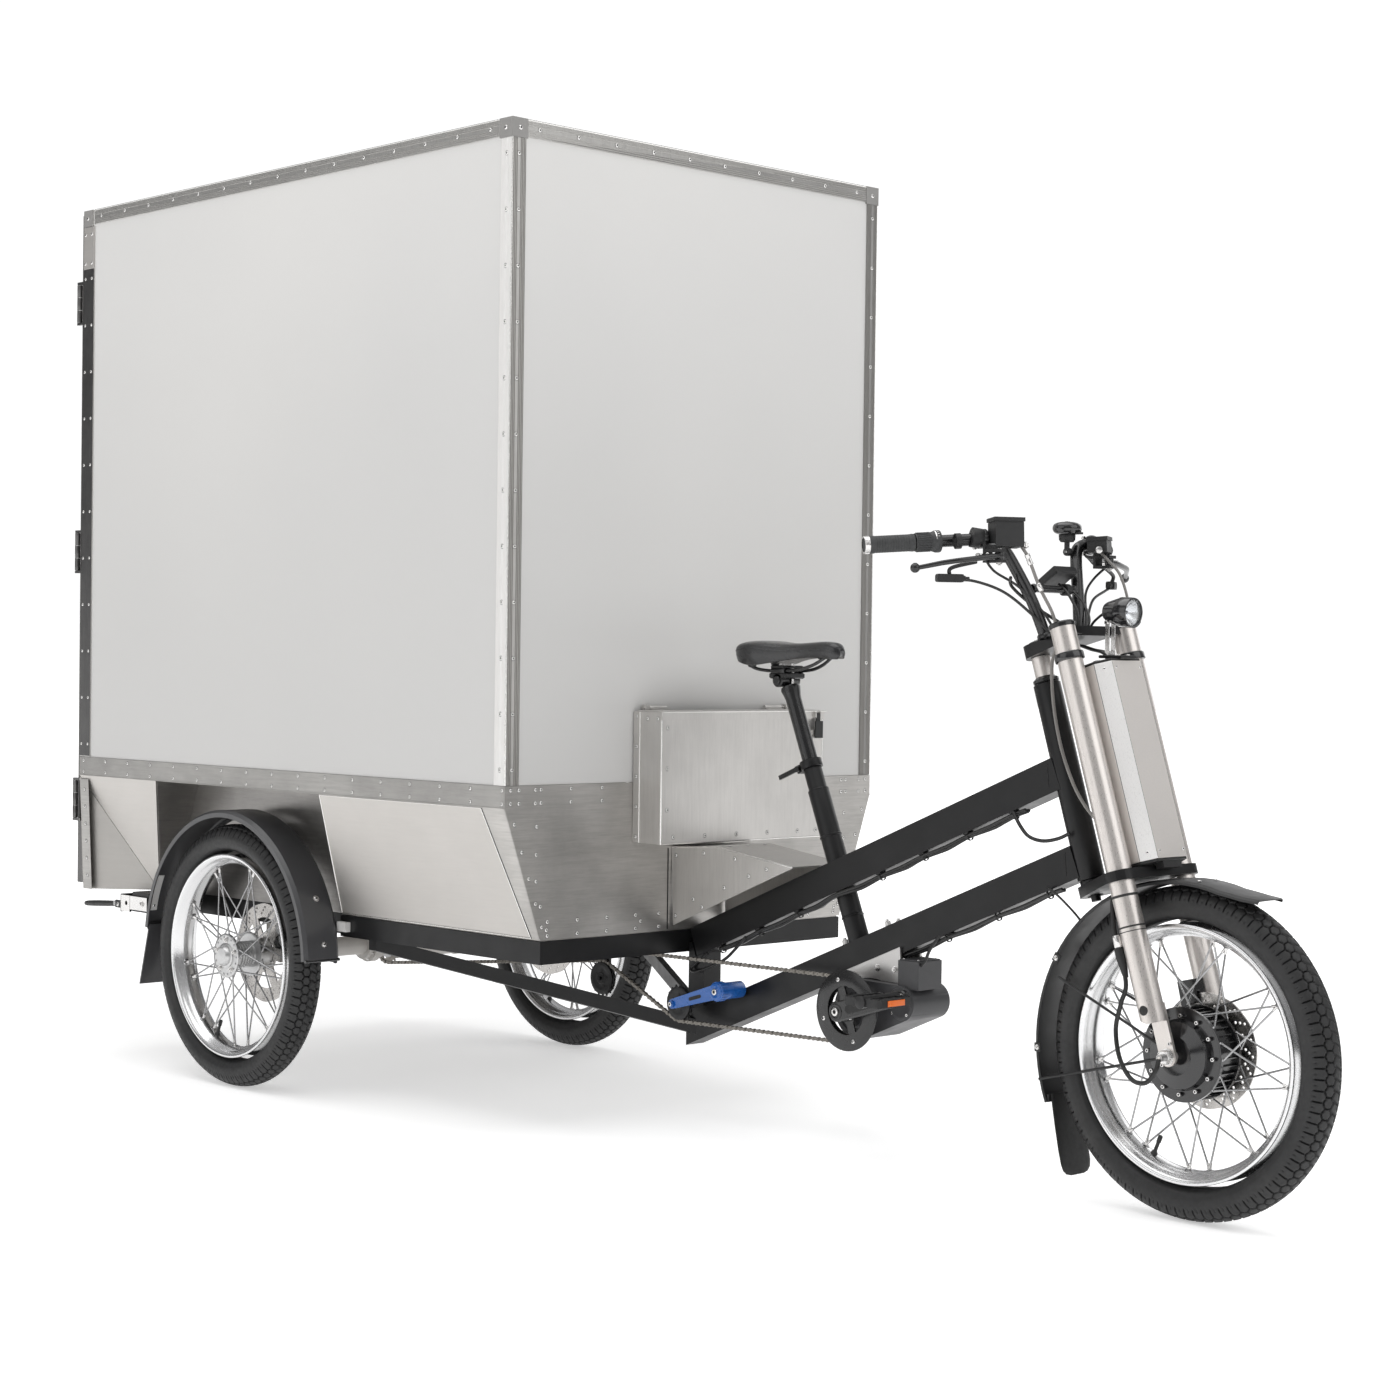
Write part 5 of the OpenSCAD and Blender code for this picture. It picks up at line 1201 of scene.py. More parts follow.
def make_housing_trim():
    """Folds, rivets and dark slit of the wedge-shaped electronics housing: the folds are bright metal as
    painted highlights, the slit a near-black plate of painted shade in the gap under the tool box.
    """
    s = Shape()
    side = 76
    for sign in (-1, 1):
        n = Y * sign
        outline = [(966, 571), (1097, 580), (1313, 552)]
        for (xa, za), (xb, zb) in zip(outline, outline[1:]):
            # bright tubes on the side folds: painted highlights
            s.tube([P(xa, side * sign, za + 0.8), P(xb, side * sign, zb + 0.8)], 1.5, "edge", 8)
        for x, z in ((978, 556), (1060, 566), (1150, 560), (1240, 545), (978, 432), (1030, 470),
                     (1056, 456), (1120, 500), (1190, 528)):
            s.rivet(P(x, (side) * sign, z), n, 4.0)
    # bright tube on the fold across the top: a painted highlight
    s.tube([P(1097, -side, 581.6), P(1097, side, 581.6)], 1.4, "edge", 8)
    # thin near-black plate: painted shade in the gap under the tool box
    s.block(P(1052, -60, 582.6), P(1058, 60, 583.2), "hole")
    for y in (-50, 0, 50):
        s.rivet(P(1110, y, 581.6), Z, 3.0)
    s.piece("housing_trim", "chassis", "skirt_steel", 30)


def shade_edges():
    """The edge profiles' corner caps and hinge ears are dark; their upright side flanges get a lighter
    copy of the aluminium as painted light, and their upright front flanges a darker copy as painted shade.
    """
    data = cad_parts["edge_profiles"].data
    for key in ("flange", "cap", "strip", "front_flange"):
        data.materials.append(M[key])
    for face in data.polygons:
        p = (face.center - AXLE) / MM
        y, z = abs(p.y), face.center.z / MM
        if z > ROOF + 0.3 or y > BOX_Y + 0.3 or p.x > BOX_X1 + 0.2:
            face.material_index = 2
        elif p.x < BOX_X0 - 0.2:
            face.material_index = 3
        # faces of the upright side flanges: painted light
        elif p.x > BOX_X1 - 36 and z < ROOF - 39 and abs(face.normal.y) > 0.9:
            face.material_index = 1
        # faces of the upright front flanges: painted shade
        elif y > BOX_Y - 35 and z < ROOF - 39 and face.normal.x > 0.9:
            face.material_index = 4


def shade_skirt():
    """The skirt's sheets are shaded by place: band, front skirt, arches and housing."""
    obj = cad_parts["skirt_plates"]
    keys = ("skirt", "band", "arch", "box")
    obj.data.materials.clear()
    for key in keys:
        obj.data.materials.append(M[key])
    picks = []
    for face in obj.data.polygons:
        p = face.center
        x, y, z = (p.x - AXLE.x) / MM, abs(p.y) / MM, p.z / MM
        if x > BOX_X1 + 0.2:
            picks.append(3)
        elif y > 517 and z > 660:
            picks.append(1)
        elif x < 348 and z < 668:
            picks.append(2)
        else:
            picks.append(0)
    obj.data.polygons.foreach_set("material_index", picks)


def shade_inserts():
    """Of the two facets behind the wheel, the one nearest the door gets a darker copy of the insert's
    steel as painted shade.
    """
    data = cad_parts["skirt_inserts"].data
    data.materials.append(M["facet"])
    for face in data.polygons:
        x, z = (face.center.x - AXLE.x) / MM, face.center.z / MM
        # painted shade: the facet nearest the door takes the darker steel
        if x < -400 and z < 560:
            face.material_index = 1


def make_box():
    shade_edges()
    shade_skirt()
    shade_inserts()
    make_edges()
    make_corner_caps()
    make_skirt_rivets()
    make_insert_edges()
    make_tool_box_trim()
    make_housing_trim()


# ---------------------------------------------------------------- drive train

CHAIN_Y = -75
CHAIN_PITCH = 12.7
AXLE_Z = 290
CRANK = (1466, AXLE_Z)
CRANK_ARM = 170
CRANK_TURN = 15
TENSION = (995, 254)
GUIDE = (756, 282)
SPROCKET_R, RING_R, PULLEY_R = 46.6, 62.7, 36.6
# centre, pitch radius and side of each wheel that the chain runs round
CHAIN_WHEELS = [((0, AXLE_Z), SPROCKET_R, -1), (CRANK, RING_R, -1), (TENSION, PULLEY_R, -1),
                (GUIDE, PULLEY_R, 1)]
TEETH = {"rear": 23, "crank": 31, "pulley": 18}


def run_angle(i):
    """Angle of the straight run of chain that leaves wheel i for the next one."""
    (ax, az), ar, a_side = CHAIN_WHEELS[i % 4]
    (bx, bz), br, b_side = CHAIN_WHEELS[(i + 1) % 4]
    dx, dz = bx - ax, bz - az
    return math.atan2(dz, dx) - math.asin((b_side * br - a_side * ar) / math.hypot(dx, dz))


def chain_path():
    """The closed centre line of the chain as (x, z) points, arcs in fine steps."""
    out = []
    for i, ((cx, cz), r, side) in enumerate(CHAIN_WHEELS):
        t0, t1 = run_angle(i - 1), run_angle(i)
        sweep = -((t0 - t1) % (2 * math.pi)) if side < 0 else (t1 - t0) % (2 * math.pi)
        steps = max(2, int(abs(sweep) / 0.04))
        for k in range(steps + 1):
            t = t0 + sweep * k / steps
            out.append((cx + side * r * math.sin(t), cz - side * r * math.cos(t)))
    return out


def spaced(path, pitch):
    """Points a pitch apart round a closed path; the pitch is adjusted to an even count."""
    lengths = [math.dist(path[i], path[(i + 1) % len(path)]) for i in range(len(path))]
    total = sum(lengths)
    count = 2 * round(total / pitch / 2)
    step, out, i = total / count, [], 0
    travelled = 0.0
    for k in range(count):
        target = k * step
        while travelled + lengths[i] < target:
            travelled += lengths[i]
            i += 1
        f = (target - travelled) / lengths[i]
        a, b = path[i], path[(i + 1) % len(path)]
        out.append((a[0] + (b[0] - a[0]) * f, a[1] + (b[1] - a[1]) * f))
    return out


def make_chain():
    """Link plates on both sides and a roller at every pin of the chain."""
    s = Shape()
    pins = spaced(chain_path(), CHAIN_PITCH)
    half = CHAIN_PITCH / 2
    shape = [(-half - 2.9, -2.6), (-half, -4.0), (-half + 2.6, -2.9), (0, -2.4), (half - 2.6, -2.9),
             (half, -4.0), (half + 2.9, -2.6), (half + 3.9, 0)]
    shape = shape + [(x, -z) for x, z in reversed(shape[:-1])] + [(-half - 3.9, 0)]
    for i, (x, z) in enumerate(pins):
        nx, nz = pins[(i + 1) % len(pins)]
        mid = P((x + nx) / 2, CHAIN_Y, (z + nz) / 2)
        t = Vector((nx - x, 0, nz - z)).normalized()
        up = t.cross(Y)
        offset = 3.0 if i % 2 else 1.9
        for side in (-1, 1):
            at = mid + Y * (offset * side - 0.45) * MM
            s.prism([at + t * px * MM + up * pz * MM for px, pz in shape], Y * 0.9 * MM, "chain")
        s.lathe(P(x, CHAIN_Y, z), Y, [(0, -4.1), (1.8, -4.1), (1.8, -1.5), (3.9, -1.5), (3.9, 1.5),
                                      (1.8, 1.5), (1.8, 4.1), (0, 4.1)], "chain", 10)
    s.piece("roller_chain", "chassis", "chain_steel", 35, ("drive_chain",))


def tooth_outline(teeth, pitch_r):
    """Outline of a toothed wheel: eight points for each tooth."""
    out = []
    shape = ((-0.5, 2.4), (-0.40, 2.1), (-0.33, 0.2), (-0.22, -3.1), (0, -4.0), (0.22, -3.1), (0.33, 0.2),
             (0.40, 2.1))
    for i in range(teeth):
        for f, rise in shape:
            a = 2 * math.pi * (i + f) / teeth
            out.append(((pitch_r + rise) * math.cos(a), (pitch_r + rise) * math.sin(a)))
    return out


def toothed(s, at, teeth, pitch_r, bore, thick, key, windows=0, inner=0.0, outer=0.0):
    """A toothed wheel with round windows, in the XZ plane."""
    holes = [circle(bore, 32)]
    for i in range(windows):
        a = 2 * math.pi * (i + 0.5) / windows
        mid = (inner + outer) / 2
        holes.append(circle((outer - inner) / 2, 20, mid * math.cos(a), mid * math.sin(a)))
    s.add(*flat_plate(tooth_outline(teeth, pitch_r), holes, thick, X, Z, at), key)


def make_chainring():
    """Toothed ring, guard disc, spider, lock ring and bolts."""
    s = Shape()
    at = P(CRANK[0], CHAIN_Y, CRANK[1])
    toothed(s, at, TEETH["crank"], RING_R, 44, 2.2, "black")
    guard = at - Y * 6.5 * MM
    s.lathe(guard, Y, [(47, -1.4), (76.6, -1.4), (78, -0.6), (78, 0.6), (76.6, 1.4), (47, 1.4),
                       (47, -1.4)], "black", 96)
    spider = []
    for i in range(4):
        a = math.radians(90 * i + 20)
        spider += turned([(17, -13), (28, -9), (55, -8.5), (62, -6.5), (66, 0), (62, 6.5), (55, 8.5),
                          (28, 9)], a)
    s.add(*flat_plate(spider, [circle(12.7, 32)], 3.6, X, Z, guard + Y * 3.2 * MM), "black")
    s.lathe(guard, Y, [(12.7, -3), (19, -3), (21, 0), (21, 3), (19, 14), (12.7, 14), (12.7, -3)], "black",
            40)
    for i in range(12):
        out = radial(30 * i)
        s.box_at(guard - Y * 2.4 * MM + out * 18.5 * MM, out, out.cross(Y), Y, (2.4, 1.6, 1.8), "black",
                 0.4)
    for i in range(4):
        out = radial(90 * i + 20)
        s.bolt(guard + out * 61 * MM - Y * 1.4 * MM, -Y, 4.6, "button", 4.2)
    s.piece("chainring_toothed", "ring", "caliper_black", 35, ("chainring",))


def make_sprocket():
    """Rear sprocket with round windows and its hub."""
    s = Shape()
    at = P(0, CHAIN_Y, AXLE_Z)
    toothed(s, at, TEETH["rear"], SPROCKET_R, 26, 2.2, "chain", 5, 29, 40)
    s.lathe(at, Y, [(11, -26), (24, -26), (26, -24), (26, -4), (34, -3), (34, 3), (26, 4), (26, 18),
                    (11, 18), (11, -26)], "zinc", 40)
    s.piece("rear_sprocket_toothed", "sprocket", "chain_steel", 35, ("rear_sprocket",))


def make_pulley(name, node, body, centre, bore):
    """Toothed chain pulley between two ribbed side discs, with its bearing."""
    s = Shape()
    at = P(centre[0], CHAIN_Y, centre[1])
    toothed(s, at, TEETH["pulley"], PULLEY_R, 12, 2.4, "plastic")
    for side in (-1, 1):
        face = at + Y * 4.6 * side * MM
        s.lathe(face, Y * side, [(bore, 0), (33.4, 0), (34, 0.5), (34, 1.1), (33, 1.6), (24, 1.9),
                                 (22, 1.2), (13, 1.2), (11, 2.6), (bore, 2.6)], "plastic", 48)
        for i in range(5):
            out = radial(72 * i + 9)
            s.lathe(face + out * 17.5 * MM + Y * side * 1.2 * MM, Y * side,
                    [(3.4, 0), (3.4, 0.3), (0, 0.3)], "hole", 14)
    s.lathe(at, Y, [(bore, -4.6), (12, -4.6), (12, 4.6), (bore, 4.6), (bore, -4.6)], "bolt", 24)
    s.piece(name, body, "black_plastic", 35, (node,))


def arm_outline(r_big, r_small, length):
    """Outline of a crank-like arm along +X: round ends joined by straight sides."""
    lean = math.asin((r_big - r_small) / length)
    out = []
    for k in range(13):
        a = math.pi / 2 - lean + (math.pi + 2 * lean) * k / 12
        out.append((r_big * math.cos(a), r_big * math.sin(a)))
    for k in range(13):
        a = -math.pi / 2 - lean + (math.pi + 2 * lean) * k / 12
        out.append((length + r_small * math.cos(a), r_small * math.sin(a)))
    return out


def make_cranks():
    """Forged crank arms with grooves, caps and pinch bolts, and the spindle."""
    s = Shape()
    centre = P(CRANK[0], 0, CRANK[1])
    s.lathe(centre, Y, [(0, -97), (12, -97), (12, 97), (0, 97)], "bolt", 40)
    for side, turn in ((-1, CRANK_TURN), (1, CRANK_TURN + 180)):
        u, v = radial(turn), tangent_at(turn)
        base = centre + Y * side * 97.5 * MM
        outline = arm_outline(20, 14, CRANK_ARM)
        s.prism([base + u * x * MM + v * z * MM for x, z in outline], Y * side * 13 * MM, "black",
                2.8 * MM)
        top = base + Y * side * 13 * MM
        groove_line = arm_outline(9, 6, 96)
        s.prism([top + u * (x + 34) * MM + v * z * MM for x, z in groove_line], Y * side * 0.5 * MM,
                "hole", 0.2 * MM)
        s.lathe(top, Y * side, [(16, 0), (15.4, 1.4), (13, 2.0), (11, 1.4), (10.5, 0.4), (0, 0.4)],
                "black", 36)
        s.bolt(top + Y * side * 0.4 * MM, Y * side, 8.0, "cap", 3.6)
        s.bolt(base + u * 30 * MM - v * 17.5 * MM + Y * side * 6.5 * MM, -v, 3.2, "cap", 3)
        pedal = base + u * CRANK_ARM * MM
        s.lathe(pedal + Y * side * 13 * MM, Y * side, [(9.5, 0), (9.5, 0.7), (5, 0.7)], "bolt", 20)
    s.piece("crank_arms_forged", "crank", "caliper_black", 38, ("crank_arms",))


def make_pedal(name, x, z, side):
    """Resin platform pedal: ribbed frame, grip pins, orange reflectors and a steel spindle."""
    s = Shape()

    def at(dx, dy, dz):
        return P(x + dx, side * dy, z + dz)

    outline = [(-46, 132), (-40, 126), (40, 126), (46, 132), (47, 172), (46, 212), (40, 218), (-40, 218),
               (-46, 212), (-47, 172)]
    window = [[(x0, 137), (x0 + 22, 137), (x0 + 22, 207), (x0, 207)] for x0 in (-34, 12)]
    outer_loop = [(px, py * side) for px, py in outline]
    holes = [[(px, py * side) for px, py in w] for w in window]
    centre = P(x, 0, z)
    s.add(*flat_plate(outer_loop, holes, 15, X, Y, centre), "plastic")
    for y in (150, 172, 194):
        for dx in (-23, 23):
            s.box_at(at(dx, y, 0), X, Y, Z, (11.5, 1.6, 6.2), "plastic", 0.5)
    s.lathe(centre, Y * side, [(0, 121), (12.5, 121), (12.5, 127), (11, 130), (11, 214), (12, 216),
                               (12, 221), (9, 223), (0, 223)], "plastic", 28)
    s.lathe(centre, Y * side, [(0, 98.6), (4.9, 98.6), (4.9, 110), (7.5, 111), (7.5, 117), (6, 118),
                               (6, 121), (0, 121)], "bolt", 20)
    for px in (-40, -22, 0, 22, 40):
        for py in (131, 213):
            for up in (-1, 1):
                s.lathe(at(px, py, 7.4 * up), Z * up, [(2.3, 0), (1.9, 2.0), (1.1, 2.4), (0, 2.4)],
                        "plastic", 8)
    for face in (-1, 1):
        y0, y1 = sorted((150 * side, 196 * side))
        s.prism([P(x + 46.4 * face, y, z + up) for y, up in ((y0, -5.5), (y1, -5.5), (y1, 5.5),
                                                             (y0, 5.5))], X * face * 1.8 * MM, "orange",
                0.6 * MM)
    s.piece(name + "_pedal_platform", "pedal_" + name, "black_plastic", 35, (name + "_pedal",))


def dress_gearbox():
    """Cover seam, ribs and bolts of the gearbox, its mounting plate bolts and the cable box."""
    s = Shape()
    centre = P(CRANK[0], 0, CRANK[1])
    for side in (-1, 1):
        face = centre + Y * side * 52 * MM
        # the right cover is open round the crank's hub
        inmost = 0 if side > 0 else 31
        s.lathe(face, Y * side, [(55.5, -0.2), (54.5, 1.6), (47, 2.2), (45, 1.0), (36, 1.6), (33, 4.5),
                                 (inmost, 4.5)], "gear", 64)
        for i in range(9):
            out = radial(40 * i + 10)
            s.bolt(face + out * 50.5 * MM + Y * side * 1.5 * MM, Y * side, 2.7, "cap", 2.6)
            s.box_at(face + out * 41 * MM + Y * side * 1.2 * MM, out, out.cross(Y), Y, (5.5, 1.3, 1.6),
                     "gear", 0.4)
        nose = P(CRANK[0] + 112, side * 52, CRANK[1] + 22)
        s.lathe(nose, Y * side, [(31, -0.2), (30, 1.6), (24, 2.0), (22, 0.8), (0, 0.8)], "gear", 40)
        for i in range(4):
            s.bolt(nose + radial(90 * i + 45) * 27 * MM + Y * side * 1.5 * MM, Y * side, 2.7, "cap", 2.6)
    s.lathe(centre, Y, [(59.4, -3), (60.6, -2.4), (60.6, 2.4), (59.4, 3)], "gear", 64, start=120,
            sweep=130)
    lid_x, lid_z = CRANK[0] + 152, CRANK[1] + 104
    s.prism([P(lid_x - 50, -44, lid_z), P(lid_x - 2, -44, lid_z), P(lid_x - 2, 18, lid_z),
             P(lid_x - 50, 18, lid_z)], Z * 2.2 * MM, "gear", 0.8 * MM)
    for dx in (-44, -8):
        for y in (-38, 12):
            s.bolt(P(lid_x + dx, y, lid_z + 2.2), Z, 2.4, "button", 2)
    for x, z in ((1440, 352), (1500, 372), (1545, 372)):
        for side in (-1, 1):
            s.bolt(P(x, 31 * side, z), Y * side, 5.0, "hex", 5)
    base = P(968, 0, 227)
    for t in (470, 590):
        for y in (-16, 16):
            s.bolt(base + BEAM_ALONG * t * MM + BEAM_UP * 9.2 * MM + Y * y * MM, BEAM_UP, 3.6, "cap", 4)
    s.piece("gearbox_details", "chassis", "gear_grey", 35)


def dress_tensioner():
    """Knurled spring housing, slot and bolts on the blue tensioner arm."""
    s = Shape()
    pivot, tip = (1124, 292), TENSION
    d = Vector((tip[0] - pivot[0], 0, tip[1] - pivot[1])).normalized()
    n = d.cross(Y)
    face = P(pivot[0], -98, pivot[1])
    s.lathe(P(pivot[0], 0, pivot[1]), Y, [(17.1, -98), (19, -97), (19, -80), (17.1, -79)], "blue", 40)
    for i in range(20):
        out = radial(18 * i)
        s.box_at(P(pivot[0], -88.5, pivot[1]) + out * 19 * MM, out, out.cross(Y), Y, (0.9, 1.5, 8),
                 "blue", 0.3)
    s.lathe(P(pivot[0], -100, pivot[1]), -Y, [(17, 0), (16, 2), (12, 2.6), (10, 1.4), (0, 1.4)], "blue",
            36)
    s.bolt(P(pivot[0], -101.4, pivot[1]), -Y, 6.5, "cap", 3)
    slot_at = face + d * 64 * MM - Y * 0.1 * MM
    # the slot is a thin near-black plate: painted shade in the opening
    loop = [slot_at + d * (x * MM) + n * (z * MM) for x, z in
            [(15 + 3.6 * math.cos(a), 3.6 * math.sin(a)) for a in np.linspace(-1.57, 1.57, 7)] +
            [(-15 - 3.6 * math.cos(a), 3.6 * math.sin(a)) for a in np.linspace(1.57, -1.57, 7)]]
    s.prism(loop, -Y * 0.35 * MM, "hole")
    s.bolt(P(tip[0], -102, tip[1]), -Y, 4.6, "cap", 3)
    s.piece("tensioner_details", "tensioner", "tension_blue", 35)


def make_drive():
    make_chain()
    make_chainring()
    make_sprocket()
    make_pulley("tensioner_pulley_toothed", "tensioner_pulley", "tension_wheel", TENSION, 4)
    make_pulley("guide_pulley_toothed", "guide_pulley", "guide_wheel", GUIDE, 4.1)
    make_cranks()
    reach = radial(CRANK_TURN) * CRANK_ARM
    for name, side in (("right", -1), ("left", 1)):
        make_pedal(name, CRANK[0] - side * reach.x, CRANK[1] - side * reach.z, side)
    dress_gearbox()
    dress_tensioner()


# ---------------------------------------------------------------- seat

def ribbon(s, points, wide, thick, across, key, sides=14):
    """A flattened bar along points: half sizes in millimetres per point, wide along one direction."""
    points = [Vector(p) for p in points]
    n = len(points)
    verts = []
    for i, p in enumerate(points):
        t = (points[min(i + 1, n - 1)] - points[max(i - 1, 0)]).normalized()
        u = (Vector(across) - t * Vector(across).dot(t)).normalized()
        w = t.cross(u)
        for k in range(sides):
            a = 2 * math.pi * k / sides
            c, d = math.cos(a), math.sin(a)
            x = math.copysign(abs(c) ** 0.6, c) * wide[i]
            y = math.copysign(abs(d) ** 0.6, d) * thick[i]
            verts.append(p + u * x * MM + w * y * MM)
    return s.skin(verts, sides, key)


# along the saddle: x, half width, top, lower edge
SADDLE_ROWS = [
    (1111, 24, 985, 973), (1114, 40, 989, 967), (1122, 53, 993, 960), (1136, 60, 996.5, 953),
    (1156, 62, 998, 948.5), (1180, 58, 997.5, 949), (1205, 48, 995.5, 953), (1232, 36, 993.5, 958),
    (1262, 27, 993.5, 962), (1295, 23, 995.5, 964), (1325, 21, 997, 964), (1348, 18.5, 995, 963),
    (1360, 14, 990, 964), (1366, 7, 984, 968),
]
SEAM_DROP = 15


def saddle_row(x, half, top, low):
    """One cross-section of the saddle: crowned top, soft shoulder, wing and hollow underside."""
    side = top - SEAM_DROP
    loop = []
    for k in range(17):
        a = math.pi * k / 16
        c = math.cos(a)
        loop.append(P(x, math.copysign(abs(c) ** 0.72, c) * half,
                      side + (top - side) * math.sin(a) ** 0.75))
    loop += [P(x, -half * 0.99, side - (side - low) * 0.5), P(x, -half * 0.93, low + 1),
             P(x, -half * 0.86, low)]
    loop += [P(x, -half * 0.6, low + 3), P(x, 0, low + 5), P(x, half * 0.6, low + 3),
             P(x, half * 0.86, low)]
    return loop + [P(x, half * 0.93, low + 1), P(x, half * 0.99, side - (side - low) * 0.5)]


def make_saddle():
    """Padded cover with its seams, rail sockets and rubber springs."""
    rows = [Vector((x * MM, half * MM, top * MM)) for x, half, top, _ in SADDLE_ROWS]
    lows = [Vector((x * MM, low * MM, 0)) for x, _, _, low in SADDLE_ROWS]
    sections = [saddle_row(a.x / MM, a.y / MM, a.z / MM, b.y / MM)
                for a, b in zip(curve_points(rows, 4), curve_points(lows, 4))]
    # from front to rear, so that the skin faces outwards
    verts = [v for row in reversed(sections) for v in row]
    cover = Shape().skin(verts, len(sections[0]), "saddle")
    cover = cover.piece("saddle_cover", "seat", "saddle_black", 80, ("saddle",))
    s = Shape()
    for side in (-1, 1):
        seam = [P(x, side * (half + 0.2), top - SEAM_DROP - 1) for x, half, top, _ in SADDLE_ROWS[1:-1]]
        s.tube(curve_points(seam, 5), 0.9, "saddle", 8)
        # rear rail sockets and the rubber springs above them
        s.box_at(P(1136, side * 38, 959), X, Y, Z, (14, 9, 5), "plastic", 2)
        s.lathe(P(1150, side * 34, 944), Z, [(7, 0), (9, 4), (7.5, 8), (9, 12), (7, 15)], "rubber", 20)
    s.box_at(P(1328, 0, 966), X, Y, Z, (16, 14, 4), "plastic", 2)
    s.piece("saddle_trim", "seat", "black_plastic")


def make_seatpost():
    """Post, clamp head, rails and clamp bolts."""
    s = Shape()
    s.lathe(on_post(0, 0, 0), SEAT_UP, [(0, -130), (15.2, -130), (15.8, -128), (15.8, 236), (17.5, 246),
                                        (20, 257), (19, 262), (0, 262)], "black", 40)
    head = P(1214, 0, 919)
    s.lathe(head, Y, [(0, -27), (12.5, -27), (14, -25), (14, 25), (12.5, 27), (0, 27)], "black", 32)
    s.box_at(P(1215, 0, 928), X, Y, Z, (23, 27, 6), "black", 2.5)
    s.box_at(P(1215, 0, 945.5), X, Y, Z, (19, 27, 3), "black", 1.6)
    for side in (-1, 1):
        # grooved rail cradles
        s.lathe(P(1196, side * 22, 938), X, [(6.2, 0), (7, 1.5), (7, 36.5), (6.2, 38)], "black", 20)
        rail = [(1130, -40, 962), (1150, -30, 944), (1180, -22, 938), (1215, -22, 938), (1262, -20, 940),
                (1300, -14, 950), (1330, -9, 966)]
        s.tube(curve_points([P(x, y * -side, z) for x, y, z in rail], 8), 3.5, "black", 14)
        s.lathe(head + Y * side * 27 * MM, Y * side, [(9, 0), (9, 2), (7.5, 3.2), (0, 3.2)], "black", 24)
    for x in (1200, 1231):
        s.lathe(P(x, 0, 908), Z, [(3, 0), (3, 42)], "bolt", 12)
        s.bolt(P(x, 0, 948.5), Z, 5, "cap", 5)
    s.bolt(P(1196, 0, 912), (-0.5, 0, -1), 5, "hex", 5)
    s.piece("seatpost_turned", "seat", "frame_black", 35, ("seatpost",))


def make_seat_collar():
    """Rings on the seat tube's collar and the weld rings at the beams."""
    s = Shape()
    for up in (89.5, 104.9):
        s.lathe(on_post(0, 0, up), SEAT_UP, [(21.6, -0.4), (22.3, 0), (21.6, 0.4)], "black", 40)
    s.lathe(on_post(0, 0, 40), SEAT_UP, [(18.5, 0), (21.2, 0), (21.2, 3), (20.4, 4.5), (18.5, 5)],
            "frame", 40)
    s.bolt(on_post(-28, 9.2, 97.3), Y, 5, "button", 4)
    # rings of weld where the seat tube meets the beams
    for up, tall in ((-53, 6), (-122, 6), (-218, 6)):
        s.lathe(on_post(0, 0, up), SEAT_UP, [(20.6, -tall / 2), (22.4, -1), (22.4, 1), (20.6, tall / 2)],
                "frame", 40)
    s.piece("seat_tube_rings", "chassis", "frame_black")


# ---------------------------------------------------------------- handlebar

BAR_POINTS = [(1912.5, 50, 1006.5), (1907, 54, 1026), (1893, 68, 1075), (1868, 92, 1140),
              (1856, 108, 1168), (1852, 126, 1178), (1850, 142, 1180), (1815, 198, 1176),
              (1733, 330, 1165)]
BAR_END = (1733, 330, 1165)
# where the brake levers turn
LEVER_X, LEVER_Y = 1893, 158


def mirrored(side, points):
    """Points on one side of the middle plane, from points given for the left side."""
    return [P(x, side * y, z) for x, y, z in points]


def bar_frame(side):
    """The end of the bar on one side and the direction from there inwards."""
    end, bend = P(BAR_END[0], side * BAR_END[1], BAR_END[2]), P(1815, side * 198, 1176)
    return end, (bend - end).normalized()


def make_handlebar():
    """The bent bar on both sides, its feet and the cross bar."""
    s = Shape()
    for side in (-1, 1):
        s.tube(curve_points(mirrored(side, BAR_POINTS), 7), 11, "black", 28)
        foot = P(1912.5, side * 50, 1006.5)
        s.lathe(foot, STEER_UP, [(11, -2), (14.5, -2), (14.5, 4), (12, 7), (11, 7)], "black", 28)
    s.tube([P(1890, -62, 1094), P(1890, 62, 1094)], 7, "black", 22)
    for y in (-58, 58):
        s.lathe(P(1890, y, 1094), Y, [(7, -4), (9, -1), (9, 1), (7, 4)], "black", 22)
    s.piece("handlebar_tube", "steering", "frame_black", 40, ("handlebar",))


def grip_profile(length, ribs):
    """A grip's (radius, along) pairs: a flange at each end and ribs between."""
    rows = [(11, 3), (15.6, 3), (16, 5), (15.9, 12)]
    for i in range(ribs):
        at = 14 + (length - 22) * i / ribs
        rows += [(15.4, at), (14.7, at + 0.5), (14.7, at + 1.2), (15.2, at + 1.7)]
    return rows + [(15.6, length - 6), (16, length - 4), (15.6, length), (11, length)]


def make_grips():
    """Ribbed sleeves with an end plug and a clamp ring."""
    s = Shape()
    for side, length, ribs in ((-1, 86, 13), (1, 124, 20)):
        end, inward = bar_frame(side)
        s.lathe(end, inward, grip_profile(length, ribs), "grip", 36)
        s.lathe(end, inward, [(12.6, -6), (15.4, -6), (16, -5), (16, 3), (12.6, 3)], "bolt", 36)
        s.lathe(end, inward, [(0, -5), (9, -4.6), (12.6, -4)], "grip", 28)
    s.piece("grip_sleeves", "steering", "black_rubber", 30, ("grips",))


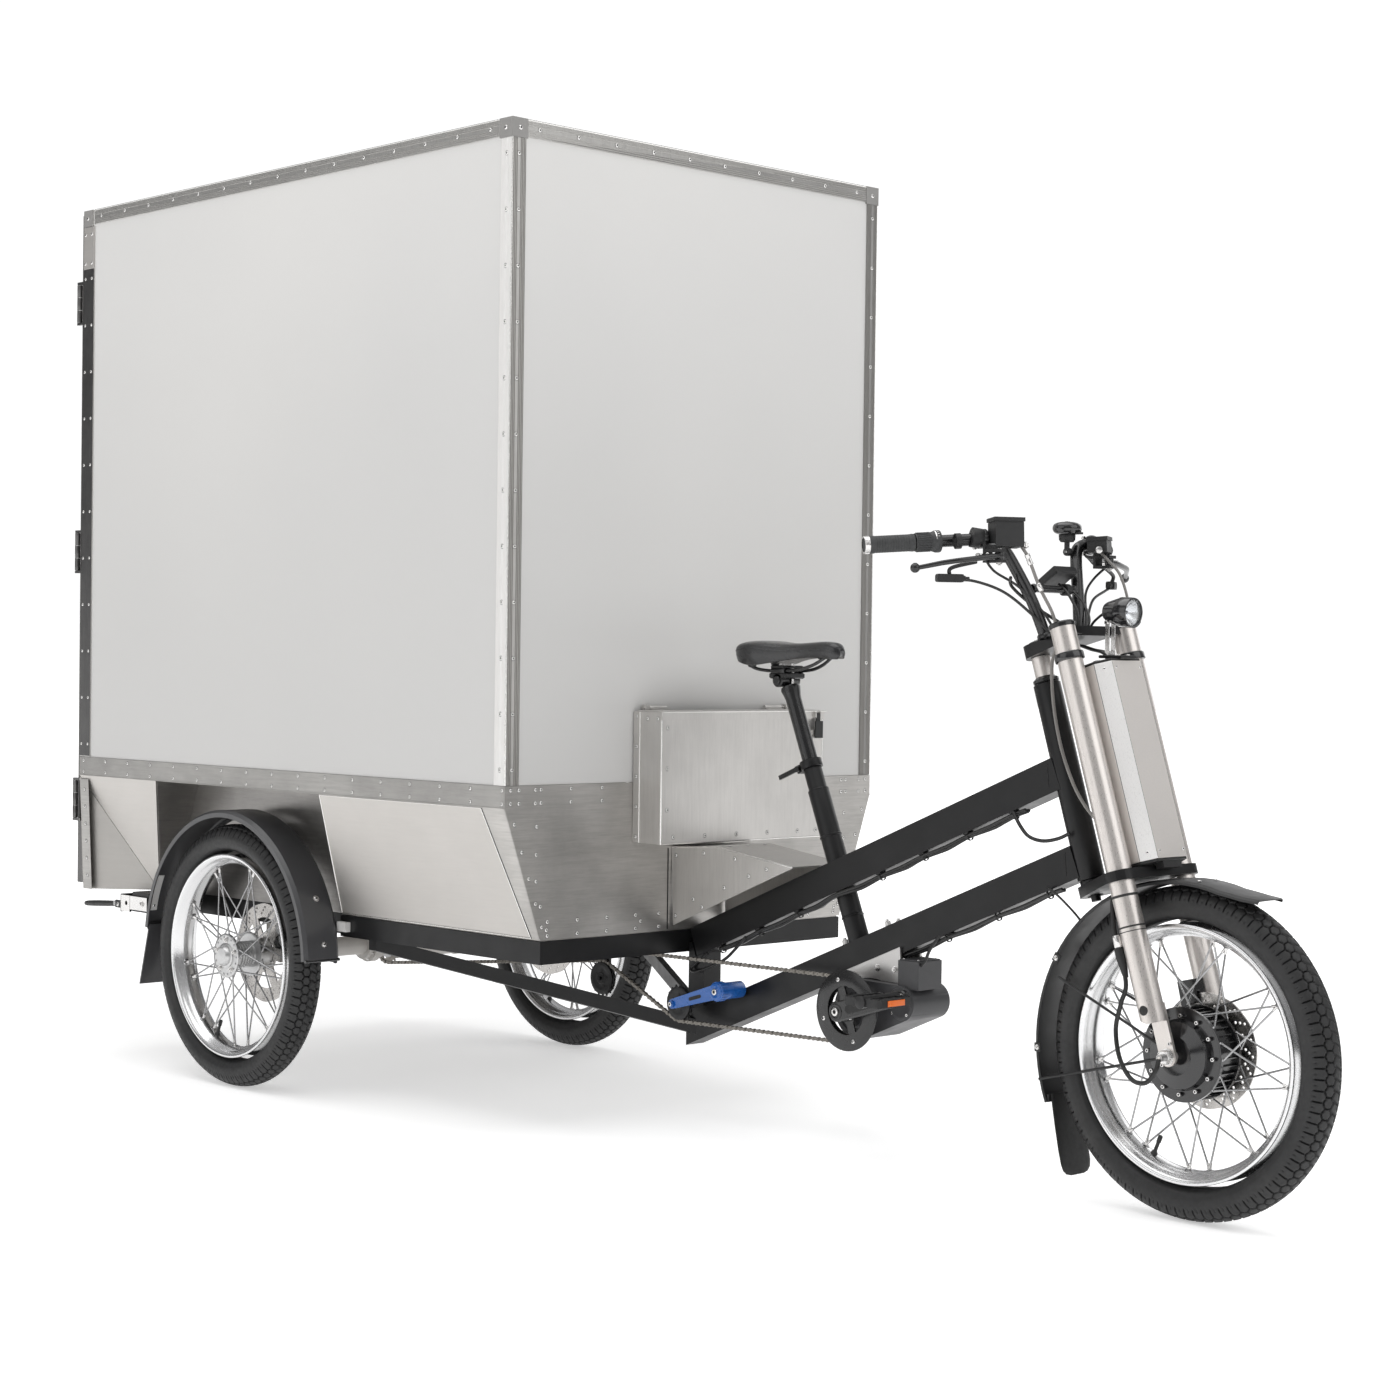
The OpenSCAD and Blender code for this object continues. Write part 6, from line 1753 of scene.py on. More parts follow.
def make_shifter():
    """Knurled twist grip with a plain scale ring."""
    s = Shape()
    end, inward = bar_frame(-1)
    s.lathe(end, inward, [(11.5, 88), (16.2, 88), (16.6, 90), (16.6, 116), (17.6, 119), (18.6, 122),
                          (19.8, 125), (20, 132), (19.2, 134), (11.5, 134)], "grip", 40)
    u, v = basis(inward)
    for i in range(26):
        a = 2 * math.pi * i / 26
        out = u * math.cos(a) + v * math.sin(a)
        s.box_at(end + inward * 103 * MM + out * 16.8 * MM, inward, out, inward.cross(out),
                 (12.5, 0.8, 1.05), "grip", 0.5)
    # plain scale ring and click marks
    s.lathe(end, inward, [(18.9, 123), (19.5, 123.3), (19.9, 125.2), (19.5, 125.6)], "bolt", 40, 200, 150)
    for i in range(9):
        a = math.radians(205 + 16 * i)
        out = u * math.cos(a) + v * math.sin(a)
        s.box_at(end + inward * 128.5 * MM + out * 19.9 * MM, inward, out, inward.cross(out),
                 (1.7, 0.25, 0.5), "edge", 0.1)
    s.piece("shift_grip", "shifter", "black_rubber", 30, ("shift_twister",))


def make_brake_levers():
    """Curved lever blades with ball ends and pivots."""
    for side, body, node in ((-1, "brake_right", "right_brake_lever"),
                             (1, "brake_left", "left_brake_lever")):
        s = Shape()
        pivot = P(LEVER_X, side * LEVER_Y, 1149)
        s.lathe(pivot, Z, [(3, -6), (7.6, -6), (8.2, -5), (8.2, 5), (7.6, 6), (3, 6)], "black", 28)
        spine = [(1892, 160, 1148.5), (1890, 180, 1147), (1884, 206, 1143), (1873, 236, 1139),
                 (1854, 262, 1134), (1836, 284, 1128), (1824, 297, 1124.5)]
        points = curve_points(mirrored(side, spine), 4)
        n = len(points)
        wide = [7.5 - 3.4 * min(1, 1.4 * i / n) for i in range(n)]
        thick = [5.4 - 1.6 * i / n for i in range(n)]
        ribbon(s, points, wide, thick, X, "black")
        s.ball(P(1821, side * 300, 1124), 8.8, "black", 24)
        s.lathe(P(1821, side * 300, 1124), Z, [(3.4, 8.2), (3.0, 8.9), (0, 8.9)], "hole", 14)
        s.bolt(P(1889, side * 186, 1152), Z, 3.2, "button", 3)
        s.piece(f"{node}_blade", body, "caliper_black", 40, (node,))


def turned_box(at, yaw, tip=0.0):
    """Directions of a box turned about Z and then tipped, for box_at, in degrees."""
    a, b = math.radians(yaw), math.radians(tip)
    u = Vector((math.cos(a) * math.cos(b), math.sin(a) * math.cos(b), math.sin(b)))
    v = Vector((-math.sin(a), math.cos(a), 0))
    return at, u, v, u.cross(v)


def make_reservoirs():
    """Fluid reservoirs with lids, sight glasses, banjos, clamps and lever adjusters."""
    s = Shape()
    for side, tall in ((-1, 52), (1, 29)):
        at = P(1888, side * 134, 1165)
        at, u, v, w = turned_box(at, 28 * side, 4)
        body = (tall - 6) / 2
        s.box_at(at + w * body * MM + u * MM, u, v, w, (18.2, 27.2, body), "plastic", 3.4)
        s.box_at(at + w * (tall - 3.4) * MM + u * MM, u, v, w, (19.8, 28.8, 3.3), "plastic", 2.2)
        s.box_at(at + w * (tall - 0.3) * MM + u * MM, u, v, w, (14, 22, 0.5), "rubber", 0.4)
        for across in (-24.5, 24.5):
            s.bolt(at + w * (tall - 0.4) * MM + v * across * MM + u * MM, w, 2.2, "button", 1.2)
        # sight glass and the silver banjo with its bolt
        s.lathe(at + w * 10 * MM - u * 17.2 * MM, -u, [(7, 0), (7, 1.4), (5.4, 1.6), (5.2, 0.9),
                                                       (0, 0.9)], "gloss", 24)
        inner = at + (w * 4 - v * side * 27 + u * 6) * MM
        s.lathe(inner, -v * side, [(5, 0), (5, 5), (6.4, 5.4), (6.4, 9), (4, 9.6), (4, 13), (0, 13.4)],
                "bolt", 18)
        # split clamp round the bar with its two bolts
        mid = P(1850, side * 156, 1180)
        inward = bar_frame(side)[1]
        s.lathe(mid, inward, [(12, -9), (16.5, -9), (17.6, -7.6), (17.6, 7.6), (16.5, 9), (12, 9)],
                "black", 32)
        for dz in (-15, 15):
            s.bolt(mid + (Z * dz - X * 14) * MM, -X, 3.6, "cap", 5)
        s.box_at(P(1877, side * 158, 1163), X, Y, Z, (15, 9, 8), "black", 2.4)
        s.bolt(P(LEVER_X, side * LEVER_Y, 1161), Z, 5.2, "button", 3)
        s.bolt(P(LEVER_X, side * LEVER_Y, 1137), -Z, 5, "hex", 3)
        # lever adjuster and its spring
        s.lathe(P(1864, side * 170, 1149), Y * side, [(4, 0), (4, 6), (3, 7), (3, 11), (5, 11.5), (5, 14),
                                                      (0, 14)], "bolt", 14)
    s.piece("master_cylinders", "steering", "black_plastic")


def make_controls():
    """Display with keys, and the indicator pods with their arms."""
    s = Shape()
    at, u, v, w = turned_box(P(1874, 40, 1112), 0, 35)
    mid = at + (w * 7 - v * 6) * MM
    s.box_at(mid, u, v, w, (24.5, 30.5, 7.4), "plastic", 3)
    s.box_at(mid + w * 7.3 * MM, u, v, w, (19, 24, 0.7), "gloss", 0.5)
    for i in range(3):
        s.box_at(mid + (w * 7.7 - u * 19 + v * (i - 1) * 13) * MM, u, v, w, (2.2, 4.2, 0.8), "rubber",
                 0.4)
    s.lathe(P(1890, 34, 1094), Y, [(7.2, -7), (11, -7), (11, 7), (7.2, 7)], "plastic", 24)
    s.bolt(P(1880, 34, 1094), -X, 2.6, "cap", 3)
    for side in (-1, 1):
        # indicator pods hanging under the perches
        at, u, v, w = turned_box(P(1842, side * 232, 1108), -58 * side)
        s.box_at(at, u, v, w, (24.4, 8.4, 7.4), "plastic", 3)
        s.box_at(at - (v * side * 8.3 + u * 4) * MM, u, v, w, (13, 0.6, 4), "red", 0.5)
        s.lathe(at + u * 24 * MM, u, [(5, 0), (5, 4), (3, 6), (3, 12), (0, 12)], "plastic", 16)
        s.tube(curve_points([at + w * 5 * MM, at + (w * 18 + X * 4) * MM, P(1864, side * 186, 1138)], 6),
               3.6, "plastic", 12)
        s.lathe(P(1842, side * 212, 1174), bar_frame(side)[1], [(11.2, -5), (14, -5), (14, 5), (11.2, 5)],
                "plastic", 24)
    s.piece("control_details", "steering", "black_plastic")


def make_bell():
    """Dome of the bell and its clamp on the bar."""
    s = Shape()
    at = P(1852, 84, 1210)
    s.lathe(at, Z, [(0, -13), (15, -13), (20, -11.4), (24.4, -8.6), (26.4, -5.4), (27, -1), (26.4, 3.4),
                    (24, 7), (19, 9.6), (12, 11), (5, 11.4), (4.6, 11.9), (4, 12.4), (0, 12.6)], "gloss",
            44)
    s.lathe(at, Z, [(12, -26), (15, -22), (15.6, -14), (15, -12.6)], "plastic", 32)
    s.lathe(at, Z, [(5.2, 11), (5, 12), (4.4, 12.2)], "bolt", 24)
    s.lathe(at, Z, [(5, -50), (5, -24), (10.4, -24), (11, -22.6), (11, -17.4), (10.4, -16), (5, -15),
                    (4.6, 4)], "plastic", 28)
    s.lathe(at - Z * 44 * MM, Y, [(0, -3), (7, -3), (7.6, -1), (7.6, 7), (0, 7)], "plastic", 22)
    s.bolt(at - (Z * 44 + Y * 3) * MM, -Y, 3.4, "button", 3)
    s.piece("bell_dome", "steering", "gloss_black", 40, ("bell",))


def make_headlight():
    """Ribbed lamp body, reflector, glass and bracket."""
    s = Shape()
    at = P(2044, 0, 1052)
    out = radial(-2)
    s.lathe(at, out, [(0, -34), (9, -34), (16, -32), (18.2, -28), (25.6, -3), (27, 0), (27, 22),
                      (26.4, 25.4), (24.2, 26), (23.4, 24), (23.2, 16)], "gloss", 44)
    # bowl of the reflector with facets, the lamp chip and the front glass
    s.lathe(at, out, [(23.2, 19), (20, 14), (15, 9), (9, 4.5), (4, 2.6), (0, 2.4)], "edge", 22)
    s.lathe(at, out, [(3.4, 2.4), (3.4, 8), (2.6, 9.2), (0, 9.4)], "grey_reflect", 16)
    s.lathe(at, out, [(23.3, 18.6), (23.3, 22.4), (17, 24), (9, 24.8), (0, 25), (0, 22.8), (9, 22.4),
                      (17, 21.4), (23.3, 18.6)], "lens", 44)
    for k in range(6):
        s.lathe(at, out, [(18.4 + 1.35 * k, -26 + 4.4 * k), (19.6 + 1.35 * k, -25 + 4.4 * k),
                          (19.8 + 1.35 * k, -23.6 + 4.4 * k)], "gloss", 36, 150, 60)
    # short hood over the glass
    s.lathe(at, out, [(26.2, 8), (27, 9), (27, 26), (25.6, 26), (25.6, 9)], "gloss", 30, 35, 110)
    # fork-shaped bracket down to the battery
    for side in (-1, 1):
        s.box_at(P(2019, side * 8.4, 1006), Z, X, Y, (32, 4.4, 1.3), "bolt", 0.6)
        s.bolt(P(2019, side * 9.7, 1034), Y * side, 4.2, "cap", 4)
    s.box_at(P(2035, 0, 973), X, Y, Z, (24.6, 21.6, 2.8), "frame", 1.2)
    s.box_at(P(2019, 0, 979), X, Y, Z, (4.6, 9.6, 4), "bolt", 1)
    for side in (-1, 1):
        s.bolt(P(2048, side * 14, 976), Z, 3.6, "button", 3)
    s.piece("headlight_details", "steering", "gloss_black", 35, ("headlight",))


# ---------------------------------------------------------------- fork and battery

def shade_battery():
    """The battery housing's folded corners get a lighter copy of its metal as a painted highlight, and its
    connector is black.
    """
    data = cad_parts["battery_case"].data
    data.materials.append(M["bevel"])
    data.materials.append(M["plastic"])
    for face in data.polygons:
        ahead = face.normal.dot(STEER_AHEAD)
        up = (face.center - HEAD).dot(STEER_UP)
        if up < -0.1855:
            face.material_index = 2
        # faces turned half ahead, the folded corners: painted highlight
        elif 0.4 < ahead < 0.8:
            face.material_index = 1


def make_battery_trim():
    """End caps, screws, joint lines, key switch and leads of the battery housing."""
    s = Shape()
    for up, depth in ((172, 5), (-185, -5)):
        outline = [(107.5, -59.5), (156, -59.5), (181.5, -41), (181.5, 41), (156, 59.5), (107.5, 59.5)]
        s.prism([on_fork(v, y, up) for v, y in outline], STEER_UP * depth * MM, "rubber", 1.0 * MM)
    across = Vector((0.59 * STEER_AHEAD.x, 0.81, 0.59 * STEER_AHEAD.z))
    for up in (160, -172):
        for side in (-1, 1):
            s.bolt(on_fork(183.1, side * 34, up), STEER_AHEAD, 2.9, "button", 2)
            s.bolt(on_fork(132, side * 61.1, up), Y * side, 2.9, "button", 2)
            out = Vector((across.x, across.y * side, across.z))
            s.bolt(on_fork(170, side * 51.6, up), out, 2.9, "button", 2)
    for side in (-1, 1):
        # fine joint lines beside the folded corners: a dark joint, and a bright line that paints the
        # highlight on the front fold
        s.tube([on_fork(157.2, side * 61, -184), on_fork(157.2, side * 61, 171)], 0.45, "hole", 6)
        s.tube([on_fork(183, side * 42, -184), on_fork(183, side * 42, 171)], 0.45, "edge", 6)
    # key switch, charge socket and lead bundle on top
    s.lathe(on_fork(142, -30, 177), STEER_UP, [(8, 0), (8, 5), (6.6, 6), (5, 6), (5, 3), (0, 3)], "bolt",
            24)
    s.lathe(on_fork(142, 26, 177), STEER_UP, [(10, 0), (10, 6), (8, 7.4), (0, 7.4)], "rubber", 24)
    for k, y in enumerate((-10, -3, 4)):
        hose(s, [on_fork(150 - 3 * k, y, 176), on_fork(146, y, 196), on_fork(118, y * 0.6, 212),
                 on_fork(96, y * 0.5, 226)], 2.6, steps=6)
    s.piece("battery_trim", "steering", "battery_alu")


def make_fork_trim():
    """Collars, seals, pinch bolts and axle nuts of the fork."""
    s = Shape()
    # silver stub and black collar between the head tube and the upper crown
    s.lathe(on_fork(0, 0, 0), STEER_UP, [(14.5, 193), (17.5, 193), (17.5, 233), (14.5, 233)], "fork", 36)
    s.lathe(on_fork(0, 0, 0), STEER_UP, [(21.5, 184.4), (23.8, 185.5), (23.8, 191), (19, 194.5),
                                         (17.4, 196)], "black", 36)
    s.lathe(on_fork(0, 0, 0), STEER_UP, [(13, 258), (17, 258.4), (17, 261), (15.5, 262.4), (0, 262.6)],
            "black", 32)
    s.bolt(on_fork(0, 0, 262.4), STEER_UP, 6, "cap", 4)
    for side in (-1, 1):
        leg = on_fork(129.3, side * 88, 0)
        s.lathe(leg, STEER_UP, [(22.7, 186), (26, 187), (26.6, 189), (26.6, 198), (25.6, 200),
                                (22.7, 201)], "gloss", 44)
        s.lathe(leg, STEER_UP, [(22.6, 247), (23.6, 248), (23.8, 254), (22, 256.6), (20, 256.8)], "black",
                44)
        s.lathe(leg, STEER_UP, [(20.4, 256.6), (18, 254), (0, 254)], "plastic", 36)
        for up, tall in ((-292, 3.2), (-300, 1.6), (-238, 4.5)):
            s.lathe(leg, STEER_UP, [(22.5, up - tall / 2), (23.1, up - tall / 2 + 0.3),
                                    (23.1, up + tall / 2 - 0.3), (22.5, up + tall / 2)], "rubber", 44)
        # open lower end of the leg
        s.lathe(on_fork(129.3, side * 88, -437), Y * side, [(0, 14), (8.5, 14), (8.5, 22.5), (7, 22.9),
                                                            (0, 22.9)], "plastic", 28)
        # pinch bolts of the crowns
        s.bolt(on_fork(152, side * 80, -202), STEER_AHEAD, 4.2, "cap", 5)
        s.bolt(on_fork(108, side * 60, -191.5), STEER_UP, 5, "cap", 4)
        s.bolt(on_fork(118, side * 56, 250.4), STEER_UP, 4.4, "cap", 4)
        # axle nut with washer, torque arm screws and disc tab
        axle = FRONT + Y * side * 74.2 * MM
        s.lathe(axle, Y * side, [(6, 0), (14.6, 0), (14.6, 1.6), (6, 1.6)], "bolt", 32)
        s.lathe(axle, Y * side, [(12.9, 1.6), (13.1, 10), (11.6, 12.4), (6.2, 12.4)], "bolt", 6)
        s.lathe(axle, Y * side, [(6.1, 12), (6.1, 23.4), (5.2, 24), (3, 24), (3, 20), (0, 20)], "zinc",
                24)
        for ahead, up in ((-13, -512), (-13, -532), (12, -500)):
            spot = on_fork(129.3 + ahead, side * 74.4, up)
            s.bolt(spot, Y * side, 3.2, "cap", 3.4)
    s.piece("fork_trim", "steering", "fork_silver")


def hose(s, points, r, key="cable", steps=8, sides=10):
    """A smooth round hose through given points."""
    s.tube(curve_points(points, steps), r, key, sides)


def make_front_cables():
    """Hoses and leads that turn with the fork: to the front brake, the motor and the bar."""
    s = Shape()
    brake = [(1900, 122, 1166), (1920, 120, 1150), (1952, 116, 1120), (1978, 108, 1060),
             (1968, 116, 1000), (1988, 118, 900), (2050, 120, 700), (2108, 122, 520), (2122, 122, 440),
             (2138, 104, 400), (2150, 76, 392), (2155, 66, 390)]
    hose(s, [P(*p) for p in brake], 2.6, "cable_grey", sides=12)
    near = [P(*p) for p in ((1906, -112, 1166), (1920, -110, 1146), (1932, -92, 1094), (1950, -76, 1046))]
    near += [on_fork(*p) for p in ((92, -60, 236), (70, -60, 205), (56, -60, 160), (47, -60, 100),
                                   (46, -60, 40), (54, -60, -20), (70, -60, -66), (95, -62, -104))]
    hose(s, near, 3.0, "cable_grey", sides=12)
    s.lathe(P(1920, -110, 1146), P(1932, -92, 1094) - P(1920, -110, 1146),
            [(3, -8), (5, -7), (5, -2), (4, 0), (5, 2), (5, 12), (3, 13)], "bolt", 16)
    s.lathe(P(1932, -92, 1094), P(1950, -76, 1046) - P(1932, -92, 1094),
            [(3, -9), (4.6, -8), (4.6, 6), (3, 7)], "bolt", 16)
    # motor lead with its plug behind the right leg
    lead = [(100, -70, -217), (98, -84, -240), (97, -96, -290), (97, -97, -380), (80, -102, -415),
            (60, -106, -455), (57, -110, -505), (74, -113, -545), (102, -113, -556), (124, -108, -540),
            (129, -99, -523)]
    hose(s, [on_fork(*p) for p in lead], 4, sides=14)
    s.lathe(on_fork(97.5, -94, -300), -STEER_UP, [(4, 0), (8, 0), (8.6, 2), (8.6, 20), (7, 22)], "bolt",
            24)
    s.lathe(on_fork(97.5, -95, -322), -STEER_UP, [(7, 0), (9.4, 1), (9.4, 18), (8, 26), (6, 42),
                                                  (4.6, 52)], "plastic", 24)
    # leads from the levers, switches and display to the crown
    runs = [([(1876, -176, 1143), (1868, -140, 1122), (1884, -92, 1096), (1914, -60, 1052),
              (1930, -42, 1014)], 2.4), ([(1846, -226, 1104), (1856, -182, 1104), (1876, -124, 1086),
                                          (1902, -78, 1048), (1924, -50, 1012)], 2.6),
            ([(1876, 176, 1143), (1872, 140, 1118), (1888, 96, 1090), (1916, 62, 1050), (1934, 40, 1014)],
             2.4), ([(1846, 226, 1104), (1862, 186, 1096), (1880, 128, 1078), (1906, 80, 1044),
                     (1928, 48, 1012)], 2.6), ([(1884, 22, 1104), (1912, 14, 1086), (1940, 6, 1050),
                                                (1944, 0, 1016)], 2.6),
            ([(1884, 46, 1100), (1920, 44, 1074), (1952, 26, 1040), (1950, 14, 1012)], 2.2),
            ([(2010, 0, 1052), (1992, 6, 1046), (1968, 14, 1032), (1954, 18, 1012)], 2.4),
            ([(1888, -120, 1112), (1872, -96, 1096), (1890, -60, 1064), (1930, -24, 1030),
              (1960, -10, 1004)], 3.0),]
    for points, r in runs:
        hose(s, [P(*p) for p in points], r)
    s.piece("front_leads", "steering", "black_rubber", 60, ("front_cables",))


# ---------------------------------------------------------------- harness, fenders and brackets

def on_beam(start, s, y, up):
    """A point along the beams' slope from a start point, in millimetres."""
    return P(start[0], y, start[1]) + (BEAM_ALONG * s + BEAM_UP * up) * MM


def zip_tie(s, at, axis, r):
    """A band round a lead, with its square lock."""
    s.lathe(at, axis, [(r, -1.8), (r + 1.1, -1.8), (r + 1.1, 1.8), (r, 1.8)], "cable", 20)
    u, v = basis(Vector(axis).normalized())
    s.box_at(at - v * (r + 2) * MM, axis, u, v, (2.6, 2.2, 2.2), "cable", 0.6)


def make_harness():
    """Leads clipped below both beams, with loops at their ends."""
    s = Shape()
    upper, lower = (968, 402), (928, 210.5)
    for k, (y, up, r) in enumerate(((-22, -66, 3.2), (-16, -68, 4.0), (-9, -66, 3.0))):
        # each lead sags between its ties, which stand 118 mm apart
        line = []
        for i in range(30):
            at = 70 + 29.5 * i
            # they bow out to the right, past the seat tube
            beside = math.exp(-((at - 426) / 45) ** 2)
            across = y + 1.6 * math.sin(0.9 * i + 2 * k)
            line.append(on_beam(upper, at, across + (-34 + 3 * k - across) * beside,
                                up - (2 + 1.5 * k) * math.sin(math.pi * (i % 4) / 4) ** 2))
        hose(s, line, r, steps=3)
    for i in (0, 1, 2, 4, 5, 6, 7):
        zip_tie(s, on_beam(upper, 70 + 118 * i, -16, -66.5), BEAM_ALONG, 8.2)
        s.box_at(on_beam(upper, 70 + 118 * i, -17, -61.5), BEAM_ALONG, Y, BEAM_UP, (6, 9, 1.4), "plastic",
                 0.5)
    # loose loops near the front rail and in front of the head tube's foot
    hose(s, [on_beam(upper, 30, -22, -64), P(980, -30, 322), P(1000, -36, 316), P(1040, -34, 330),
             P(1084, -30, 352), on_beam(upper, 150, -24, -66)], 3.2)
    hose(s, [on_beam(upper, 900, -24, -64), P(1848, -34, 664), P(1872, -38, 646), P(1905, -40, 640),
             P(1940, -40, 646), P(1962, -34, 657)], 3.4)
    # gearbox lead under the lower beam
    for k, (y, up, r) in enumerate(((-20, -65, 3.0), (-13, -66, 3.6))):
        line = [on_beam(lower, 640 + 32.5 * i, y, up - (2 + 2 * k) * math.sin(math.pi * (i % 4) / 4) ** 2)
                for i in range(14)]
        hose(s, line, r, steps=3)
    for i in range(4):
        zip_tie(s, on_beam(lower, 640 + 130 * i, -16, -66), BEAM_ALONG, 7.5)
    # slack loop from the end of the lower beam to the fork's foot
    hose(s, [on_beam(lower, 1040, -18, -66), P(1918, -36, 556), P(1950, -42, 540), P(1980, -40, 516),
             P(1992, -34, 500)], 2.2)
    hose(s, [on_beam(lower, 790, -16, -64), P(1652, -22, 446), P(1636, -34, 420), P(1628, -40, 396),
             P(1612, -38, 384)], 3.0)
    s.piece("beam_leads", "chassis", "black_rubber", 60, ("frame_harness",))


def fender_point(angle, r, across, side):
    """A point round a rear axle end: angle in degrees, radius, and distance from the wheel's middle."""
    return AXLE + radial(angle) * r * MM + Y * (side * REAR_Y - AXLE.y + across * MM)


def make_rear_fender_trim():
    """Screws, rolled lips, stays, reflectors and mudflap clamps of the rear fenders."""
    s = Shape()
    for side in (-1, 1):
        for angle in (9, 27):
            out = radial(angle)
            s.lathe(fender_point(angle, 322.1, 5, side), out, [(7.4, 0), (7.4, 0.8), (0, 0.8)], "bolt",
                    20)
            s.bolt(fender_point(angle, 322.8, 5, side), out, 4.8, "button", 3)
        # rolled lip at the front end
        s.tube([fender_point(3, 320, across, side) for across in (-44, -30, 0, 30, 44)], 3.2, "gloss", 12)
        # steel stay inside the rear end
        for angle in range(150, 166, 2):
            out = radial(angle + 1)
            tangent = tangent_at(angle + 1)
            s.box_at(fender_point(angle + 1, 316.6, side * 27, side), tangent, Y, out, (5.8, 8, 0.9),
                     "flange", 0.3)
        s.bolt(fender_point(164, 315.6, side * 27, side), -radial(164), 3.6, "button", 2)
        # reflector strip with its screws near the rear end
        for angle in range(146, 164, 2):
            out = radial(angle + 1)
            tangent = tangent_at(angle + 1)
            s.box_at(fender_point(angle + 1, 323, 0, side), tangent, Y, out, (5.8, 8, 1.1),
                     "grey_reflect", 0.4)
        for angle in (145, 165):
            out = radial(angle)
            s.bolt(fender_point(angle, 322.6, 0, side), out, 3, "button", 2)
        # clamp strip and bolts above the mudflap
        s.box_at(P(-307.5, side * 486.5, 331), Z, Y, X, (8, 42, 1.6), "plastic", 0.8)
        for across in (-26, 0, 26):
            s.bolt(P(-309.4, side * 486.5 + across, 331), -X, 3.4, "button", 2.6)
    s.piece("rear_fender_trim", "chassis", "gloss_black")


FENDER_R = 304


def make_front_fender():
    """The front fender's sheet with its screws, clips, wire stays and mudflap."""
    s = Shape()
    centre = P(2203, 0, 284)
    for angle in (196, 176, 100, 84):
        out = radial(angle)
        for across in (-24, 24):
            s.bolt(centre + out * 308.2 * MM + Y * across * MM, out, 3.6, "button", 2.6)
    for side in (-1, 1):
        # clips that hold the wire stays
        for angle in (150, 183):
            out = radial(angle)
            tangent = tangent_at(angle)
            s.box_at(centre + out * 298 * MM + Y * side * 44.6 * MM, tangent, out, Y, (8, 7, 2.4),
                     "plastic", 1)
            s.bolt(centre + out * 298 * MM + Y * side * 46.8 * MM, Y * side, 3.2, "hex", 3)
    s.box_at(P(1925.5, 0, 178), Z, Y, X, (7, 40, 2), "plastic", 0.8)
    # the arc with its rolled edges, and the flared tip that runs on from it
    half = 42.6
    rows = []
    for angle in range(202, 73, -4):
        out = radial(angle) * FENDER_R
        rows.append((out.x, out.z, half))
    rows += [(108, 288.6, half), (132, 284.4, half), (158, 281.6, 38), (161, 280.6, 36)]
    section = [(-1, -5), (-1.02, -1), (-0.96, 1.6), (-0.86, 2.6), (0, 3.2), (0.86, 2.6), (0.96, 1.6),
               (1.02, -1), (1, -5), (0.97, -5), (0.97, -1.4), (0.92, 0.2), (0, 0.9), (-0.92, 0.2),
               (-0.97, -1.4), (-0.97, -5)]
    verts = []
    # from the tip back to the mudflap, so that the skin faces outwards
    for i in reversed(range(len(rows))):
        x, z, wide = rows[i]
        before, after = rows[max(i - 1, 0)], rows[min(i + 1, len(rows) - 1)]
        out = Vector((before[1] - after[1], 0, after[0] - before[0])).normalized()
        verts += [centre + (Vector((x, 0, z)) + out * up + Y * across * wide) * MM
                  for across, up in section]
    s.skin(verts, len(section), "fender")
    # tapered mudflap with a round lower edge
    flap = [P(1930, 0, 186), P(1934, 0, 168), P(1944, 0, 128), P(1954, 0, 88), P(1960, 0, 64),
            P(1962.5, 0, 52), P(1964, 0, 45), P(1964.8, 0, 42)]
    ribbon(s, flap, (36, 38, 41, 43, 42.5, 39, 31, 18), (2,) * 8, Y, "rubber", 16)
    for side in (-1, 1):
        for low, high in (((1912, -48, 212), (2196, -58, 286)), ((1952, -48, 400), (2196, -58, 300))):
            ends = [P(x, -side * y, z) for x, y, z in (low, high)]
            s.tube(ends, 2.5, "plastic", 10)
    s.piece("front_fender_sheet", "steering", "gloss_black", 35, ("front_fender",))


def make_axle_trim():
    """Caliper pistons, bolts and hoses of the rear brakes, and the rings of the axle tubes."""
    s = Shape()
    for side in (-1, 1):
        up = tangent_at(28)
        middle_point = P(92, side * 437, 340)
        for shift in (-14, 14):
            s.lathe(middle_point + up * shift * MM, Y * side, [(13.4, -2), (13.4, 0.4), (11, 1.4),
                                                               (6, 1.4), (5.4, 0.4), (0, 0.4)], "zinc",
                    28)
        for shift in (-26, 26):
            s.bolt(P(92, side * 430.4, 340) + up * shift * MM, Y * side, 4.6, "cap", 6)
        run = [P(92, side * 414, 372), P(84, side * 408, 392), P(60, side * 398, 396)]
        hose(s, run, 2.8, steps=6)
        s.lathe(run[0], Z, [(4, -6), (5.4, -6), (5.4, 0), (4, 1), (3.4, 5), (0, 5)], "bolt", 14)
        # rings, seals and the flange bolts of the axle tube
        for across, r in ((-132, 24), (-240, 23.4), (-372, 25)):
            s.lathe(P(0, 0, 290), Y, [(r - 2, across * -side - 5), (r, across * -side - 4),
                                      (r, across * -side + 4), (r - 2, across * -side + 5)], "axle", 40)
        for k in range(8):
            a = math.radians(45 * k + 12)
            spot = P(32 * math.cos(a), side * 136.4, 290 + 32 * math.sin(a))
            s.bolt(spot, Y * side, 3.6, "hex", 3.4)
    s.piece("axle_and_caliper_trim", "chassis", "caliper_black")


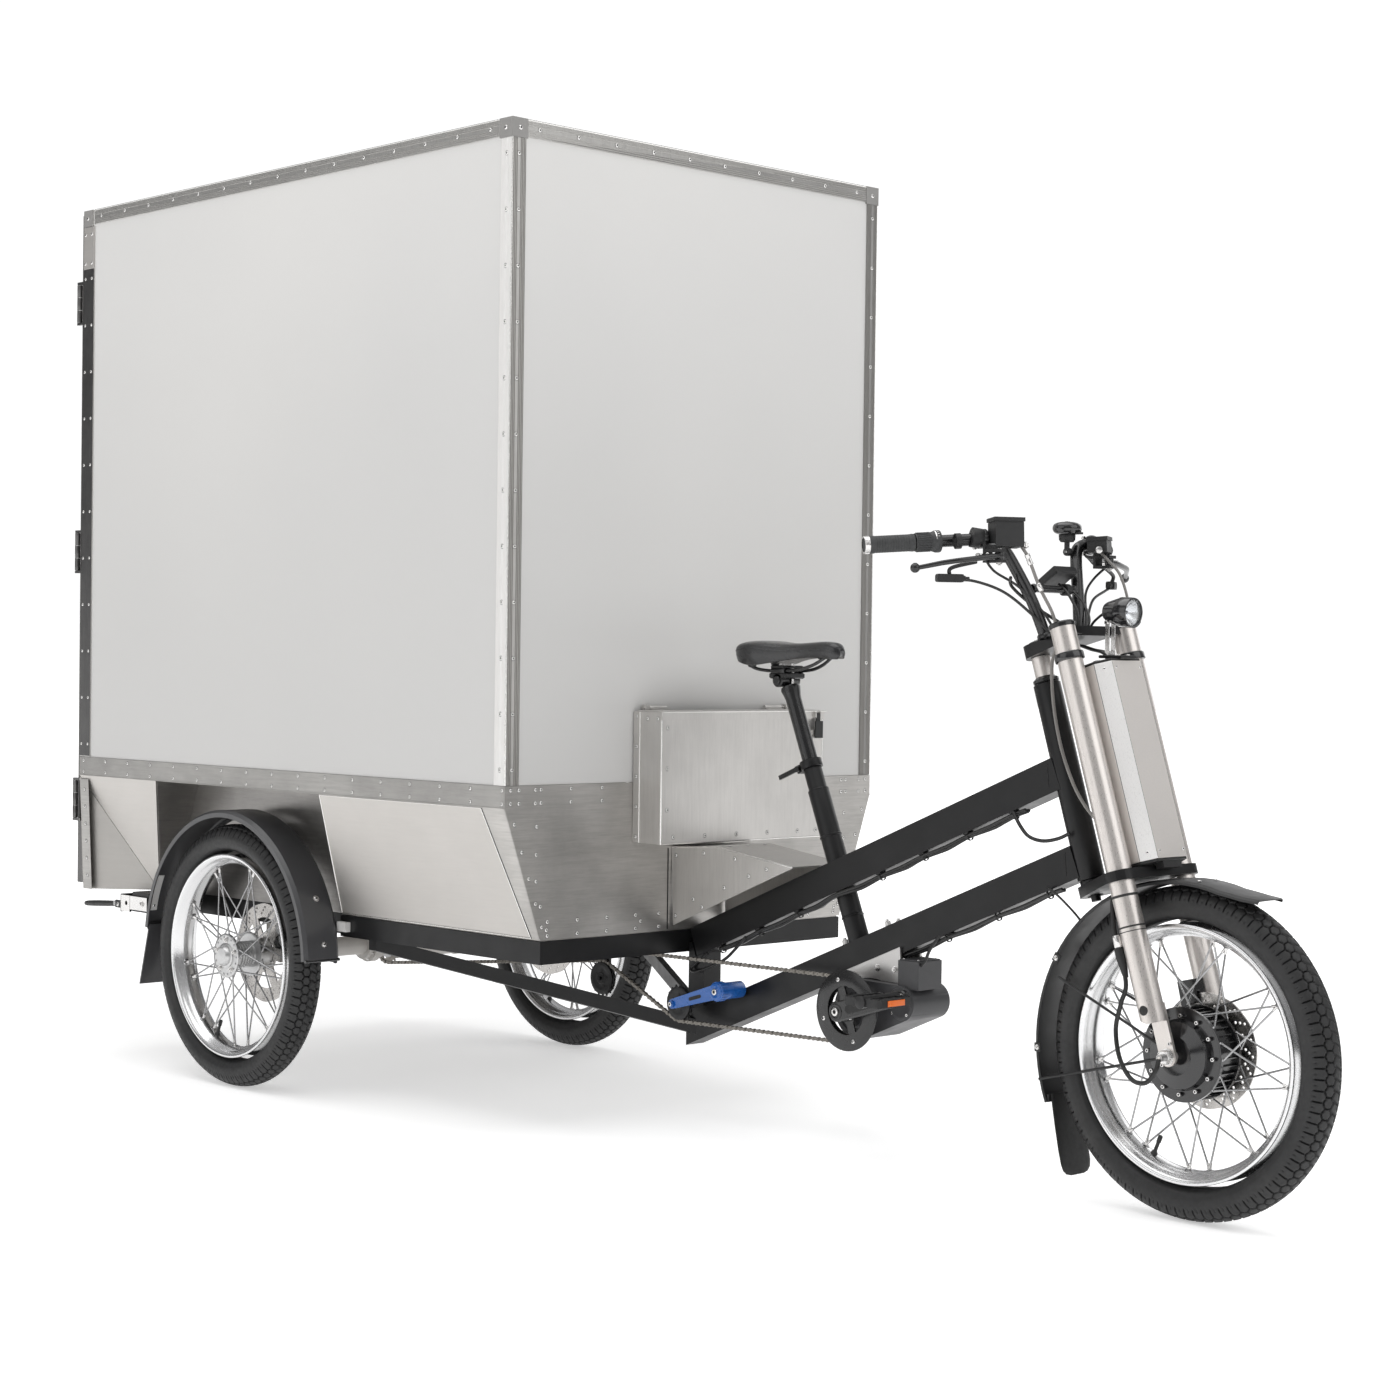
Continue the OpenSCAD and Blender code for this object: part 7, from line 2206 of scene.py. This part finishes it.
def make_front_caliper_trim():
    """Piston ring and bolts of the front caliper."""
    s = Shape()
    for spot in ((2160, 64.4, 398), (2188, 64.4, 366)):
        s.bolt(P(*spot), Y, 4.6, "cap", 5)
    s.lathe(P(2174, 64, 382), Y, [(12, -1), (12, 1), (10, 2), (5, 2), (4, 1), (0, 1)], "zinc", 28)
    s.piece("front_caliper_trim", "steering", "caliper_black")


def make_lock_bracket():
    """Zinc plates of the load lock's bracket."""
    s = Shape()
    hole = circle(5.2, 24, 23, 20)
    outer = [(0, 0), (38, 0), (38, 38), (0, 38)]
    verts, faces = flat_plate(outer, [hole], 0.8, X, Z, P(-463, -504.6, 352))
    s.add(verts, faces, "bolt")
    s.block(P(-424, -504.8, 358.4), P(-351, -504.1, 389.6), "bolt")
    s.block(P(-466.6, -504.4, 350.4), P(-466.1, -466.4, 391.6), "bolt")
    s.bolt(P(-372, -504.6, 374), -Y, 5, "hex", 4)
    s.bolt(P(-480, -503.2, 366), -Y, 5.4, "button", 3.4)
    s.piece("lock_bracket_plates", "chassis", "lock_steel")


def make_lock_lever():
    """The load lock's lever with its moulded grip."""
    s = Shape()
    s.lathe(P(-480, -482, 366), Y, [(3.1, -9), (7, -9), (7.4, -8), (7.4, 8), (7, 9), (3.1, 9)], "zinc",
            28)
    s.box_at(P(-501, -482, 365), X, Y, Z, (20, 9, 5.6), "zinc", 1.4)
    grip = [P(-516, -482, 363.5), P(-530, -482, 362.6), P(-560, -482, 360.6), P(-610, -482, 357.2),
            P(-645, -482, 354.8), P(-656, -482, 354), P(-661, -482, 353.6)]
    ribbon(s, grip, [7, 8.6, 9.4, 10, 9.2, 7, 3], [5.6, 6.4, 6.8, 7, 6.4, 5, 2.4], Y, "rubber", 20)
    s.piece("lock_lever_grip", "load_lock", "black_rubber", 40, ("load_lock_lever",))


# ---------------------------------------------------------------- doors

DOOR_X = -656
DOOR_LOW = 406
DOOR_TOP = 1995
DOOR_OUT = 508
HINGE_X = -661.6
HINGES = (560, 1150, 1740)


def dress_hinges(s, side):
    """Leaves with their screws and ringed knuckles on the outer edge of one door."""
    for z in HINGES:
        side_block(s, side, (HINGE_X, HINGE_X + 3.8), (470, 504), (z + 2, z + 88), "zinc", 0.8)
        for dz in (16, 45, 74):
            s.bolt(P(HINGE_X, side * 484, z + dz), -X, 4, "button", 2.6)
        s.lathe(P(-659, side * 514, z), Z, [(6.1, 0.4), (6.25, 1), (6.25, 29), (5.9, 29.6), (5.9, 30.2),
                                            (6.25, 30.8), (6.25, 59), (5.9, 59.6), (5.9, 60.2),
                                            (6.25, 60.8), (6.25, 89)], "strip", 24)


def make_door(side, body, node):
    """One rear door's frame rails, seal, rivets and hinges; the right one also guides the lock rod."""
    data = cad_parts[node].data
    data.materials.append(M["strip"])
    for face in data.polygons:
        on_edge = abs(face.normal.y) > 0.9 and abs(face.center.y) > 0.5
        if on_edge or face.center.x < AXLE.x - 656.2 * MM:
            face.material_index = 1
    s = Shape()
    skin_x = DOOR_X - 0.2
    face_x = skin_x - 1.6
    # the rails' edges across: at the meeting edge and at the hinges
    inner, outer = 34, DOOR_OUT - 30
    gap = 0.5
    for y, z in (((4, inner), (DOOR_LOW, DOOR_TOP)),
                 ((outer, DOOR_OUT - gap), (DOOR_LOW, DOOR_TOP)),
                 ((inner + gap, outer - gap), (DOOR_TOP - 30, DOOR_TOP)),
                 ((inner + gap, outer - gap), (DOOR_LOW, DOOR_LOW + 34))):
        side_block(s, side, (face_x, skin_x), y, z, "profile", 0.4)
    # rubber seal on the inner edge and rivets round the frame
    side_block(s, side, (DOOR_X + 22, DOOR_X + 22.4), (3, 506), (DOOR_LOW + 6, DOOR_LOW + 14), "rubber")
    spots = [(y, z) for z in range(DOOR_LOW + 30, DOOR_TOP - 20, RIVET_STEP) for y in (19, DOOR_OUT - 15)]
    spots += [(y, z) for y in range(70, 470, 80) for z in (DOOR_TOP - 15, DOOR_LOW + 17)]
    for y, z in spots:
        s.rivet(P(face_x, side * y, z), -X, 3.8)
    dress_hinges(s, side)
    if side < 0:
        # guides of the lock rod, and the catch plate of its handle
        for z in (640, 1000, 1700):
            s.block(P(-670.6, -67, z), P(-658, -33, z + 14), "zinc", MM)
            for y in (-62, -38):
                s.bolt(P(-670.6, y, z + 7), -X, 3, "button", 2)
        s.block(P(-660, -186, 1040), P(-657.8, -150, 1084), "zinc", 0.6 * MM)
    s.piece(f"{node}_trim", body, "door_grey")


def make_lock_rod():
    """The doors' lock rod with its collar, handle and cams."""
    s = Shape()
    s.lathe(P(-663, -50, 420), Z, [(0, 0), (4, 0), (5, 1.5), (5, 1529), (4, 1531), (0, 1531)], "zinc", 24)
    s.lathe(P(-663, -50, 1048), Z, [(5, 0), (6.6, 0), (6.8, 1), (6.8, 27), (6.6, 28), (5, 28)], "zinc",
            24)
    s.box_at(P(-669, -117, 1062), Y, Z, X, (70, 9.6, 2.6), "zinc", 1.4)
    s.box_at(P(-671, -160, 1062), Y, Z, X, (28, 10, 1), "rubber", 0.8)
    for z in (434, 1936):
        s.box_at(P(-663, -46.4, z), Y, Z, X, (3.4, 6, 3), "zinc", 1)
    s.piece("lock_rod_turned", "lock_rod", "lock_steel", 35, ("door_bolt",))


# ---------------------------------------------------------------- small frame details

WELD_R = 1.5


def weld_bead(s, points):
    """A rippled bead along given points."""
    path = curve_points(points, 5)
    radii = [WELD_R * (1 + 0.18 * math.sin(1.9 * i)) for i in range(len(path))]
    s.tube(path, radii, "frame", 8)


REAR_EDGE = -626


def make_frame_trim():
    """Weld beads, end caps, sleeves and the folded strips at the box's rear corners."""
    s = Shape()
    for y in (-25, 25):
        # beads where the beams meet the head tube and the post
        weld_bead(s, [on_beam((968, 402), 1006 - 3 * k, y * 0.97, -8 - 10 * k) for k in range(5)])
        weld_bead(s, [on_beam((928, 210.5), 1096 - 3 * k, y * 0.97, -8 - 10 * k) for k in range(5)])
        weld_bead(s, [P(966 + 9 * k, y * 0.97, 233 + 3.7 * k) for k in range(6)])
        weld_bead(s, [P(966 + 9 * k, y * 0.97, 336 + 3.7 * k) for k in range(6)])
    for side in (-1, 1):
        # end caps of the load frame
        s.box_at(P(-421, side * 460, 377), Y, Z, X, (36, 20, 0.8), "plastic", 0.4)
        # bright sleeve on the fender's stub, and the folded strip along the box's lower rear corner
        side_block(s, side, (305.6, 336.4), (426.6, 439.4), (365.6, 386.4), "flange", 0.4)
        upper, lower = P(REAR_EDGE, side * 520.6, 655), P(REAR_EDGE, side * 508.6, 393)
        s.prism([upper, upper + X * 36 * MM, lower + X * 36 * MM, lower], -Y * side * 1.2 * MM, "band",
                0.3 * MM)
        for i in range(6):
            spot = upper.lerp(lower, (i + 0.6) / 6.4) + (X * 18 + Y * side * 0.3) * MM
            s.rivet(spot, Y * side)
    s.piece("frame_trim", "chassis", "frame_black")


def make_details():
    """The seat, bar, fork, leads, fenders, doors and the frame's small parts."""
    make_saddle()
    make_seatpost()
    make_seat_collar()
    make_handlebar()
    make_grips()
    make_shifter()
    make_brake_levers()
    make_reservoirs()
    make_controls()
    make_bell()
    make_headlight()
    shade_battery()
    make_battery_trim()
    make_fork_trim()
    make_front_cables()
    make_harness()
    make_rear_fender_trim()
    make_front_fender()
    make_axle_trim()
    make_front_caliper_trim()
    make_lock_bracket()
    make_lock_lever()
    make_door(-1, "right_door", "door_right")
    make_door(1, "left_door", "door_left")
    make_lock_rod()
    make_frame_trim()


# ---------------------------------------------------------------- the whole

def build():
    """The whole picture, in the order in which things depend on each other."""
    make_studio()
    make_materials()
    finish_cad_nodes()
    make_wheels()
    make_box()
    make_drive()
    make_details()


build()
